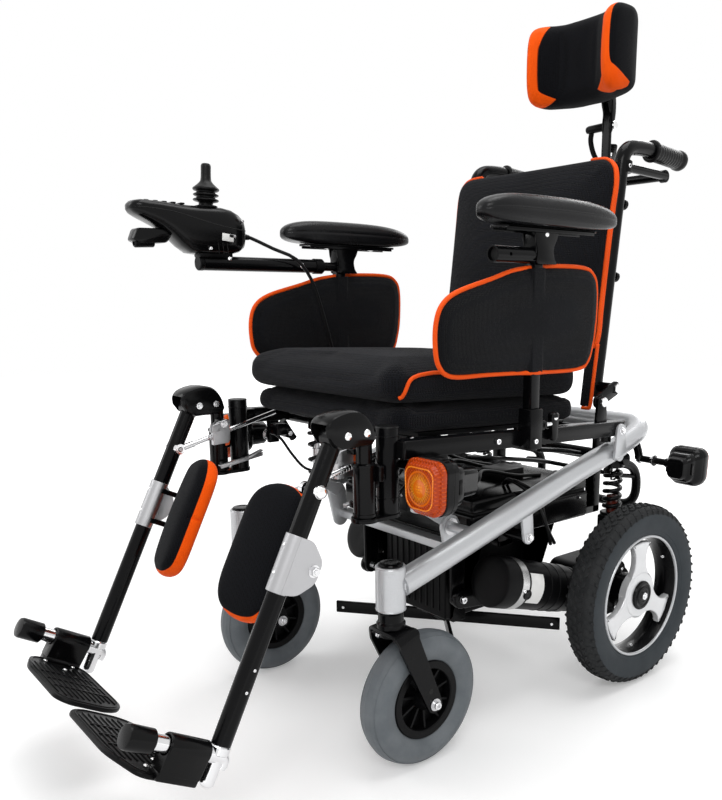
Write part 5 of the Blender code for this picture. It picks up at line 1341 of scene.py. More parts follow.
def lowerSide(piece, s, side, label):          # a rail, the rear spring's cup and the arm's lug
    mid = (s["railLow"] + s["railHigh"]) / 2
    pivotY, pivotZ = armSet["pivot"]
    x = side * s["railX"]
    piece.take(box((.020, .3715, .014), (x, -.1338, mid), edge=.0015), "blackPaint")
    piece.take(box((.020, .020, .109), (x, s["rearY"], .3295), edge=.0015), "blackPaint")
    piece.take(box((.010, .030, .036), (side * .125, .050, .4075), edge=.0015), "blackPaint")
    spring = Vector((side * armSet["springX"], s["rearY"], 0))
    cup = ((0, .3663), (.0178, .3663), (.019, .3675), (.019, .384), (.0150, .3945), (0, .3945))
    piece.take(lathe(cup, spring, spring + Vector((0, 0, 1)), 40), "blackPaint")
    piece.take(rod(spring + Vector((0, 0, .342)), spring + Vector((0, 0, .370)), .005), "chrome")
    lug = strap((pivotY, s["railHigh"] - .0165), .016, (pivotY, pivotZ), .014)
    piece.take(across(lug, .1115, .1177, side, .0010), "blackPaint")
    fasten("base", "nut", (side * .1115, pivotY, pivotZ), (-side, 0, 0), 1.1)
    piece.take(rod((side * .114, pivotY, pivotZ), (side * .1305, pivotY, pivotZ), .006), "steel")
    fasten(f"drive_{label}", "socket", (side * .1285, pivotY, pivotZ), (side, 0, 0), 1.2)
    piece.take(box((.057, .030, .010), (side * .1485, -.251, .2835), edge=.001), "blackPaint")
    piece.take(box((.006, .030, .036), (side * .1740, -.251, .2965), edge=.001), "blackPaint")
    piece.take(rod((side * .175, -.251, .302), (side * .2190, -.251, .302), .009), "blackPaint")


def thinBars(piece):                           # with the seat's release cable, in the shadow under the seat
    for route in (((0, .026, .388), (0, .110, .372), (0, .178, .352)),
                  ((.100, -.090, .405), (.100, -.02, .394), (.100, .048, .380)),
                  ((-.060, -.111, .371), (-.060, .05, .346), (-.060, .128, .331))):
        piece.take(hose(smooth(route, 3), .0045, 12), "blackPaint")
    piece.take(hose([(x, .128, .331) for x in (-.118, 0, .118)], .0045, 12), "blackPaint")
    for side, _ in sides:
        piece.take(hose(((side * .118, .128, .331), (side * .122, .176, .323)), .0045, 12), "blackPaint")


def makeLowerFrame(s):
    piece = Shape("lowerFrame", "base", ("lower_frame",), "black_paint")
    hoop = bent([(x * s["hoopX"], y, z) for x, y, z in (
        (-1, .034, .379), (-1, .181, .342), (-1, .178, .262), (1, .178, .262), (1, .181, .342),
        (1, .034, .379))], .045, 9)
    piece.take(hose(hoop, s["tube"], 28), "blackPaint")
    rear = Vector((.1925, s["rearY"], s["rearZ"]))
    piece.take(rod((-rear.x, rear.y, rear.z), rear, .011), "blackPaint")
    cradles(piece, s)
    piece.take(box((.030, .200, .006), (0, -.175, s["cradleLow"] - .0025), edge=.001), "blackPaint")
    piece.take(box((.034, .034, .032), (0, s["braceY"], s["cradleLow"] - .0145), edge=.002), "blackPaint")
    crossBrace(piece, s)
    for side, label in sides:
        lowerSide(piece, s, side, label)
    thinBars(piece)
    piece.done(bevel=.0006)


def batteryHandles(piece, s):                  # the case's side handles and screws
    for side, _ in sides:
        x = side * (s["half"] + .0002)
        out = x + side * .0035
        handle = bent(((x, -.235, .332), (out, -.235, .318), (out, -.165, .318), (x, -.165, .332)), .010, 5)
        piece.take(hose(handle, .0028, 10), "blackPlastic")
        for y in (-.290, -.060):
            fasten("base", "socket", (side * s["half"], y, .326), (side, 0, 0), .6)


def batteryWires(piece):                       # run from the case to the motors and the controller's socket
    for side, _ in sides:
        for lift, bow in ((0, 0), (.010, .012)):
            route = ((side * .120, -.200 + lift, .3625), (side * (.150 + bow), -.215, .376),
                     (side * .186, -.200 + bow, .352), (side * .190, -.170, .300),
                     (side * .184, -.150 + lift, .262))
            piece.take(hose(smooth(route, 7), .0030, 10), "cableSkin")
    for a, b, c in ((-.130, -.075, .020), (-.040, -.030, .034), (.045, .020, .026), (.120, .090, .018)):
        route = ((a, -.300, .362), (a + .01, -.270, .362 + c), (b, -.215, .364 + c),
                 (b + .012, -.150, .358 + c / 2), (b + .02, -.095, .362))
        piece.take(hose(smooth(route, 6), .0032, 10), "cableSkin")


def makeBattery(s):
    piece = Shape("batteryBox", "base", ("battery_box",), "black_plastic")
    low = s["railHigh"] + .0003
    depth = s["rear"] - s["front"]
    middle = (s["rear"] + s["front"]) / 2
    wide = 2 * s["half"]
    tall = s["top"] - low - .048
    piece.take(box((wide, depth, .046), (0, middle, low + .023), edge=.006, steps=3), "glossPlastic")
    lid = box((wide - .004, depth - .004, tall), (0, middle, (s["top"] + low + .048) / 2), edge=.006, steps=3)
    piece.take(lid, "glossPlastic")
    piece.take(box((wide - .010, depth - .010, .006), (0, middle, low + .047)), "blackPlastic")
    piece.take(box((.1590, .235, .165), (0, -.175, .2145), edge=.004, steps=3), "blackPlastic")
    for k in range(9):                         # ribs down the case's front and rear
        for y in (-.2925, -.0575):
            piece.take(box((.0035, .0035, .120), (-.064 + .016 * k, y, .205), edge=.0010), "blackPlastic")
    for x in (-.105, 0, .105):                 # latch bands over the lid
        piece.take(box((.022, depth + .0016, .0018), (x, middle, s["top"] - .0010), edge=.0006), "cableSkin")
        for y in (s["front"], s["rear"]):
            piece.take(box((.022, .0020, .040), (x, y, s["top"] - .026), edge=.0006), "cableSkin")
            way = -1 if y == s["front"] else 1
            fasten("base", "socket", (x, y + way * .0010, s["top"] - .020), (0, way, 0), .5)
    batteryHandles(piece, s)
    batteryWires(piece)
    piece.take(box((.040, .028, .016), (-.098, -.170, .3610), edge=.003), "blackPlastic")
    piece.take(box((.052, .060, .020), (.070, -.150, .3680), edge=.004), "satinBlack")
    piece.done(bevel=.0006)


makeLowerFrame(lowerSet)
makeBattery(lowerSet)

# Seat frame: sloping rails, front posts with the leg rests' feet, cross tubes, armrest sockets and clamps
seatSet = {"railX": 0.2225, "railWide": 0.022, "railHigh": 0.025, "top": 0.483, "front": -0.508,
           "rear": -0.028, "slope": math.radians(2.2), "postX": 0.2034, "postY": -0.513, "sleeveY": -0.552,
           "base": 0.384, "socketX": 0.240, "socketY": -0.272, "pivot": (-0.077, 0.499)}


def railTop(y):
    return seatSet["top"] - (y - seatSet["front"]) * math.tan(seatSet["slope"])


def tilted(width, thickness, front, rear, base, x=0.0, edge=0.001):  # a block laid along the rails' slope
    middle = (front + rear) / 2
    length = (rear - front) / math.cos(seatSet["slope"])
    turn = Matrix.Rotation(-seatSet["slope"], 3, "X")
    return box((width, length, thickness), (x, middle, railTop(middle) + base + thickness / 2), turn, edge, 3)


def seatPost(piece, s, side):                  # a front post with the leg rest's foot
    post, y = side * s["postX"], s["postY"]
    tube = ((0, .380), (.0155, .380), (.0155, .4985), (.0145, .5000), (0, .5005))
    plug = ((0, .4985), (.0150, .4985), (.0160, .4992), (.0150, .5012), (0, .5014))
    for profile, finish in ((tube, "blackPaint"), (plug, "softRubber")):
        piece.take(lathe(profile, (post, y, 0), (post, y, 1), 40), finish)
    for z in (.405, .4880):
        piece.take(hose(circle((post, y, z), .0156, 36), .0009, 6, loop=True), "blackPaint")
    foot = [(post + b, a) for a, b in strap((y, 0), .0170, (s["sleeveY"], 0), .0170)]
    piece.take(slab(foot, "Z", s["base"] - .006, s["base"] - .0003, .0008), "blackPaint")
    sleeve = Vector((post, s["sleeveY"], s["base"]))
    step = ((0, -.0062), (.0185, -.0062), (.0188, -.0030), (.0180, -.0003), (0, -.0003))
    piece.take(lathe(step, sleeve, sleeve + Vector((0, 0, 1)), 40), "blackPaint")
    piece.take(rod(sleeve - Vector((0, 0, .001)), sleeve + Vector((0, 0, .045)), .008), "steel")
    # Bridge from the post to the rail, with the horizontal clamp screw beside it
    piece.take(box((.020, .030, .024), (side * .2125, -.494, .4700), edge=.003), "blackPaint")
    screw = (-.4930, .4480)
    piece.take(rod((side * .2060, *screw), (side * .2300, *screw), .0068), "blackPaint")
    fasten("base", "dome", (side * .2300, *screw), (side, 0, 0), 1.05)
    tip = ((0, 0), (.0065, 0), (.0058, .0070), (.0020, .0105), (0, .0110))
    piece.take(lathe(tip, (side * .2335, *screw), (side, *screw), 24), "chrome")


def armSocket(piece, s, side):                 # a socket with its clamp barrel, chrome screw and black lever
    sx, sy = side * s["socketX"], s["socketY"]
    socket = box((.026, .026, .060), (sx, sy, .4770), edge=.0018)
    piece.take(cutAway(socket, box((.0190, .0190, .090), (sx, sy, .4950))), "blackPaint")
    piece.take(box((.008, .030, .028), (side * .2240, sy, .4640), edge=.001), "blackPaint")
    fasten("base", "socket", (side * .2530, sy - .004, .4600), (side, 0, 0), .8)
    piece.take(box((.012, .020, .016), (sx, sy + .019, .480), edge=.003), "blackPaint")
    piece.take(rod((sx, sy + .024, .480), (sx, sy + .030, .480), .0075), "blackPaint")
    piece.take(rod((sx, sy + .028, .480), (sx, sy + .048, .480), .0042), "chrome")
    lever = strap((sy + .052, .4885), .0085, (sy + .053, .4590), .0062)
    piece.take(across(lever, s["socketX"] - .0045, s["socketX"] + .0045, side, .0016), "glossPlastic")
    hinge = ((0, 0), (.0082, 0), (.0082, .0050), (.0060, .0072), (0, .0076))
    piece.take(lathe(hinge, (sx, sy + .052, .4890), (sx, sy + .052, 1), 28), "glossPlastic")
    fasten("base", "dome", (side * (s["socketX"] + .0045), sy + .052, .4890), (side, 0, 0), .8)


def seatMounts(piece, s, side):                # the backrest's lug, the rail's foot and the spring's cup
    back = strap((s["pivot"][0], .462), .014, s["pivot"], .011)
    piece.take(across(back, .2178, .2238, side, .0009), "blackPaint")
    piece.take(rod((side * .2125, -.050, .4290), (side * .2125, -.050, .448), .009), "blackPaint")
    piece.take(box((.012, .030, .020), (side * .2280, -.042, .4540), edge=.002), "blackPaint")
    spot = (side * (s["railX"] + .011), -.335, railTop(-.335) - .0125)
    fasten("base", "socket", spot, (side, 0, 0), .9)
    spring = Vector((side * chassisSet["springX"], chassisSet["springY"], 0))
    cup = ((0, .4463), (.0140, .4463), (.0150, .4475), (.0150, .4590), (.0120, .4603), (0, .4603))
    piece.take(lathe(cup, spring, spring + Vector((0, 0, 1)), 36), "blackPaint")
    piece.take(rod(spring + Vector((0, 0, .374)), spring + Vector((0, 0, .448)), .005), "steel")
    piece.take(box((.010, .020, .046), (side * s["railX"], -.435, .4390), edge=.001), "blackPaint")
    fasten("base", "socket", (side * (s["railX"] + .005), -.435, .4260), (side, 0, 0), .7)


def seatCables(piece):                         # the recline lock's, and a loop beside the near leg rest
    cable = ((-.150, -.472, .442), (-.150, -.460, .431), (-.150, -.441, .404), (-.150, -.415, .3765),
             (-.146, -.380, .3660))
    piece.take(hose(smooth(cable, 6), .0024, 10), "cableSkin")
    piece.take(hose(((-.170, -.447, .461), (-.170, -.436, .444), (-.170, -.425, .428)), .0065, 16),
               "blackPaint")
    piece.take(rod((-.178, -.440, .440), (-.160, -.440, .440), .0085), "blackPaint")
    fasten("base", "socket", (-.160, -.440, .440), (1, 0, 0), .9)
    piece.take(box((.030, .022, .020), (-.158, -.462, .4500), edge=.003), "blackPaint")
    loop = ((.150, -.470, .452), (.152, -.497, .436), (.154, -.522, .410), (.156, -.530, .392),
            (.150, -.515, .377), (.142, -.485, .374), (.130, -.440, .380), (.118, -.395, .400),
            (.110, -.340, .408))
    piece.take(hose(smooth(loop, 6), .0026, 10), "cableSkin")


def makeSeatFrame(s):
    piece = Shape("seatFrame", "base", ("seat_frame",), "black_paint")
    for side, _ in sides:
        x = side * s["railX"]
        piece.take(tilted(s["railWide"], s["railHigh"], s["front"], s["rear"], -s["railHigh"], x, .0028),
                   "blackPaint")
        wide, tall, under = s["railWide"] - .003, s["railHigh"] - .003, -s["railHigh"] + .0015
        for y in (s["front"], s["rear"]):      # plastic end plugs
            piece.take(tilted(wide, tall, y - .0015, y + .0015, under, x, .001), "blackPlastic")
        seatPost(piece, s, side)
        armSocket(piece, s, side)
        seatMounts(piece, s, side)
    for y, z, r in ((-.398, .462, .011), (-.120, .455, .010)):
        piece.take(rod((-s["railX"], y, z), (s["railX"], y, z), r), "blackPaint")
    piece.take(tilted(.344, .0072, -.432, -.112, -.0074, 0, .0010), "satinBlack")
    for k in range(4):                         # stiffening folds under the pan
        piece.take(tilted(.012, .006, -.410, -.130, -.0128, -.105 + .07 * k, .0015), "satinBlack")
    seatCables(piece)
    piece.done(bevel=.0006)


makeSeatFrame(seatSet)
print("seat and lower frame ready")

# Leg rests: a hooded hanger on its post, an elevating leg with a calf bracket, and the footplate on its bar
legSet = {
    "x": 0.2034, "knee": (-0.598, 0.495), "lean": math.radians(26.2), "length": 0.396, "tube": 0.0125,
    "footRise": math.radians(31), "strutX": 0.1835, "pin": (-0.630, 0.431), "rise": math.radians(14.3),
    "strut": 0.183, "calf": 0.168,
    "hood": ((-.6215, .500), (-.6215, .512), (-.612, .5225), (-.588, .5285), (-.566, .5250), (-.5515, .5090),
             (-.5455, .4900)),
}
legWay = Vector((0, -math.sin(legSet["lean"]), -math.cos(legSet["lean"])))
legFront = Vector((0, -math.cos(legSet["lean"]), math.sin(legSet["lean"])))
footWay = Vector((0, -math.cos(legSet["footRise"]), math.sin(legSet["footRise"])))
footDown = Vector((0, -math.sin(legSet["footRise"]), -math.cos(legSet["footRise"])))


def legPoint(distance, side, x=None, back=0.0):
    knee = Vector((side * (legSet["x"] if x is None else x), *legSet["knee"]))
    return knee + legWay * distance - legFront * back


def footPoint(distance, side, x=None, down=0.0):
    return legPoint(legSet["length"] + .014, side, x) + footWay * distance + footDown * down


def hangerClamp(piece, s, side, body):         # with its orange release tab and silver levers
    x = side * s["x"]
    piece.take(box((.016, .0340, .030), (x, -.5482, .436), edge=.003), "blackPaint")
    piece.take(box((.030, .0100, .022), (x + side * .004, -.5370, .4420), edge=.003), "blackPaint")
    plates = (
        (((-.5765, .4330), (-.5500, .4345), (-.5470, .4400), (-.5470, .4700), (-.5520, .4735),
          (-.5700, .4700), (-.5765, .4640)), .0145, .0045, .0010, "aluminium"),
        (((-.5800, .4540), (-.5640, .4560), (-.5640, .4690), (-.5780, .4660)), .0155, .0045, .0010,
         "aluminium"),
        (((-.5510, .4280), (-.5440, .4300), (-.5420, .4600), (-.5450, .4800), (-.5510, .4790)), .006, .003,
         .0008, "orangePlastic"),
    )
    for corners, far, near, edge, finish in plates:
        piece.take(across(corners, s["strutX"] - far, s["strutX"] - near, side, edge), finish)
    fasten(body, "nut", (side * (s["strutX"] - .0145), -.5570, .4660), (-side, 0, 0), .9)
    piece.take(box((.024, .014, .007), (side * (s["strutX"] - .0015), -.5545, .4695), edge=.001),
               "blackPaint")
    piece.take(box((.012, .012, .010), (side * (s["x"] - .019), -.5540, .3975), edge=.002), "blackPaint")
    turn = Matrix.Rotation(math.radians(9), 3, "X")
    centre = Vector((side * (s["x"] - .0265), -.5250, .4010))
    piece.take(box((.008, .082, .0020), centre + Vector((0, 0, .002)), turn, .0006), "aluminium")
    piece.take(box((.0018, .080, .006), centre + Vector((-side * .0035, 0, 0)), turn, .0005), "aluminium")
    steeper = Matrix.Rotation(math.radians(20), 3, "X")
    piece.take(box((.010, .030, .0025), centre + Vector((0, .026, .008)), steeper, .0008), "aluminium")


def makeHanger(s, side, label):
    body = f"hanger_{label}"
    piece = Shape(f"legrestHanger_{label}", body, (f"legrest_hanger_{label}",), "black_plastic")
    x, y = side * s["x"], seatSet["sleeveY"]
    outline = flatSmooth(s["hood"], 5) + [(-.552, .4815), (-.600, .4800), (-.613, .488)]
    slot = ((-.660, .440), (-.660, .5060), (-.618, .5140), (-.605, .5165), (-.588, .5175), (-.5790, .5090),
            (-.5770, .4700))
    hood = cutAway(across(outline, s["x"] - .022, s["x"] + .022, side, .0065),
                   across(slot, s["x"] - .0162, s["x"] + .0162, side))
    piece.take(hood, "glossPlastic")
    sleeve = ((0, .3843), (.0150, .3843), (.0150, .4550), (.0140, .4560), (.0108, .4560), (.0108, .4920),
              (0, .4920))
    piece.take(lathe(sleeve, (x, y, 0), (x, y, 1), 40), "blackPaint")
    for z in (.3875, .4530):
        ring = ((.0145, z - .0022), (.0162, z - .0018), (.0162, z + .0018), (.0145, z + .0022))
        piece.take(lathe(ring, (x, y, 0), (x, y, 1), 40), "blackPaint")
    piece.take(rod((side * (s["x"] - .0175), *s["knee"]), (side * (s["x"] + .0175), *s["knee"]), .006),
               "steel")
    for bolt in ((-.5925, .4977), (-.5630, .4987)):
        fasten(body, "dome", (side * (s["x"] + .0217), *bolt), (side, 0, 0), 1.0)
        fasten(body, "nut", (side * (s["x"] - .0217), *bolt), (-side, 0, 0), .8)
    hangerClamp(piece, s, side, body)
    piece.done(bevel=.0006)


def makeStrut(s, side, label):
    piece = Shape(f"legStrut_{label}", f"strut_{label}", (f"elevating_strut_{label}",), "steel")
    start = Vector((side * s["strutX"], *s["pin"]))
    reach = Vector((0, math.cos(s["rise"]), math.sin(s["rise"])))
    long = s["strut"]
    bar = ((0, .006), (.0036, .006), (.0040, .008), (.0040, long - .001), (.0033, long), (0, long))
    piece.take(lathe(bar, start, start + reach, 24), "chrome")
    eye = ((.0040, -.0040), (.0085, -.0040), (.0085, .0040), (.0040, .0040))
    piece.take(lathe(eye, start, start + Vector((1, 0, 0)), 28), "chrome")
    piece.take(rod(start + reach * .0070, start + reach * .026, .0052), "chrome")
    for k in range(14):                        # the notches that the lock's pawl falls into
        run = .040 + .0045 * k
        notch = ((.0036, run), (.0044, run + .0007), (.0044, run + .0020), (.0036, run + .0027))
        piece.take(lathe(notch, start, start + reach, 20), "chrome")
    piece.done(bevel=0)


def calfBracket(piece, s, side, body):         # a half shell on the tube's front and a shaped wing
    near, far = [legPoint(s["calf"] + distance, side) for distance in (-.037, .037)]
    shell = bentPlate(near, far, (.0128, .0152), math.radians(-115), math.radians(100), legFront,
                      Vector((side, 0, 0)), 20)
    piece.take(shell, "aluminium")
    corners = ((-.037, -.004), (-.037, .016), (-.016, .040), (.013, .040), (.034, .019), (.037, -.004))
    wing = slab([(p.y, p.z) for p in bent([(0, a, b) for a, b in corners], .008, 5)], "X", -.0011, .0011)
    move = Matrix((Vector((side, 0, 0)), legWay, -legFront)).transposed().to_4x4()
    move.translation = legPoint(s["calf"], side, s["x"] + .0142)
    piece.take(wing, "aluminium", move)
    fasten(body, "nut", legPoint(s["calf"] - .002, side, s["x"] + .0150, .031), (side, 0, 0), 1.25)
    for distance in (-.022, .014):
        fasten(body, "dome", legPoint(s["calf"] + distance, side) + legFront * .0150, legFront, .42)


def makeLeg(s, side, label):
    body = f"leg_{label}"
    piece = Shape(f"legTube_{label}", body, (f"leg_tube_{label}",), "black_paint")
    r = s["tube"]
    piece.take(pipe(legPoint(.012, side), legPoint(s["length"], side), r, .0026, 40), "blackPaint")
    piece.take(rod(legPoint(.0, side), legPoint(.240, side), r - .0026), "blackPaint")
    knee = ((.0072, -.0122), (.0150, -.0122), (.0160, -.0112), (.0160, .0112), (.0150, .0122), (.0072, .0122))
    piece.take(lathe(knee, (side * s["x"], *s["knee"]), (side, *s["knee"]), 40), "blackPaint")
    pin = s["pin"]
    piece.take(rod((side * (s["strutX"] - .0060), *pin), (side * (s["x"] + .012), *pin), .003), "steel")
    piece.take(rod((side * (s["x"] + .0110), *pin), (side * (s["x"] + .0150), *pin), .0088), "nickel")
    fasten(body, "dome", (side * (s["x"] + .0148), *pin), (side, 0, 0), 1.5)
    for distance in (.300, .328):              # the leg's size-setting screws
        spot = legPoint(distance, side, s["x"] + r - .0006)
        fasten(body, "socket", spot, (side, 0, 0), .42)
    calfBracket(piece, s, side, body)
    for distance in (-.025, .025):             # lugs that carry the calf pad's hinge
        back = legPoint(s["calf"] + distance, side, s["x"] - .010, .015)
        spread = Matrix.Rotation(-s["lean"], 3, "X")
        piece.take(box((.014, .032, .008), back, spread, .0012), "blackPaint")
        behind = legPoint(s["calf"] + distance, side, s["x"] - .015, .030)
        piece.take(box((.024, .012, .008), behind, spread, .0012), "blackPaint")
    low, high = [legPoint(s["calf"] + distance, side, s["x"] - .0240, .030) for distance in (-.0290, .0290)]
    piece.take(rod(low, high, .005), "steel")
    piece.done(bevel=.0005)


def makeExtension(s, side, label):
    piece = Shape(f"legExtension_{label}", f"extension_{label}", (f"leg_extension_{label}",), "steel")
    run = s["length"]
    inner = ((0, 0), (.0095, 0), (.0095, .146), (.0088, .150), (.0066, .152), (0, .152))
    piece.take(lathe(inner, legPoint(run - .100, side), legPoint(run + .052, side), 32), "chrome")
    collar = ((.0090, .0008), (.0122, .0008), (.0135, .0020), (.0135, .0105), (.0122, .0118), (.0090, .0118))
    piece.take(lathe(collar, legPoint(run, side), legPoint(run + .1, side), 36), "chrome")
    piece.take(rod(footPoint(-.006, side), footPoint(.122, side), .0105), "chrome")
    cap = ((0, .0920), (.0138, .0920), (.0150, .0932), (.0150, .1235), (.0138, .1262), (.0090, .1270),
           (0, .1270))
    piece.take(lathe(cap, footPoint(0, side), footPoint(1, side), 36), "glossPlastic")
    heel = [footPoint(-.006, side), footPoint(-.011, side, down=.006), footPoint(-.010, side, down=.014)]
    piece.take(hose(smooth(heel, 5), .0085, 20), "chrome")
    piece.done(bevel=0)


def makeFootplate(s, side, label):
    body = f"footplate_{label}"
    piece = Shape(f"footplate_{label}", body, (f"footplate_{label}",), "black_plastic")
    first, last = .0168, .0725
    move = Matrix((Vector((side, 0, 0)), footWay, -footDown)).transposed().to_4x4()
    move.translation = footPoint(0, side, 0)
    turns = [math.radians(200 - 220 * k / 16) for k in range(17)]
    casing = [(s["x"] + .0150 * math.cos(a), .0150 * math.sin(a)) for a in turns]
    casing += [(s["x"] + .0135, -.0300), (s["x"] - .0125, -.0300)]
    bore = rod((s["x"], first - .01, 0), (s["x"], last + .01, 0), .0120)
    piece.take(cutAway(slab(casing, "Y", first, last, .0016), bore), "glossPlastic", move)
    outline = flatBent(((.208, .014), (.185, .004), (.048, .004), (.024, .018), (.012, .040), (.012, .096),
                        (.028, .112), (.150, .112), (.208, .090)), .016)
    piece.take(slab(outline, "Z", -.0410, -.0345, .0022), "blackPlastic", move)
    rim = [(.110 + (a - .110) * .95, .058 + (b - .058) * .92, -.0344) for a, b in outline]
    piece.take(hose(rim, .0012, 8, loop=True), "blackPlastic", move)
    block = box((.026, last - first, .012), (s["x"] - .0005, (first + last) / 2, -.0330), edge=.0025)
    piece.take(block, "glossPlastic", move)
    for k in range(11):                        # grip ribs across the tread
        ahead = .018 + .0085 * k
        inner = .030 if 2 < k < 10 else .040
        rib = box((.172 - inner, .0024, .0022), ((.172 + inner) / 2, ahead, -.0340), edge=.0006)
        piece.take(rib, "blackPlastic", move)
    for out in (.070, .100, .130):
        piece.take(box((.0030, .082, .0024), (out, .058, -.0339), edge=.0006), "blackPlastic", move)
    for out, ahead in ((.186, .030), (.186, .074), (.160, .052)):
        spot = move @ Vector((out, ahead, -.0330))
        fasten(body, "dome", spot, -footDown, .55)
    piece.done(bevel=.0005)


for side, label in sides:
    for make in (makeHanger, makeStrut, makeLeg, makeExtension, makeFootplate):
        make(legSet, side, label)
print("leg rests ready")

# Turn signals: a fluted amber lens on a black case, on a stub from the frame
signalSet = {
    "outline": ((-.72, 1), (.72, 1), (1, .72), (.94, -.66), (.62, -1), (-.62, -1), (-.94, -.66), (-1, .72)),
    "front": (Vector((.272, -.5166, .4279)), -1, Vector((.2278, -.436, .4279)), .088),
    "rear": (Vector((.280, .119, .378)), 1, Vector((.2043, .073, .383)), .062),
    "lens": ((.0290, 0), (.0308, .0015), (.0322, .0078), (.0352, .0082), (.0365, .0094), (.0365, .0150),
             (.0356, .0161)),
    "shrink": {"front": 1.0, "rear": .90}, "earX": {"front": .0285, "rear": .0246},
    "capY": {"front": .0270, "rear": .0200},
    "hood": ((.0369, .0114), (.0377, .0126), (.0377, .0240), (.0372, .0250)),
    "rearCase": ((.0362, .0164), (.0372, .0180), (.0372, .0240), (.0362, .0285), (.0336, .0328),
                 (.0300, .0358), (.0280, .0372), (.0274, .0390), (.0272, .0450), (.0260, .0475),
                 (.0225, .0500), (.0206, .0520)),
    "frontCase": ((.0362, .0164), (.0375, .0178), (.0375, .0270), (.0369, .0274), (.0369, .0284),
                  (.0374, .0288), (.0368, .0360), (.0330, .0390), (.0296, .0410), (.0288, .0520),
                  (.0270, .0545), (.0222, .0560), (.0206, .0580)),
}


def signalLoft(s, place, side, way, rows):     # rows: half width and run back from the lens's front
    rings = []
    for half, run in rows:
        middle = Vector((place.x * side, place.y - way * run, place.z))
        corners = [middle + Vector((a, 0, b)) * half for a, b in s["outline"]]
        rings.append(bent(corners, .28 * half, 4, loop=True))
    return loft(rings) if len(rings) > 1 else rings[0]


def makeSignalLens(s, end, side, label):
    place, way = s[end][:2]
    lens = Shape(f"{end}SignalLens_{label}", "base", (f"{end}_signal_{label}_lens",), "amber")
    shrink = s["shrink"][end]
    lens.take(signalLoft(s, place, side, way, [(half * shrink, run) for half, run in s["lens"]]), "amberLens")
    # the reflector seen through the lens, in bright glowing amber: painted reflection and painted glow
    middle = place + Vector((0, way * .00005, 0))
    middle.x *= side
    bowl = ((0, 0), (.0232, 0), (.0232, .0011), (.0216, .0011), (.0200, .0004), (.0120, .0010),
            (.0040, .0022), (0, .0024))
    dish = lathe(bowl, middle - Vector((0, way * .0008, 0)), middle + Vector((0, way, 0)), 60)
    for vert in dish.verts:                    # flutes run out from the middle of the reflector
        out = vert.co - middle
        angle = math.atan2(out.z, out.x)
        reach = math.hypot(out.x, out.z)
        if .002 < reach < .021 and out.y * way > 0:
            vert.co.y += way * .0006 * (math.sin(angle * 30) * .5 - .5)
    lens.take(dish, "amberReflector")
    # a ring round the reflector's rim in the same amber: a painted highlight
    rim = [p + Vector((0, way * .0003, 0)) for p in signalLoft(s, place, side, way, [(.0268 * shrink, 0)])]
    lens.take(hose(rim, .0011, 8, loop=True), "amberReflector")
    lens.done(bevel=.0004, angle=50)


def makeSignalCase(s, end, side, label):
    place, way, stub, length = s[end]
    shrink = s["shrink"][end]
    case = Shape(f"{end}SignalCase_{label}", "base", (f"{end}_signal_{label}_housing",), "black_plastic")
    rows = s[f"{end}Case"] + ((.0200, length - .003), (.0180, length - .0002))
    case.take(signalLoft(s, place, side, way, [(half * shrink, run) for half, run in rows]), "glossPlastic")
    if end == "rear":                          # its hood reaches over the lens, and leaves a thin orange edge
        hood = signalLoft(s, place, side, way, [(half * shrink, run) for half, run in s["hood"]])
        mouth = signalLoft(s, place, side, way, [(.0366 * shrink, run) for run in (-.002, .020)])
        case.take(cutAway(hood, mouth), "glossPlastic")
    for face in (1, -1):
        spot = Vector((place.x * side + face * s["earX"][end], place.y - way * .0460, place.z))
        case.take(box((.0022, .0060, .0200), spot, edge=.0007), "glossPlastic")
    top = Vector((place.x * side, place.y - way * s["capY"][end], place.z + .0374 * shrink))
    case.take(box((.034, .0100, .0016), top, edge=.0005), "glossPlastic")
    axis = Vector((stub.x * side, stub.y, stub.z))
    start = Vector((place.x * side, stub.y, stub.z)) - Vector((side * .0120, 0, 0))
    run = axis - start
    case.take(rod(start, axis, .0060, 20), "satinBlack")
    boot = ((0, 0), (.0098, 0), (.0098, .0060), (.0080, .0070), (.0080, .0150), (0, .0150))
    case.take(lathe(boot, start, axis, 24), "glossPlastic")
    case.take(hexagon(start + run * .62, run, .0088, .0052), "chrome")
    case.take(lathe(((0, 0), (.0100, 0), (.0100, .0014), (0, .0014)), start + run * .60, axis, 24), "chrome")
    case.done(bevel=.0005, angle=40)


for side, label in sides:
    for end in ("front", "rear"):
        makeSignalLens(signalSet, end, side, label)
        makeSignalCase(signalSet, end, side, label)
print("signals ready")

# Back frame: the canes, their bar and clamp block, drawn along the canes' lean
backSet = {"base": Vector((0, -.033, .506)), "lean": math.radians(7.2), "height": .385, "caneX": .172,
           "caneRadius": .0125, "clamp": (-.033, .518)}
caneHeading = Vector((0, math.sin(backSet["lean"]), math.cos(backSet["lean"])))
caneFront = Vector((0, -math.cos(backSet["lean"]), math.sin(backSet["lean"])))


def canePoint(up, ahead=0.0, x=0.0):
    return backSet["base"] + caneHeading * up + caneFront * ahead + Vector((x, 0, 0))


caneTop = canePoint(backSet["height"])
gripStart = caneTop + Vector((0, .078, .028))
barCentre = caneTop + Vector((0, .130, -.010))
stemCentre = caneTop + Vector((0, .1855, 0))


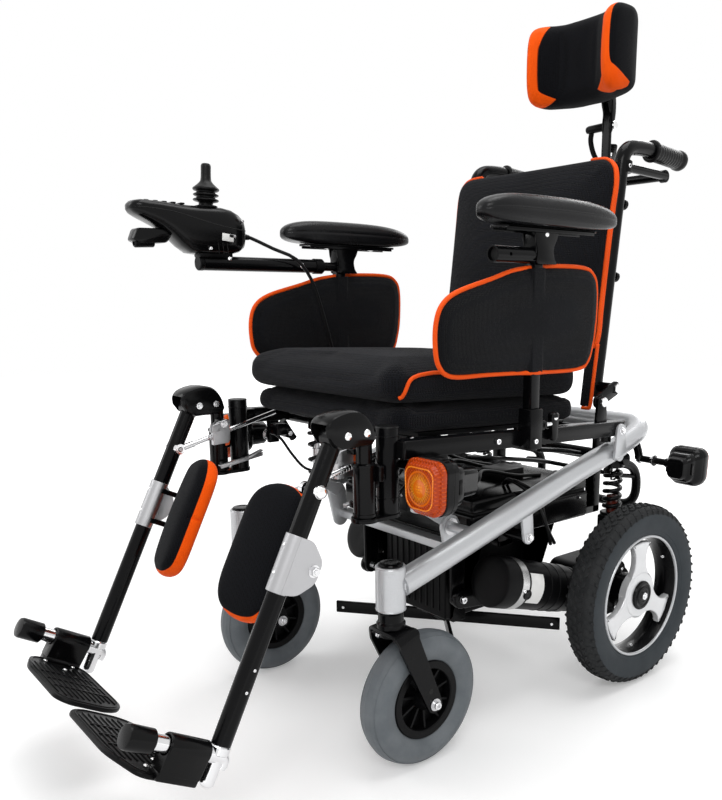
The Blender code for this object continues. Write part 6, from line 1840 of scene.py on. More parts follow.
def makeBackFrame(s):
    piece = Shape("backFrame", "back", ("back_frame",), "black_paint")
    for side, _ in sides:
        x = Vector((side * s["caneX"], 0, 0))
        route = bent((x + canePoint(-.006), x + canePoint(.409), x + caneTop + Vector((0, .060, .030)),
                      x + gripStart + Vector((0, .0752, -.007))), .035, 8)
        piece.take(hose(route, s["caneRadius"], 28), "blackPaint")
        plate = strap(seatSet["pivot"], .011, s["clamp"], .012)
        piece.take(across(plate, .211, .217, side, .0012), "blackPaint")
        piece.take(rod((side * s["caneX"], *s["clamp"]), (side * .214, *s["clamp"]), .009, 24), "blackPaint")
        piece.take(pipe(x + canePoint(-.006), x + canePoint(.018), .0142, .003, 28), "satinBlack")
        pin = ((0, 0), (.0050, 0), (.0050, .0102), (.0080, .0102), (.0080, .0142), (.0070, .0150), (0, .0150))
        piece.take(lathe(pin, (side * .2140, *seatSet["pivot"]), (side * .3, *seatSet["pivot"]), 28),
                   "chrome")
        piece.take(hexagon((side * .2170, *s["clamp"]), (side, 0, 0), .0085, .0050), "chrome")
        link = (x + caneTop + Vector((0, .004, -.006)), x + barCentre)
        piece.take(rod(*link, .0070, 24), "blackPaint")
        knuckle = ((0, 0), (.0150, 0), (.0150, .018), (.0125, .020), (0, .020))
        low, high = x + caneTop + Vector((0, .004, -.016)), x + caneTop + Vector((0, .0056, .004))
        piece.take(lathe(knuckle, low, high, 28), "satinBlack")
        for up in (.20, .32):                  # the barrel nuts that hold the sling behind each cane
            spot = x + canePoint(up, -.0110)
            nut = ((0, 0), (.0045, 0), (.0045, .0040), (.0078, .0045), (.0085, .0060), (.0085, .0110),
                   (.0070, .0125), (0, .0125))
            piece.take(lathe(nut, spot, spot - caneFront, 22), "glossPlastic")
        for up in (.055, .12, .27, .37):
            spot = x + canePoint(up, .0120)
            piece.take(box((.016, .0020, .022), spot, edge=.0005), "satinBlack")
        fasten("back", "socket", x + caneTop + Vector((side * .0120, .004, -.006)), (side, 0, 0), .7)
    bar = Vector((s["caneX"], 0, 0))
    piece.take(rod(barCentre - bar, barCentre + bar, .0080, 28), "blackPaint")
    for side, _ in sides:
        cap = barCentre + bar * side
        plug = ((0, 0), (.0098, 0), (.0108, .0012), (.0108, .0100), (.0096, .0112), (0, .0112))
        piece.take(lathe(plug, cap - Vector((side * .009, 0, 0)), cap + Vector((side, 0, 0)), 28),
                   "satinBlack")
    depth = .0695
    slot = box((.0206, .0056, .060), (0, stemCentre.y, barCentre.z))
    block = box((.034, depth, .026), barCentre + Vector((0, depth / 2 - .003, 0)), edge=.003, steps=3)
    piece.take(cutAway(block, slot), "satinBlack")
    piece.take(rod(barCentre - Vector((.020, 0, 0)), barCentre + Vector((.020, 0, 0)), .0125, 28),
               "satinBlack")
    for side, _ in sides:
        fasten("back", "socket", barCentre + Vector((side * .0165, .030, 0)), (side, 0, 0), .8)
    piece.done(bevel=.0005)


def makeGrip(side, label):
    piece = Shape(f"handleGrip_{label}", "back", (f"handle_grip_{label}",), "soft_plastic")
    start = gripStart + Vector((side * backSet["caneX"], .004, -.001))
    end = start + Vector((0, .094, -.008))
    profile = [(.0128, 0), (.0168, 0), (.0186, .0016), (.0186, .0052), (.0168, .0066), (.0152, .0080),
               (.0152, .0100)]
    for k in range(9):                         # shallow rings for the fingers
        run = .014 + .0072 * k
        profile += [(.0156, run), (.0158, run + .0020), (.0158, run + .0044), (.0152, run + .0056)]
    profile += [(.0158, .0800), (.0174, .0830), (.0176, .0890), (.0160, .0925), (.0120, .0940), (0, .0940),
                (0, .084), (.0128, .083)]
    piece.take(lathe(profile, start, end, 44), "softRubber")
    piece.take(lathe(((0, .0925), (.0060, .0925), (.0060, .0943), (0, .0943)), start, end, 20),
               "glossPlastic")
    piece.done(bevel=0, angle=55)


makeBackFrame(backSet)
for side, label in sides:
    makeGrip(side, label)
print("back frame ready")

# Headrest fittings
headSet = {
    "y": stemCentre.y, "pivotZ": barCentre.z + .172,
    "padBack": stemCentre.y - .034, "padZ": barCentre.z + .2205,
    "cheek": ((-.0025, .104), (.0025, .104), (.0100, .122), (.0135, .145), (.0120, .168), (.0060, .1815),
              (-.0040, .1825), (-.0105, .172), (-.0075, .155), (-.0025, .140), (-.0040, .120)),
}


def makeHeadStem(s):
    y, low = s["y"], barCentre.z
    piece = Shape("headrestStem", "headrest_slider", ("headrest_stem",), "black_paint")
    bar = box((.020, .005, .265), (0, y, low + .0575), edge=.0010)
    for k in range(5):
        height = low - .060 + .018 * k
        bar = cutAway(bar, rod((0, y - .01, height), (0, y + .01, height), .0030, 20))
    gap = box((.0126, .030, .040), (0, y, low + .179))
    piece.take(cutAway(bar, gap), "blackPaint")
    cheek = flatSmooth([(y + a, low + b) for a, b in s["cheek"]], 5, loop=True)
    for side, _ in sides:
        piece.take(across(cheek, .0060, .0100, side, .0010), "blackPaint")
    spine = [(0, y + .0068, low + .115), (0, y + .0112, low + .130), (0, y + .0115, low + .150)]
    piece.take(hose(smooth(spine, 6), .0058, 16, flat=.45), "satinBlack")
    piece.take(rod((-.0125, y, s["pivotZ"]), (.0125, y, s["pivotZ"]), .0030, 20), "chrome")
    for side, _ in sides:
        fasten("headrest_slider", "socket", (side * .0098, y, s["pivotZ"]), (side, 0, 0), .75)
    lever = low + .119                         # the cross lever that locks the neck
    handle = ((0, 0), (.0066, 0), (.0078, .003), (.0078, .044), (.0064, .049), (0, .0515))
    piece.take(lathe(handle, (-.0060, y + .010, lever), (-.20, y + .010, lever - .004), 28), "satinBlack")
    button = ((0, 0), (.0082, 0), (.0082, .0015), (.0070, .0032), (.0036, .0040), (0, .0040))
    piece.take(lathe(button, (.0098, y + .010, lever), (1, y + .010, lever), 28), "nickel")
    hang = smooth([(x, y + back, lever - drop) for x, back, drop in (
        (-.044, .010, .004), (-.046, .010, .022), (-.040, .011, .044), (-.030, .012, .062),
        (-.022, .0115, .076))], 6)
    piece.take(hose(hang, .0052, 14, flat=.42), "satinBlack")
    knob = low + .060
    piece.take(rod((0, y + .001, knob), (0, y + .020, knob), .0045, 20), "steel")
    tab = flatBent(((-.011, -.027), (.011, -.027), (.011, .027), (-.011, .027)), .005, 4)
    plate = slab(tab, "Y", -.002, .002, .0008)
    hole = slab([(a * .32, b * .16 + .006) for a, b in tab], "Y", -.01, .01)
    turn = Matrix.Rotation(math.radians(-14), 4, "X") @ Matrix.Rotation(math.radians(32), 4, "Z")
    turn = Matrix.Translation((0, y + .012, knob)) @ turn
    piece.take(cutAway(plate, hole), "glossPlastic", turn)
    piece.done(bevel=.0004)


def makeHeadBracket(s):
    piece = Shape("headrestBracket", "headrest", ("headrest_bracket",), "black_paint")
    tongue = strap((s["y"], s["pivotZ"]), .0120, (s["padBack"] + .0135, s["padZ"] - .006), .0125)
    pin = rod((-.02, s["y"], s["pivotZ"]), (.02, s["y"], s["pivotZ"]), .0040, 20)
    piece.take(cutAway(slab(tongue, "X", -.0058, .0058, .0012), pin), "blackPaint")
    plate = flatBent(((-.045, -.025), (.045, -.025), (.045, .025), (-.045, .025)), .010, 4)
    plates = ((1, 1, .0005, .0050, "blackPaint"), (.52, .62, .004, .0072, "satinBlack"))
    for wide, tall, near, far, finish in plates:
        outline = [(a * wide, b * tall + s["padZ"] - .004) for a, b in plate]
        piece.take(slab(outline, "Y", s["padBack"] + near, s["padBack"] + far, .0010), finish)
    for x in (-.034, .034):
        fasten("headrest", "dome", (x, s["padBack"] + .0050, s["padZ"] - .004), (0, 1, 0), .8)
    piece.done(bevel=.0004)


makeHeadStem(headSet)
makeHeadBracket(headSet)
print("headrest fittings ready")

# Armrest brackets and pads
restSet = {"x": .240, "postY": -.272, "rodZ": .7250, "under": .7637, "front": {"left": -.357, "right": -.400},
           "rear": -.250}


def makeArmBracket(s, side, label):
    body, x, front, level = f"armrest_{label}", side * s["x"], s["front"][label], s["rodZ"]
    piece = Shape(f"armrestBracket_{label}", body, (f"armrest_bracket_{label}",), "black_paint")
    piece.take(box((.018, .018, .2765), (x, s["postY"], .59075), edge=.0022), "blackPaint")
    if side > 0:                               # an open stub on this side, the controller's rod on the other
        stub = pipe((x, front, level), (x, s["rear"], level), .0116, .0022, 36)
        stub = cutAway(stub, rod((x, front + .024, level), (x + .03, front + .024, level), .0026, 18))
        piece.take(stub, "blackPaint")
        # a near-black disc inside the stub's mouth: painted shade
        piece.take(rod((x, front + .006, level), (x, front + .010, level), .0096, 32), "shadeBlack")
    else:
        piece.take(rod((x, front, level), (x, s["rear"], level), .0080, 28), "blackPaint")
    web = flatBent(((-.2855, .7620), (-.2350, .7620), (-.2385, .7480), (-.2470, .7360), (-.2440, .7200),
                    (-.2370, .7130), (-.2830, .7130), (-.2790, .7300), (-.2840, .7440)), .007, 4)
    for reach in (1, -1):
        low, high = sorted((x + reach * .0105, x + reach * .0130))
        piece.take(slab(web, "X", low, high, .0006), "blackPaint")
    piece.take(box((.0236, .0030, .0350), (x, -.2815, .7450), edge=.0008), "blackPaint")
    piece.take(box((.012, .040, .0387), (x, -.262, .74435), edge=.0010), "blackPaint")
    tray = flatBent(((-.015, -.350), (.015, -.350), (.015, -.150), (-.015, -.150)), .006, 4)
    top = s["under"] - .0001
    piece.take(slab([(a + x, b) for a, b in tray], "Z", top - .0036, top, .0008), "blackPaint")
    for reach in (1, -1):
        piece.take(box((.0024, .186, .0070), (x + reach * .0138, -.250, top - .0040), edge=.0008),
                   "blackPaint")
    for y in (-.292, -.192):
        fasten(body, "dome", (x + side * .006, y, top - .0034), (0, 0, -1), 1.0)
        piece.take(rod((x + side * .006, y, top - .0062), (x + side * .006, y, top - .003), .0068, 20),
                   "nickel")
    fasten(body, "dome", (x + side * .0128, -.262, .7540), (side, 0, 0), .7)
    piece.done(bevel=.0005)


def padSection(half, low, high):               # a domed top skin over a flat base, with the seam between them
    line = ((0, 0), (.55, 0), (.80, .010), (.93, .07), (.985, .20), (1.0, .36), (1.0, .47), (.972, .495),
            (.998, .52), (.985, .62), (.93, .75), (.82, .86), (.66, .93), (.46, .975), (.22, .995), (0, 1.0))
    right = [(half * a, low + (high - low) * b) for a, b in line]
    return right + [(-a, b) for a, b in reversed(right[1:-1])]


armPadSet = {"x": .2465, "rear": -.1005, "front": -.3895, "width": .027, "middle": .7800, "base": .0160,
             "crown": .0420}


def makeArmPad(s, side, label):
    piece = Shape(f"armrestPad_{label}", f"armrest_{label}", (f"armrest_pad_{label}",), "soft_plastic")
    x, rear, front = side * s["x"], s["rear"], s["front"]
    rings = []
    for k in range(33):
        share = k / 32
        reach = math.cos(math.pi * (1 - share))  # close rings at the ends
        y = (front + rear) / 2 + (rear - front) / 2 * reach
        swell = math.sin(math.pi * min(1, share * 2 + .2))
        taper = .90 + .10 * (1 - share) if share > .5 else .95 + .05 * swell
        width = s["width"] * taper * (1 - abs(reach) ** (4.2 if reach < 0 else 3.2)) ** .40
        tall = (1 - abs(reach) ** (5.0 if reach < 0 else 4.0)) ** .45
        crown = s["crown"] - .0050 * max(0, reach) ** 2 - .0018 * max(0, -reach) ** 2
        low = s["middle"] - s["base"] * max(.04, tall)
        high = s["middle"] + (crown - s["base"]) * max(.04, tall)
        rings.append([(x + a, y, b) for a, b in padSection(max(.0012, width), low, high)])
    piece.take(loft(rings), "armPadSkin")
    piece.done(bevel=0, angle=180)


for side, label in sides:
    makeArmBracket(restSet, side, label)
    makeArmPad(armPadSet, side, label)
print("armrests ready")

# Controller: a pod that narrows to its nose, on a tube that slides on the armrest's rod
podSet = {
    "x": -.2440, "tubeX": -.2400, "tubeZ": .725, "stickY": -.533,
    "side": ((-.4675, .7740, .7790, .0040), (-.4690, .7590, .7905, .0130), (-.4740, .7490, .7985, .0200),
             (-.4830, .7430, .8055, .0250), (-.4960, .7400, .8115, .0278), (-.5120, .7388, .8142, .0288),
             (-.5330, .7382, .8146, .0289), (-.5540, .7382, .8145, .0287), (-.5700, .7400, .8146, .0284),
             (-.5840, .7495, .8152, .0280), (-.6000, .7645, .8162, .0276), (-.6180, .7775, .8172, .0272),
             (-.6340, .7850, .8178, .0262), (-.6480, .7910, .8180, .0240), (-.6580, .7960, .8160, .0200),
             (-.6630, .8005, .8120, .0130), (-.6642, .8040, .8080, .0050)),
    "seam": ((-.4690, .7790), (-.4960, .7800), (-.5330, .7860), (-.5700, .7945), (-.6000, .8010),
             (-.6340, .8045), (-.6600, .8055)),
}


def podSection(x, y, low, high, half):
    middle, tall = (low + high) / 2, (high - low) / 2
    ring = []
    for k in range(40):
        angle = math.tau * k / 40
        c, s = math.cos(angle), math.sin(angle)
        power = .62 if s > 0 else .52
        a = math.copysign(abs(c) ** .50, c)
        b = math.copysign(abs(s) ** power, s)
        a *= 1 - .10 * max(0, s) ** 2 - .12 * max(0, -s) ** 3
        ring.append((x + half * a, y, middle + tall * b))
    return ring


def podSeam(piece, s):                         # the joint between the two halves of the case, a near-black line of painted shade in the gap
    for reach in (1, -1):
        line = []
        for y, z in flatSmooth(s["seam"], 5):
            for first, second in zip(s["side"], s["side"][1:]):
                if second[0] <= y <= first[0]:
                    share = (y - first[0]) / (second[0] - first[0])
                    low, high, half = [first[i] + (second[i] - first[i]) * share for i in (1, 2, 3)]
                    level = max(-1, min(1, (z - (low + high) / 2) / ((high - low) / 2)))
                    angle = math.asin(math.copysign(abs(level) ** (1 / (.62 if level > 0 else .52)), level))
                    out = half * abs(math.cos(angle)) ** .50 * (1 - .10 * max(0, math.sin(angle)) ** 2)
                    line.append((s["x"] + reach * (out - .0001), y, z))
                    break
        piece.take(hose(line, .00075, 8), "shadeBlack")


def podTube(piece, s):                         # the tube that slides on the armrest's rod
    def onTube(y, out=0.0):                    # a point on the sliding tube's axis, or beside it
        return s["tubeX"] + out, y, s["tubeZ"]

    tube = rod(onTube(-.551), onTube(-.310), .0120, 40)
    piece.take(cutAway(tube, rod(onTube(-.440), onTube(-.300), .0086, 32)), "blackPaint")
    plug = ((0, 0), (.0110, 0), (.0124, .0014), (.0124, .0080), (.0116, .0090), (0, .0090))
    piece.take(lathe(plug, onTube(-.5545), onTube(-.5), 36), "satinBlack")
    piece.take(box((.024, .060, .014), (s["tubeX"], -.525, .7400), edge=.0030), "satinBlack")
    fasten("controller", "dome", (s["tubeX"] + .0118, -.5020, .7330), (1, 0, .3), .7)
    collar = ((.0088, 0), (.0136, 0), (.0136, .016), (.0088, .016))
    piece.take(lathe(collar, onTube(-.328), onTube(0), 36), "satinBlack")
    for reach in (1, -1):
        fasten("controller", "dome", onTube(-.3600, reach * .0120), (reach, 0, 0), .85)
    piece.take(rod(onTube(-.320, -.0120), onTube(-.320, -.024), .0060, 24), "satinBlack")


def makeController(s):
    piece = Shape("controller", "controller", ("controller",), "black_plastic")
    pod = loft([podSection(s["x"], *row) for row in s["side"]])
    well = rod((s["x"], s["stickY"], .7935), (s["x"], s["stickY"], .83), .0161, 36)
    piece.take(cutAway(pod, well), "glossPlastic")
    podSeam(piece, s)
    lean = Matrix.Rotation(math.radians(-6), 3, "X")
    piece.take(box((.0012, .0205, .0118), (s["x"] + .0292, -.5105, .7655), lean, edge=.0003), "labelWhite")
    piece.take(box((.0014, .0120, .0052), (s["x"] + .0291, -.5020, .7680), lean, edge=.0002), "steel")
    for k in range(3):                         # moulded ribs above the saddle
        rib = [(s["x"] + out, y - .0080 * k, z) for out, y, z in (
            (.0283, -.5120, .7570), (.0278, -.5110, .7480), (.0250, -.5090, .7400))]
        piece.take(hose(smooth(rib, 4), .0010, 10), "glossPlastic")
    for y, z, out in ((-.4800, .7930, .0225), (-.5420, .7470, .0272)):
        fasten("controller", "socket", (s["x"] + out, y, z), (1, .3, .2), .55)
    for k in range(5):                         # keys on the top of the nose
        y = -.580 - .0145 * k
        piece.take(box((.0300 - .0012 * k, .0075, .0026), (s["x"], y, .8158 + .0003 * k), edge=.0010),
                   "softRubber")
    bezel = ((0, 0), (.0190, 0), (.0190, .0018), (.0175, .0026), (.0163, .0026), (.0163, 0))
    piece.take(lathe(bezel, (s["x"], s["stickY"], .8138), (s["x"], s["stickY"], .9), 40), "glossPlastic")
    under = flatBent(((-.6640, .7560), (-.6560, .7750), (-.6100, .7760), (-.5980, .7700), (-.6080, .7540),
                      (-.6500, .7510)), .005, 4)
    piece.take(slab(under, "X", s["x"] - .014, s["x"] + .014, .0030), "glossPlastic")
    barrel = ((0, 0), (.0068, 0), (.0074, .0012), (.0074, .0300), (.0060, .0315), (.0045, .0315),
              (.0045, .0290), (0, .0290))
    piece.take(lathe(barrel, (s["x"] + .004, -.6280, .7540), (s["x"] + .004, -.66, .7525), 24), "satinBlack")
    piece.take(box((.014, .024, .026), (s["x"], -.608, .7760), edge=.0030), "satinBlack")
    fasten("controller", "dome", (s["x"] + .0070, -.6080, .7650), (1, 0, 0), .6)
    podTube(piece, s)
    boot = ((0, 0), (.0062, 0), (.0062, .006), (.0050, .008), (.0050, .014), (.0040, .0205), (.0031, .0210),
            (.0031, .006), (0, .006))
    piece.take(lathe(boot, (s["x"], -.4760, .7715), (s["x"], -.4500, .7690), 28), "softRubber")
    piece.done(bevel=.0004, angle=42)


def makeJoystick(s):
    piece = Shape("joystick", "joystick", ("joystick",), "soft_plastic")
    foot = (s["x"], s["stickY"], .8090)
    tip = (s["x"], s["stickY"] + .004, .8830)
    ball = ((0, -.0150), (.0080, -.0130), (.0132, -.0076), (.0148, 0), (.0120, .0060), (.0114, .0125),
            (.0104, .0140), (.0110, .0300), (0, .0300))
    piece.take(lathe(ball, foot, tip, 32), "softRubber")
    bellows = [(.0104, .0112), (.0118, .0124), (.0150, .0132)]
    for low, out in ((.0136, .0210), (.0218, .0206)):
        bellows += [(.0156, low), (out - .0022, low + .0006), (out - .0007, low + .0014), (out, low + .0024),
                    (out - .0004, low + .0034), (out - .0018, low + .0042), (.0156, low + .0056),
                    (.0150, low + .0070)]
    bellows += [(.0156, .0298), (.0196, .0308), (.0210, .0320), (.0215, .0334), (.0210, .0348),
                (.0196, .0360), (.0168, .0382), (.0140, .0406), (.0110, .0436), (.0092, .0462),
                (.0086, .0484), (.0084, .0500)]
    shaft = [(.0082, .0520), (.0080, .0600), (.0081, .0680), (.0079, .0706), (.0070, .0726), (.0052, .0737),
             (.0025, .0741), (0, .0742)]
    piece.take(lathe(bellows + shaft + [(0, .0110)], foot, tip, 44), "softRubber")
    piece.done(bevel=0, angle=60)


makeController(podSet)
makeJoystick(podSet)
print("controller ready")

# Soft goods: each starts a little small, is blown up as cloth, and gets its seams and piping afterwards
clothSet = {"frames": 20, "pressure": 4.0, "quality": 4, "mass": .20, "stiff": 12.0, "bend": 2.0}


def pillow(half, edge, corner, crown=0.0, draw=0.0, cuts=13):  # a block with round edges and drawn-in sides
    part = bmesh.new()
    bmesh.ops.create_cube(part, size=2)
    bmesh.ops.subdivide_edges(part, edges=part.edges[:], cuts=cuts, use_grid_fill=True)
    for vert in part.verts:
        point = [math.sin(vert.co[i] * math.pi / 2) * half[i] for i in range(3)]
        core = Vector([max(-(half[i] - edge), min(half[i] - edge, point[i])) for i in range(3)])
        away = Vector(point) - core
        point = core + away.normalized() * edge if away.length > 1e-9 else core
        inner = [max(-(half[i] - corner), min(half[i] - corner, point[i])) for i in range(2)]
        beyond = [(point[i] - inner[i]) / corner for i in range(2)]
        for i in range(2):
            point[i] = inner[i] + corner * beyond[i] * math.sqrt(1 - beyond[1 - i] ** 2 / 2)
        flat = [point[i] / half[i] for i in range(3)]
        point.z += crown * max(0.0, flat[2]) * (1 - flat[0] ** 2) * (1 - flat[1] ** 2)
        point.x *= 1 - draw * (1 - flat[1] ** 2)
        point.y *= 1 - draw * (1 - flat[0] ** 2)
        vert.co = point
    return part


def finishedBy(mesh, *steps):                  # the mesh after these modifiers
    thing = bpy.data.objects.new("soft", mesh)
    bpy.context.scene.collection.objects.link(thing)
    for kind, values in steps:
        step = thing.modifiers.new(kind.lower(), kind)
        for key, value in values.items():
            setattr(step, key, value)
    bpy.context.view_layer.update()
    graph = bpy.context.evaluated_depsgraph_get()
    result = bpy.data.meshes.new_from_object(thing.evaluated_get(graph), depsgraph=graph)
    bpy.data.objects.remove(thing)
    bpy.data.meshes.remove(mesh)
    return result


def blown(part, voxel, cap, held, pressure=1.0):  # held: how firmly a point stays, from 0 to 1
    mesh = bpy.data.meshes.new("net")
    part.to_mesh(mesh)
    part.free()
    mesh = finishedBy(mesh, ("REMESH", {"mode": "VOXEL", "voxel_size": voxel}),
                      ("SMOOTH", {"factor": .5, "iterations": 4}))
    first = [v.co.copy() for v in mesh.vertices]
    thing = bpy.data.objects.new("soft", mesh)
    bpy.context.scene.collection.objects.link(thing)
    group = thing.vertex_groups.new(name="held")
    for i, point in enumerate(first):
        group.add([i], held(point), "REPLACE")
    cloth = thing.modifiers.new("fill", "CLOTH")
    given = cloth.settings
    given.quality, given.mass = clothSet["quality"], clothSet["mass"]
    given.tension_stiffness = given.compression_stiffness = given.shear_stiffness = clothSet["stiff"]
    given.bending_stiffness = clothSet["bend"]
    given.use_pressure = True
    given.uniform_pressure_force = clothSet["pressure"] * pressure
    given.effector_weights.gravity = 0
    given.vertex_group_mass = "held"
    cloth.collision_settings.use_collision = False
    cloth.point_cache.frame_start, cloth.point_cache.frame_end = 1, clothSet["frames"]
    for frameNumber in range(1, clothSet["frames"] + 1):
        bpy.context.scene.frame_set(frameNumber)
    graph = bpy.context.evaluated_depsgraph_get()
    full = thing.evaluated_get(graph).to_mesh()
    for point, vert, end in zip(first, mesh.vertices, full.vertices):
        move = end.co - point
        vert.co = point + move * min(1.0, cap / max(1e-9, move.length))
    bpy.context.scene.frame_set(1)
    bpy.data.objects.remove(thing)
    mesh = finishedBy(mesh, ("SMOOTH", {"factor": .5, "iterations": 2}),
                      ("SUBSURF", {"levels": 1, "render_levels": 1}))
    left = bmesh.new()
    left.from_mesh(mesh)
    bpy.data.meshes.remove(mesh)
    return left


def sewn(part, path, depth, width):            # a stitched groove along a path
    tree = KDTree(len(path))
    for i, point in enumerate(path):
        tree.insert(point, i)
    tree.balance()
    part.normal_update()
    for vert in part.verts:
        distance = tree.find(vert.co)[2]
        if distance < width * 3:
            vert.co = vert.co - vert.normal * depth * math.exp(-(distance / width) ** 2)
    return part


def dense(points, gap=.0015):                  # the same path with close points
    line = []
    for a, b in zip(points, points[1:]):
        steps = max(1, int((b - a).length / gap))
        line += [a.lerp(b, k / steps) for k in range(steps)]
    return line + [points[-1]]


def onSkin(part, points, lift):                # the path laid on the part's own surface
    tree = BVHTree.FromBMesh(part)
    laid = []
    for point in points:
        spot, normal, _, _ = tree.find_nearest(point)
        laid.append(spot + normal * lift)
    for _ in range(3):
        laid = [laid[0]] + [(a + b * 2 + c) / 4 for a, b, c in zip(laid, laid[1:], laid[2:])] + [laid[-1]]
    return laid


# Seat: a thin base pad and a cushion with a round front, piped along each side
seatPadSets = (
    {"name": "seatBasePad", "node": "seat_base_pad", "half": (.1930, .1905, .0190), "base": .0003,
     "rise": .0200, "edge": .0120, "crown": .0, "front": -.485, "swell": .006, "piping": ()},
    {"name": "seatCushion", "node": "seat_cushion", "half": (.1975, .1970, .0290), "base": .0406,
     "rise": .0305, "edge": .0235, "crown": .004, "front": -.497, "swell": .0055,
     "piping": ((-.4880, .5240), (-.4815, .5290), (-.4755, .5440), (-.4690, .5570), (-.4540, .5650),
                (-.4300, .5680), (-.3900, .5680), (-.2600, .5630), (-.1300, .5580))},
)


def makeSeatPad(s, rear=-.100):
    half = s["half"]
    middle = (s["front"] + rear) / 2
    lift = Matrix.Translation((0, middle, railTop(middle) + s["base"] + s["rise"]))
    seat = lift @ Matrix.Rotation(-seatSet["slope"], 4, "X")
    block = pillow(half, s["edge"], .022, s["crown"], .006)
    for vert in block.verts:                   # the front rolls forward and stays full at its corners
        reach = max(0.0, -vert.co.y / half[1]) ** 6
        vert.co.y -= reach * .006 * (1 - (vert.co.z / half[2]) ** 2)

    def held(point):
        side = max(abs(point.x) / half[0], point.y / half[1])
        under = .92 if point.z < -half[2] * .75 else 0
        return max(under, .6 if side > .96 and abs(point.z) < half[2] * .5 else 0)

    part = blown(block, .0060, s["swell"], held, .8)
    bmesh.ops.transform(part, matrix=seat, verts=part.verts)
    piece = Shape(s["name"], "base", (s["node"],), "black_fabric")
    if s["piping"]:
        cords = []
        for side, _ in sides:
            line = smooth([(side * .200, y, z) for y, z in s["piping"]], 8)
            cords.append(onSkin(part, line, .0012))
        for line in cords:
            part = sewn(part, dense(line), .0016, .0035)
        for line in cords:
            piece.take(hose(line, .0028, 12), "orangeCloth")
    else:                                      # a seam round the top face
        ring = []
        for k in range(161):
            a, b = math.cos(math.tau * k / 160), math.sin(math.tau * k / 160)
            out = math.copysign(abs(a) ** .30, a) * .990 * half[0]
            ahead = math.copysign(abs(b) ** .30, b) * .990 * half[1]
            ring.append(seat @ Vector((out, ahead, half[2] * .62)))
        part = sewn(part, dense(onSkin(part, ring, 0)), .0014, .0030)
    piece.take(part, "meshFabric")
    piece.done(bevel=0, angle=180)


# Back cushion: thin at its edges, piped twice round its sides and top, with a strip hanging at each side
backPadSet = {
    "half": (.1860, .1660, .0130), "place": (.2225, .0251), "swell": .0170, "hollow": .0035, "piping": .0031,
    "strip": ((.1885, -.1400, .0026), (.1880, -.1700, .0022), (.1875, -.2100, .0018), (.1865, -.2440, .0014),
              (.1800, -.2480, .0012), (.1700, -.2480, .0012)),
}


def makeBackCushion(s):
    half = s["half"]
    turn = Matrix((Vector((1, 0, 0)), caneHeading, caneFront)).transposed().to_4x4()
    place = Matrix.Translation(canePoint(*s["place"])) @ turn
    block = pillow(half, .0122, .036, 0, .010)
    for vert in block.verts:                   # thin at its edges, full in the middle
        swell = (1 - (vert.co.x / half[0]) ** 4) * (1 - (vert.co.y / half[1]) ** 4)
        vert.co.z += s["swell"] * max(0.0, vert.co.z / half[2]) * max(0.0, swell)

    def held(point):
        side = max(abs(point.x) / half[0], abs(point.y) / half[1])
        return max(.95 if point.z < -half[2] * .6 else 0, .8 if side > .94 else 0)

    part = blown(block, .0056, .010, held)
    for vert in part.verts:                    # a shallow hollow for the sitter's back
        if vert.co.z > 0:
            vert.co.z -= s["hollow"] * math.exp(-(vert.co.x / .075) ** 2) * max(0, 1 - (vert.co.y / .17) ** 2)
    bmesh.ops.transform(part, matrix=place, verts=part.verts)
    piece = Shape("backCushion", "back", ("back_cushion",), "black_fabric")
    cords = []
    for side, _ in sides:
        for depth in (-.0040, .0026):
            corners = [(side * .1900, -.1530, depth), (side * .1900, .1675, depth),
                       (side * .1300, .1675, depth * .4)]
            line = [place @ p for p in dense(bent(corners, .034, 12), .006)]
            cords.append(onSkin(part, line, .0014))
    for line in cords:
        part = sewn(part, dense(line), .0008, .0030)
    for line in cords:
        piece.take(hose(line, s["piping"], 12), "orangeCloth")
    for side, _ in sides:                      # a strip runs down each side behind the seat
        strip = box((.020, .100, .0055), (side * .1760, -.1950, .0010), edge=.0020)
        piece.take(strip, "meshFabric", place)
        edge = smooth([place @ Vector((side * x, y, z)) for x, y, z in s["strip"]], 6)
        piece.take(hose(edge, s["piping"], 12), "orangeCloth")
    piece.take(part, "meshFabric")
    piece.done(bevel=0, angle=180)


# Side panels: padded boards of cloth with piping all round
panelSet = {
    "outline": ((-.453, .658), (-.426, .675), (-.365, .693), (-.312, .708), (-.247, .714), (-.163, .713),
                (-.135, .703), (-.125, .680), (-.125, .630), (-.130, .597), (-.141, .568), (-.167, .557),
                (-.265, .556), (-.366, .559), (-.434, .561), (-.458, .576), (-.465, .602), (-.464, .634)),
    "x": .240, "middle": Vector((-.295, .635)),
}


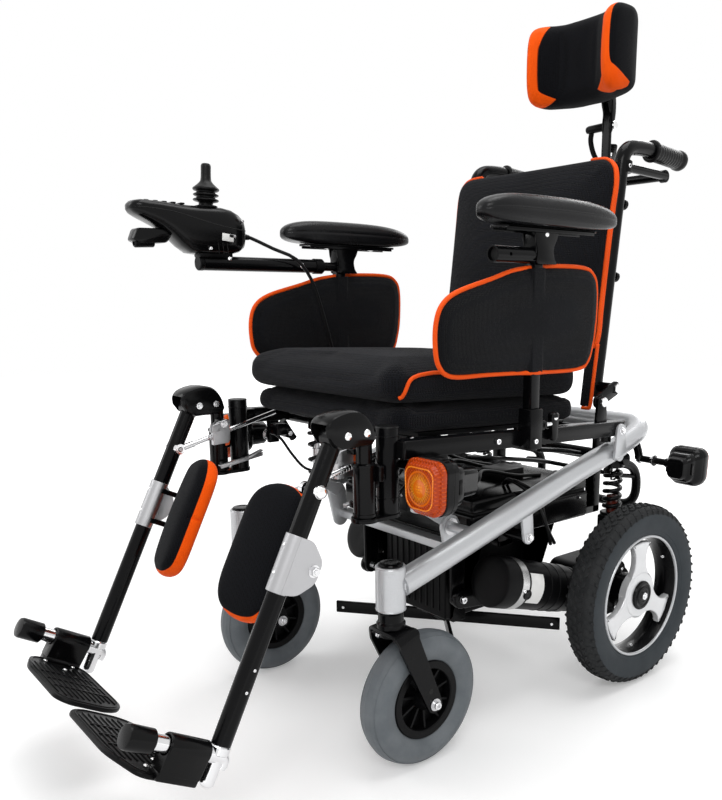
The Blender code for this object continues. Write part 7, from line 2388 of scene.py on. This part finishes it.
def makeSidePanel(s, side, label):
    rim = smooth([(0, y, z) for y, z in s["outline"]], 6, loop=True)
    tree = KDTree(len(rim))
    for i, p in enumerate(rim):
        tree.insert(p, i)
    tree.balance()
    inset = []
    for i, p in enumerate(rim):                # the board's own edge lies inside the piping
        heading = (rim[(i + 1) % len(rim)] - rim[i - 1]).normalized()
        inward = Vector((0, -heading.z, heading.y))
        if inward.dot(Vector((0, *s["middle"])) - p) < 0:
            inward = -inward
        inset.append(p + inward * .0045)
    board = slab([(p.y, p.z) for p in inset], "X", -.0085, .0085, .0035, 3)

    def held(point):
        edge = tree.find((0, point.y, point.z))[2]
        return 1.0 if edge < .0095 else .25 if edge < .014 else 0.0

    part = blown(board, .0048, .0048, held, .55)
    for vert in part.verts:                    # the padding thins out towards the piping
        edge = tree.find((0, vert.co.y, vert.co.z))[2]
        vert.co.x *= .50 + .50 * min(1.0, max(0.0, edge - .003) / .018) ** .6
        ridge = max(0.0, min(1.0, 2.1 - abs(vert.co.y + .272) / .0105))
        if abs(vert.co.x) > .0012:
            vert.co.x = math.copysign(max(abs(vert.co.x), .0108 * ridge), vert.co.x)
        vert.co.x = max(-.0128, min(.0128, vert.co.x))
        vert.co.x += side * s["x"]
    piece = Shape(f"sidePanel_{label}", f"armrest_{label}", (f"side_panel_{label}",), "black_fabric")
    middle = Vector((side * s["x"], *s["middle"]))
    line = [p + Vector((side * s["x"], 0, 0)) for p in rim]
    line = [p.lerp(middle, .004 / (p - middle).length) for p in line]
    for p in line:                             # the piping runs over the post at the foot
        if p.z < .61:
            p.x += side * .0098 * math.exp(-((p.y + .272) / .015) ** 2)
    piece.take(hose(line, .0034, 12, loop=True), "orangeCloth")
    piece.take(part, "sideFabric")
    piece.done(bevel=0, angle=180)


# Cloth in two colours: orange where the mask is 1 and black mesh elsewhere, with a step at the border
def twoTone(look, name, mask, cells, rise, depth):
    cell = look.add("ShaderNodeTexVoronoi", {}, {"Vector": look.spot, "Scale": cells, "Randomness": 0.25})
    hole = look.band(cell, 0.52, 0.22)
    # the cells' holes are painted darker: painted shade
    black = look.mix(hole, (0.0040, 0.0043, 0.0058), (0.0012, 0.0012, 0.0016))
    cloud = look.band(look.noise(30, 4), 0.3, 0.8)
    orange = look.mix(cloud * 0.35, (1.0, 0.108, 0.003), (0.84, 0.072, 0.002))
    look.set("Base Color", look.mix(mask, black, orange))
    look.set("Roughness", mask * -0.22 + 0.86)
    look.set("Normal", look.bump(mask * rise - hole * 0.4, depth, 0.7))
    looks[name] = look.material


def clothLook(name):
    sheen = {"Sheen_Weight": 0.03, "Sheen_Roughness": 0.5, "Specular_IOR_Level": 0.07}
    return Look(name, (0.01, 0.01, 0.01), 0.86, 0.0, **sheen)


# Headrest: a block whose ends reach forward, with an orange band round each wing's front
headPadSet = {"half": (.1035, .0300, .0735), "edge": .0225, "corner": .0250, "forward": .0680, "tuck": .038}


def headCloth():
    look = clothLook("headFabric")
    x, y, z = look.split()
    out = x.maths("ABSOLUTE")
    low = look.band(z, 1.056, 1.026)
    inner = 0.0735 - low * 0.040 - look.band(z, 1.125, 1.165) * 0.007
    onFront = look.band(out, inner - 0.0008, inner + 0.0008)
    drop = ((1.118 - z) / 0.0713).maths("MAXIMUM", 0.0)
    sideEdge = ((drop ** 2.6) * 0.073 + (0.0470 + axleY)).maths("MINIMUM", 0.126 + axleY)
    frontEdge = 0.104 + axleY
    share = look.band(out, 0.0900, 0.0985)
    limit = sideEdge * share + (share * -1 + 1) * frontEdge
    mask = onFront * look.band(limit - y, -0.0008, 0.0008)
    twoTone(look, "headFabric", mask, 380, 2.5, 0.0011)


def makeHeadPad(s, fittings):
    half = s["half"]
    block = pillow(half, s["edge"], s["corner"])
    for vert in block.verts:                   # each wing is egg-shaped, with its foot cut up at the back
        share = abs(vert.co.x) / half[0]
        front = (1 - vert.co.y / half[1]) / 2
        up = vert.co.z / half[2]
        wing = max(0.0, share - .30) / .70
        tuck = 1 - math.sqrt(max(0.0, 1 - min(1.0, abs(up)) ** 3))
        vert.co.y -= front * (s["forward"] * wing ** 1.6 - s["tuck"] * wing * tuck)
        vert.co.y += (1 - front) * .004 * wing
        vert.co.z *= 1 + .08 * share * share
        vert.co.z += (1 - front) * .020 * wing * max(0.0, -up)
    part = blown(block, .0042, .0060, lambda p: .95 if p.y > .012 and abs(p.x) < .06 else .1, .8)
    place = Vector((0, fittings["padBack"] - .0303, fittings["padZ"]))
    bmesh.ops.translate(part, vec=place, verts=part.verts)
    piece = Shape("headrestPad", "headrest", ("headrest_pad",), "black_fabric")
    for side, _ in sides:                      # the seam inside each wing
        line = smooth([(side * .052, .060, z) for z in (1.020, 1.05, 1.09, 1.13, 1.165)], 12)
        part = sewn(part, dense(onSkin(part, line, 0)), .0012, .0030)
    piece.take(part, "headFabric")
    piece.done(bevel=0, angle=180)


# Calf pads: oval faces of mesh with an orange wall, on their hinges
calfSet = {"half": (.0535, .0955, .0165), "toe": math.radians(15), "distance": legSet["calf"], "x": .117,
           "back": .0355, "hingeX": .1794, "hingeBack": .030}


def calfCloth(padFrame, label):
    look = clothLook(f"calfFabric_{label}")
    middle = padFrame.translation + Vector((0, axleY, 0))
    facing = padFrame.to_3x3() @ Vector((0, 0, 1))
    aside = padFrame.to_3x3() @ Vector((1, 0, 0)) * (1 if label == "left" else -1) + legWay * 0.7
    fromMiddle = look.add("ShaderNodeVectorMath", {"operation": "SUBTRACT"}, {0: look.spot, 1: tuple(middle)})

    def reach(heading):                        # how far a point lies along a heading
        sockets = {0: fromMiddle, 1: tuple(heading)}
        return look.add("ShaderNodeVectorMath", {"operation": "DOT_PRODUCT"}, sockets, out=1)

    depth = reach(facing)
    edge = look.band(reach(aside), 0.0, 0.050) * 0.0100 + 0.0050
    mask = look.band(depth, -0.0150, -0.0143) * look.band(edge - depth, 0.0, 0.0007)
    twoTone(look, f"calfFabric_{label}", mask, 340, -1.0, 0.0009)


def makeCalfPad(s, side, label):
    low = legPoint(s["distance"] - .0185, side, s["hingeX"], s["hingeBack"])
    toe = Matrix.Rotation(-side * s["toe"], 4, legWay)
    about = Matrix.Translation(low) @ toe @ Matrix.Translation(-low)
    padFrame = Matrix((Vector((1, 0, 0)), -legWay, legFront)).transposed().to_4x4()
    padFrame.translation = legPoint(s["distance"], side, s["x"], s["back"])
    padFrame = about @ padFrame
    calfCloth(padFrame, label)
    part = blown(pillow(s["half"], .0155, .0520, .006, 0, 11), .0042, .0045,
                 lambda p: .95 if p.z < -.008 else .1, .8)
    seam = smooth([(-side * .0560, .004, z) for z in (-.016, -.006, .004, .012)], 8)
    part = sewn(part, dense(onSkin(part, seam, 0)), .0026, .0021)
    bmesh.ops.transform(part, matrix=padFrame, verts=part.verts)
    piece = Shape(f"calfPad_{label}", f"calf_pad_{label}", (f"calf_pad_{label}",), "black_fabric")
    piece.take(part, f"calfFabric_{label}")
    high = low + legWay * .037
    barrel = ((.0060, 0), (.0076, 0), (.0085, .0012), (.0085, .0358), (.0076, .0370), (.0060, .0370))
    piece.take(lathe(barrel, low, high, 32), "satinBlack")
    leaf = box((.026, .004, .034), legPoint(s["distance"], side, s["hingeX"] - .014, s["hingeBack"] + .003),
               Matrix.Rotation(-legSet["lean"], 3, "X"), .0008)
    piece.take(leaf, "satinBlack", about)
    piece.done(bevel=0, angle=45)


for settings in seatPadSets:
    makeSeatPad(settings)
print("seat cushions ready")
makeBackCushion(backPadSet)
print("back cushion ready")
for side, label in sides:
    makeSidePanel(panelSet, side, label)
print("side panels ready")
headCloth()
makeHeadPad(headPadSet, headSet)
for side, label in sides:
    makeCalfPad(calfSet, side, label)
print("headrest and calf pads ready")

setFasteners()
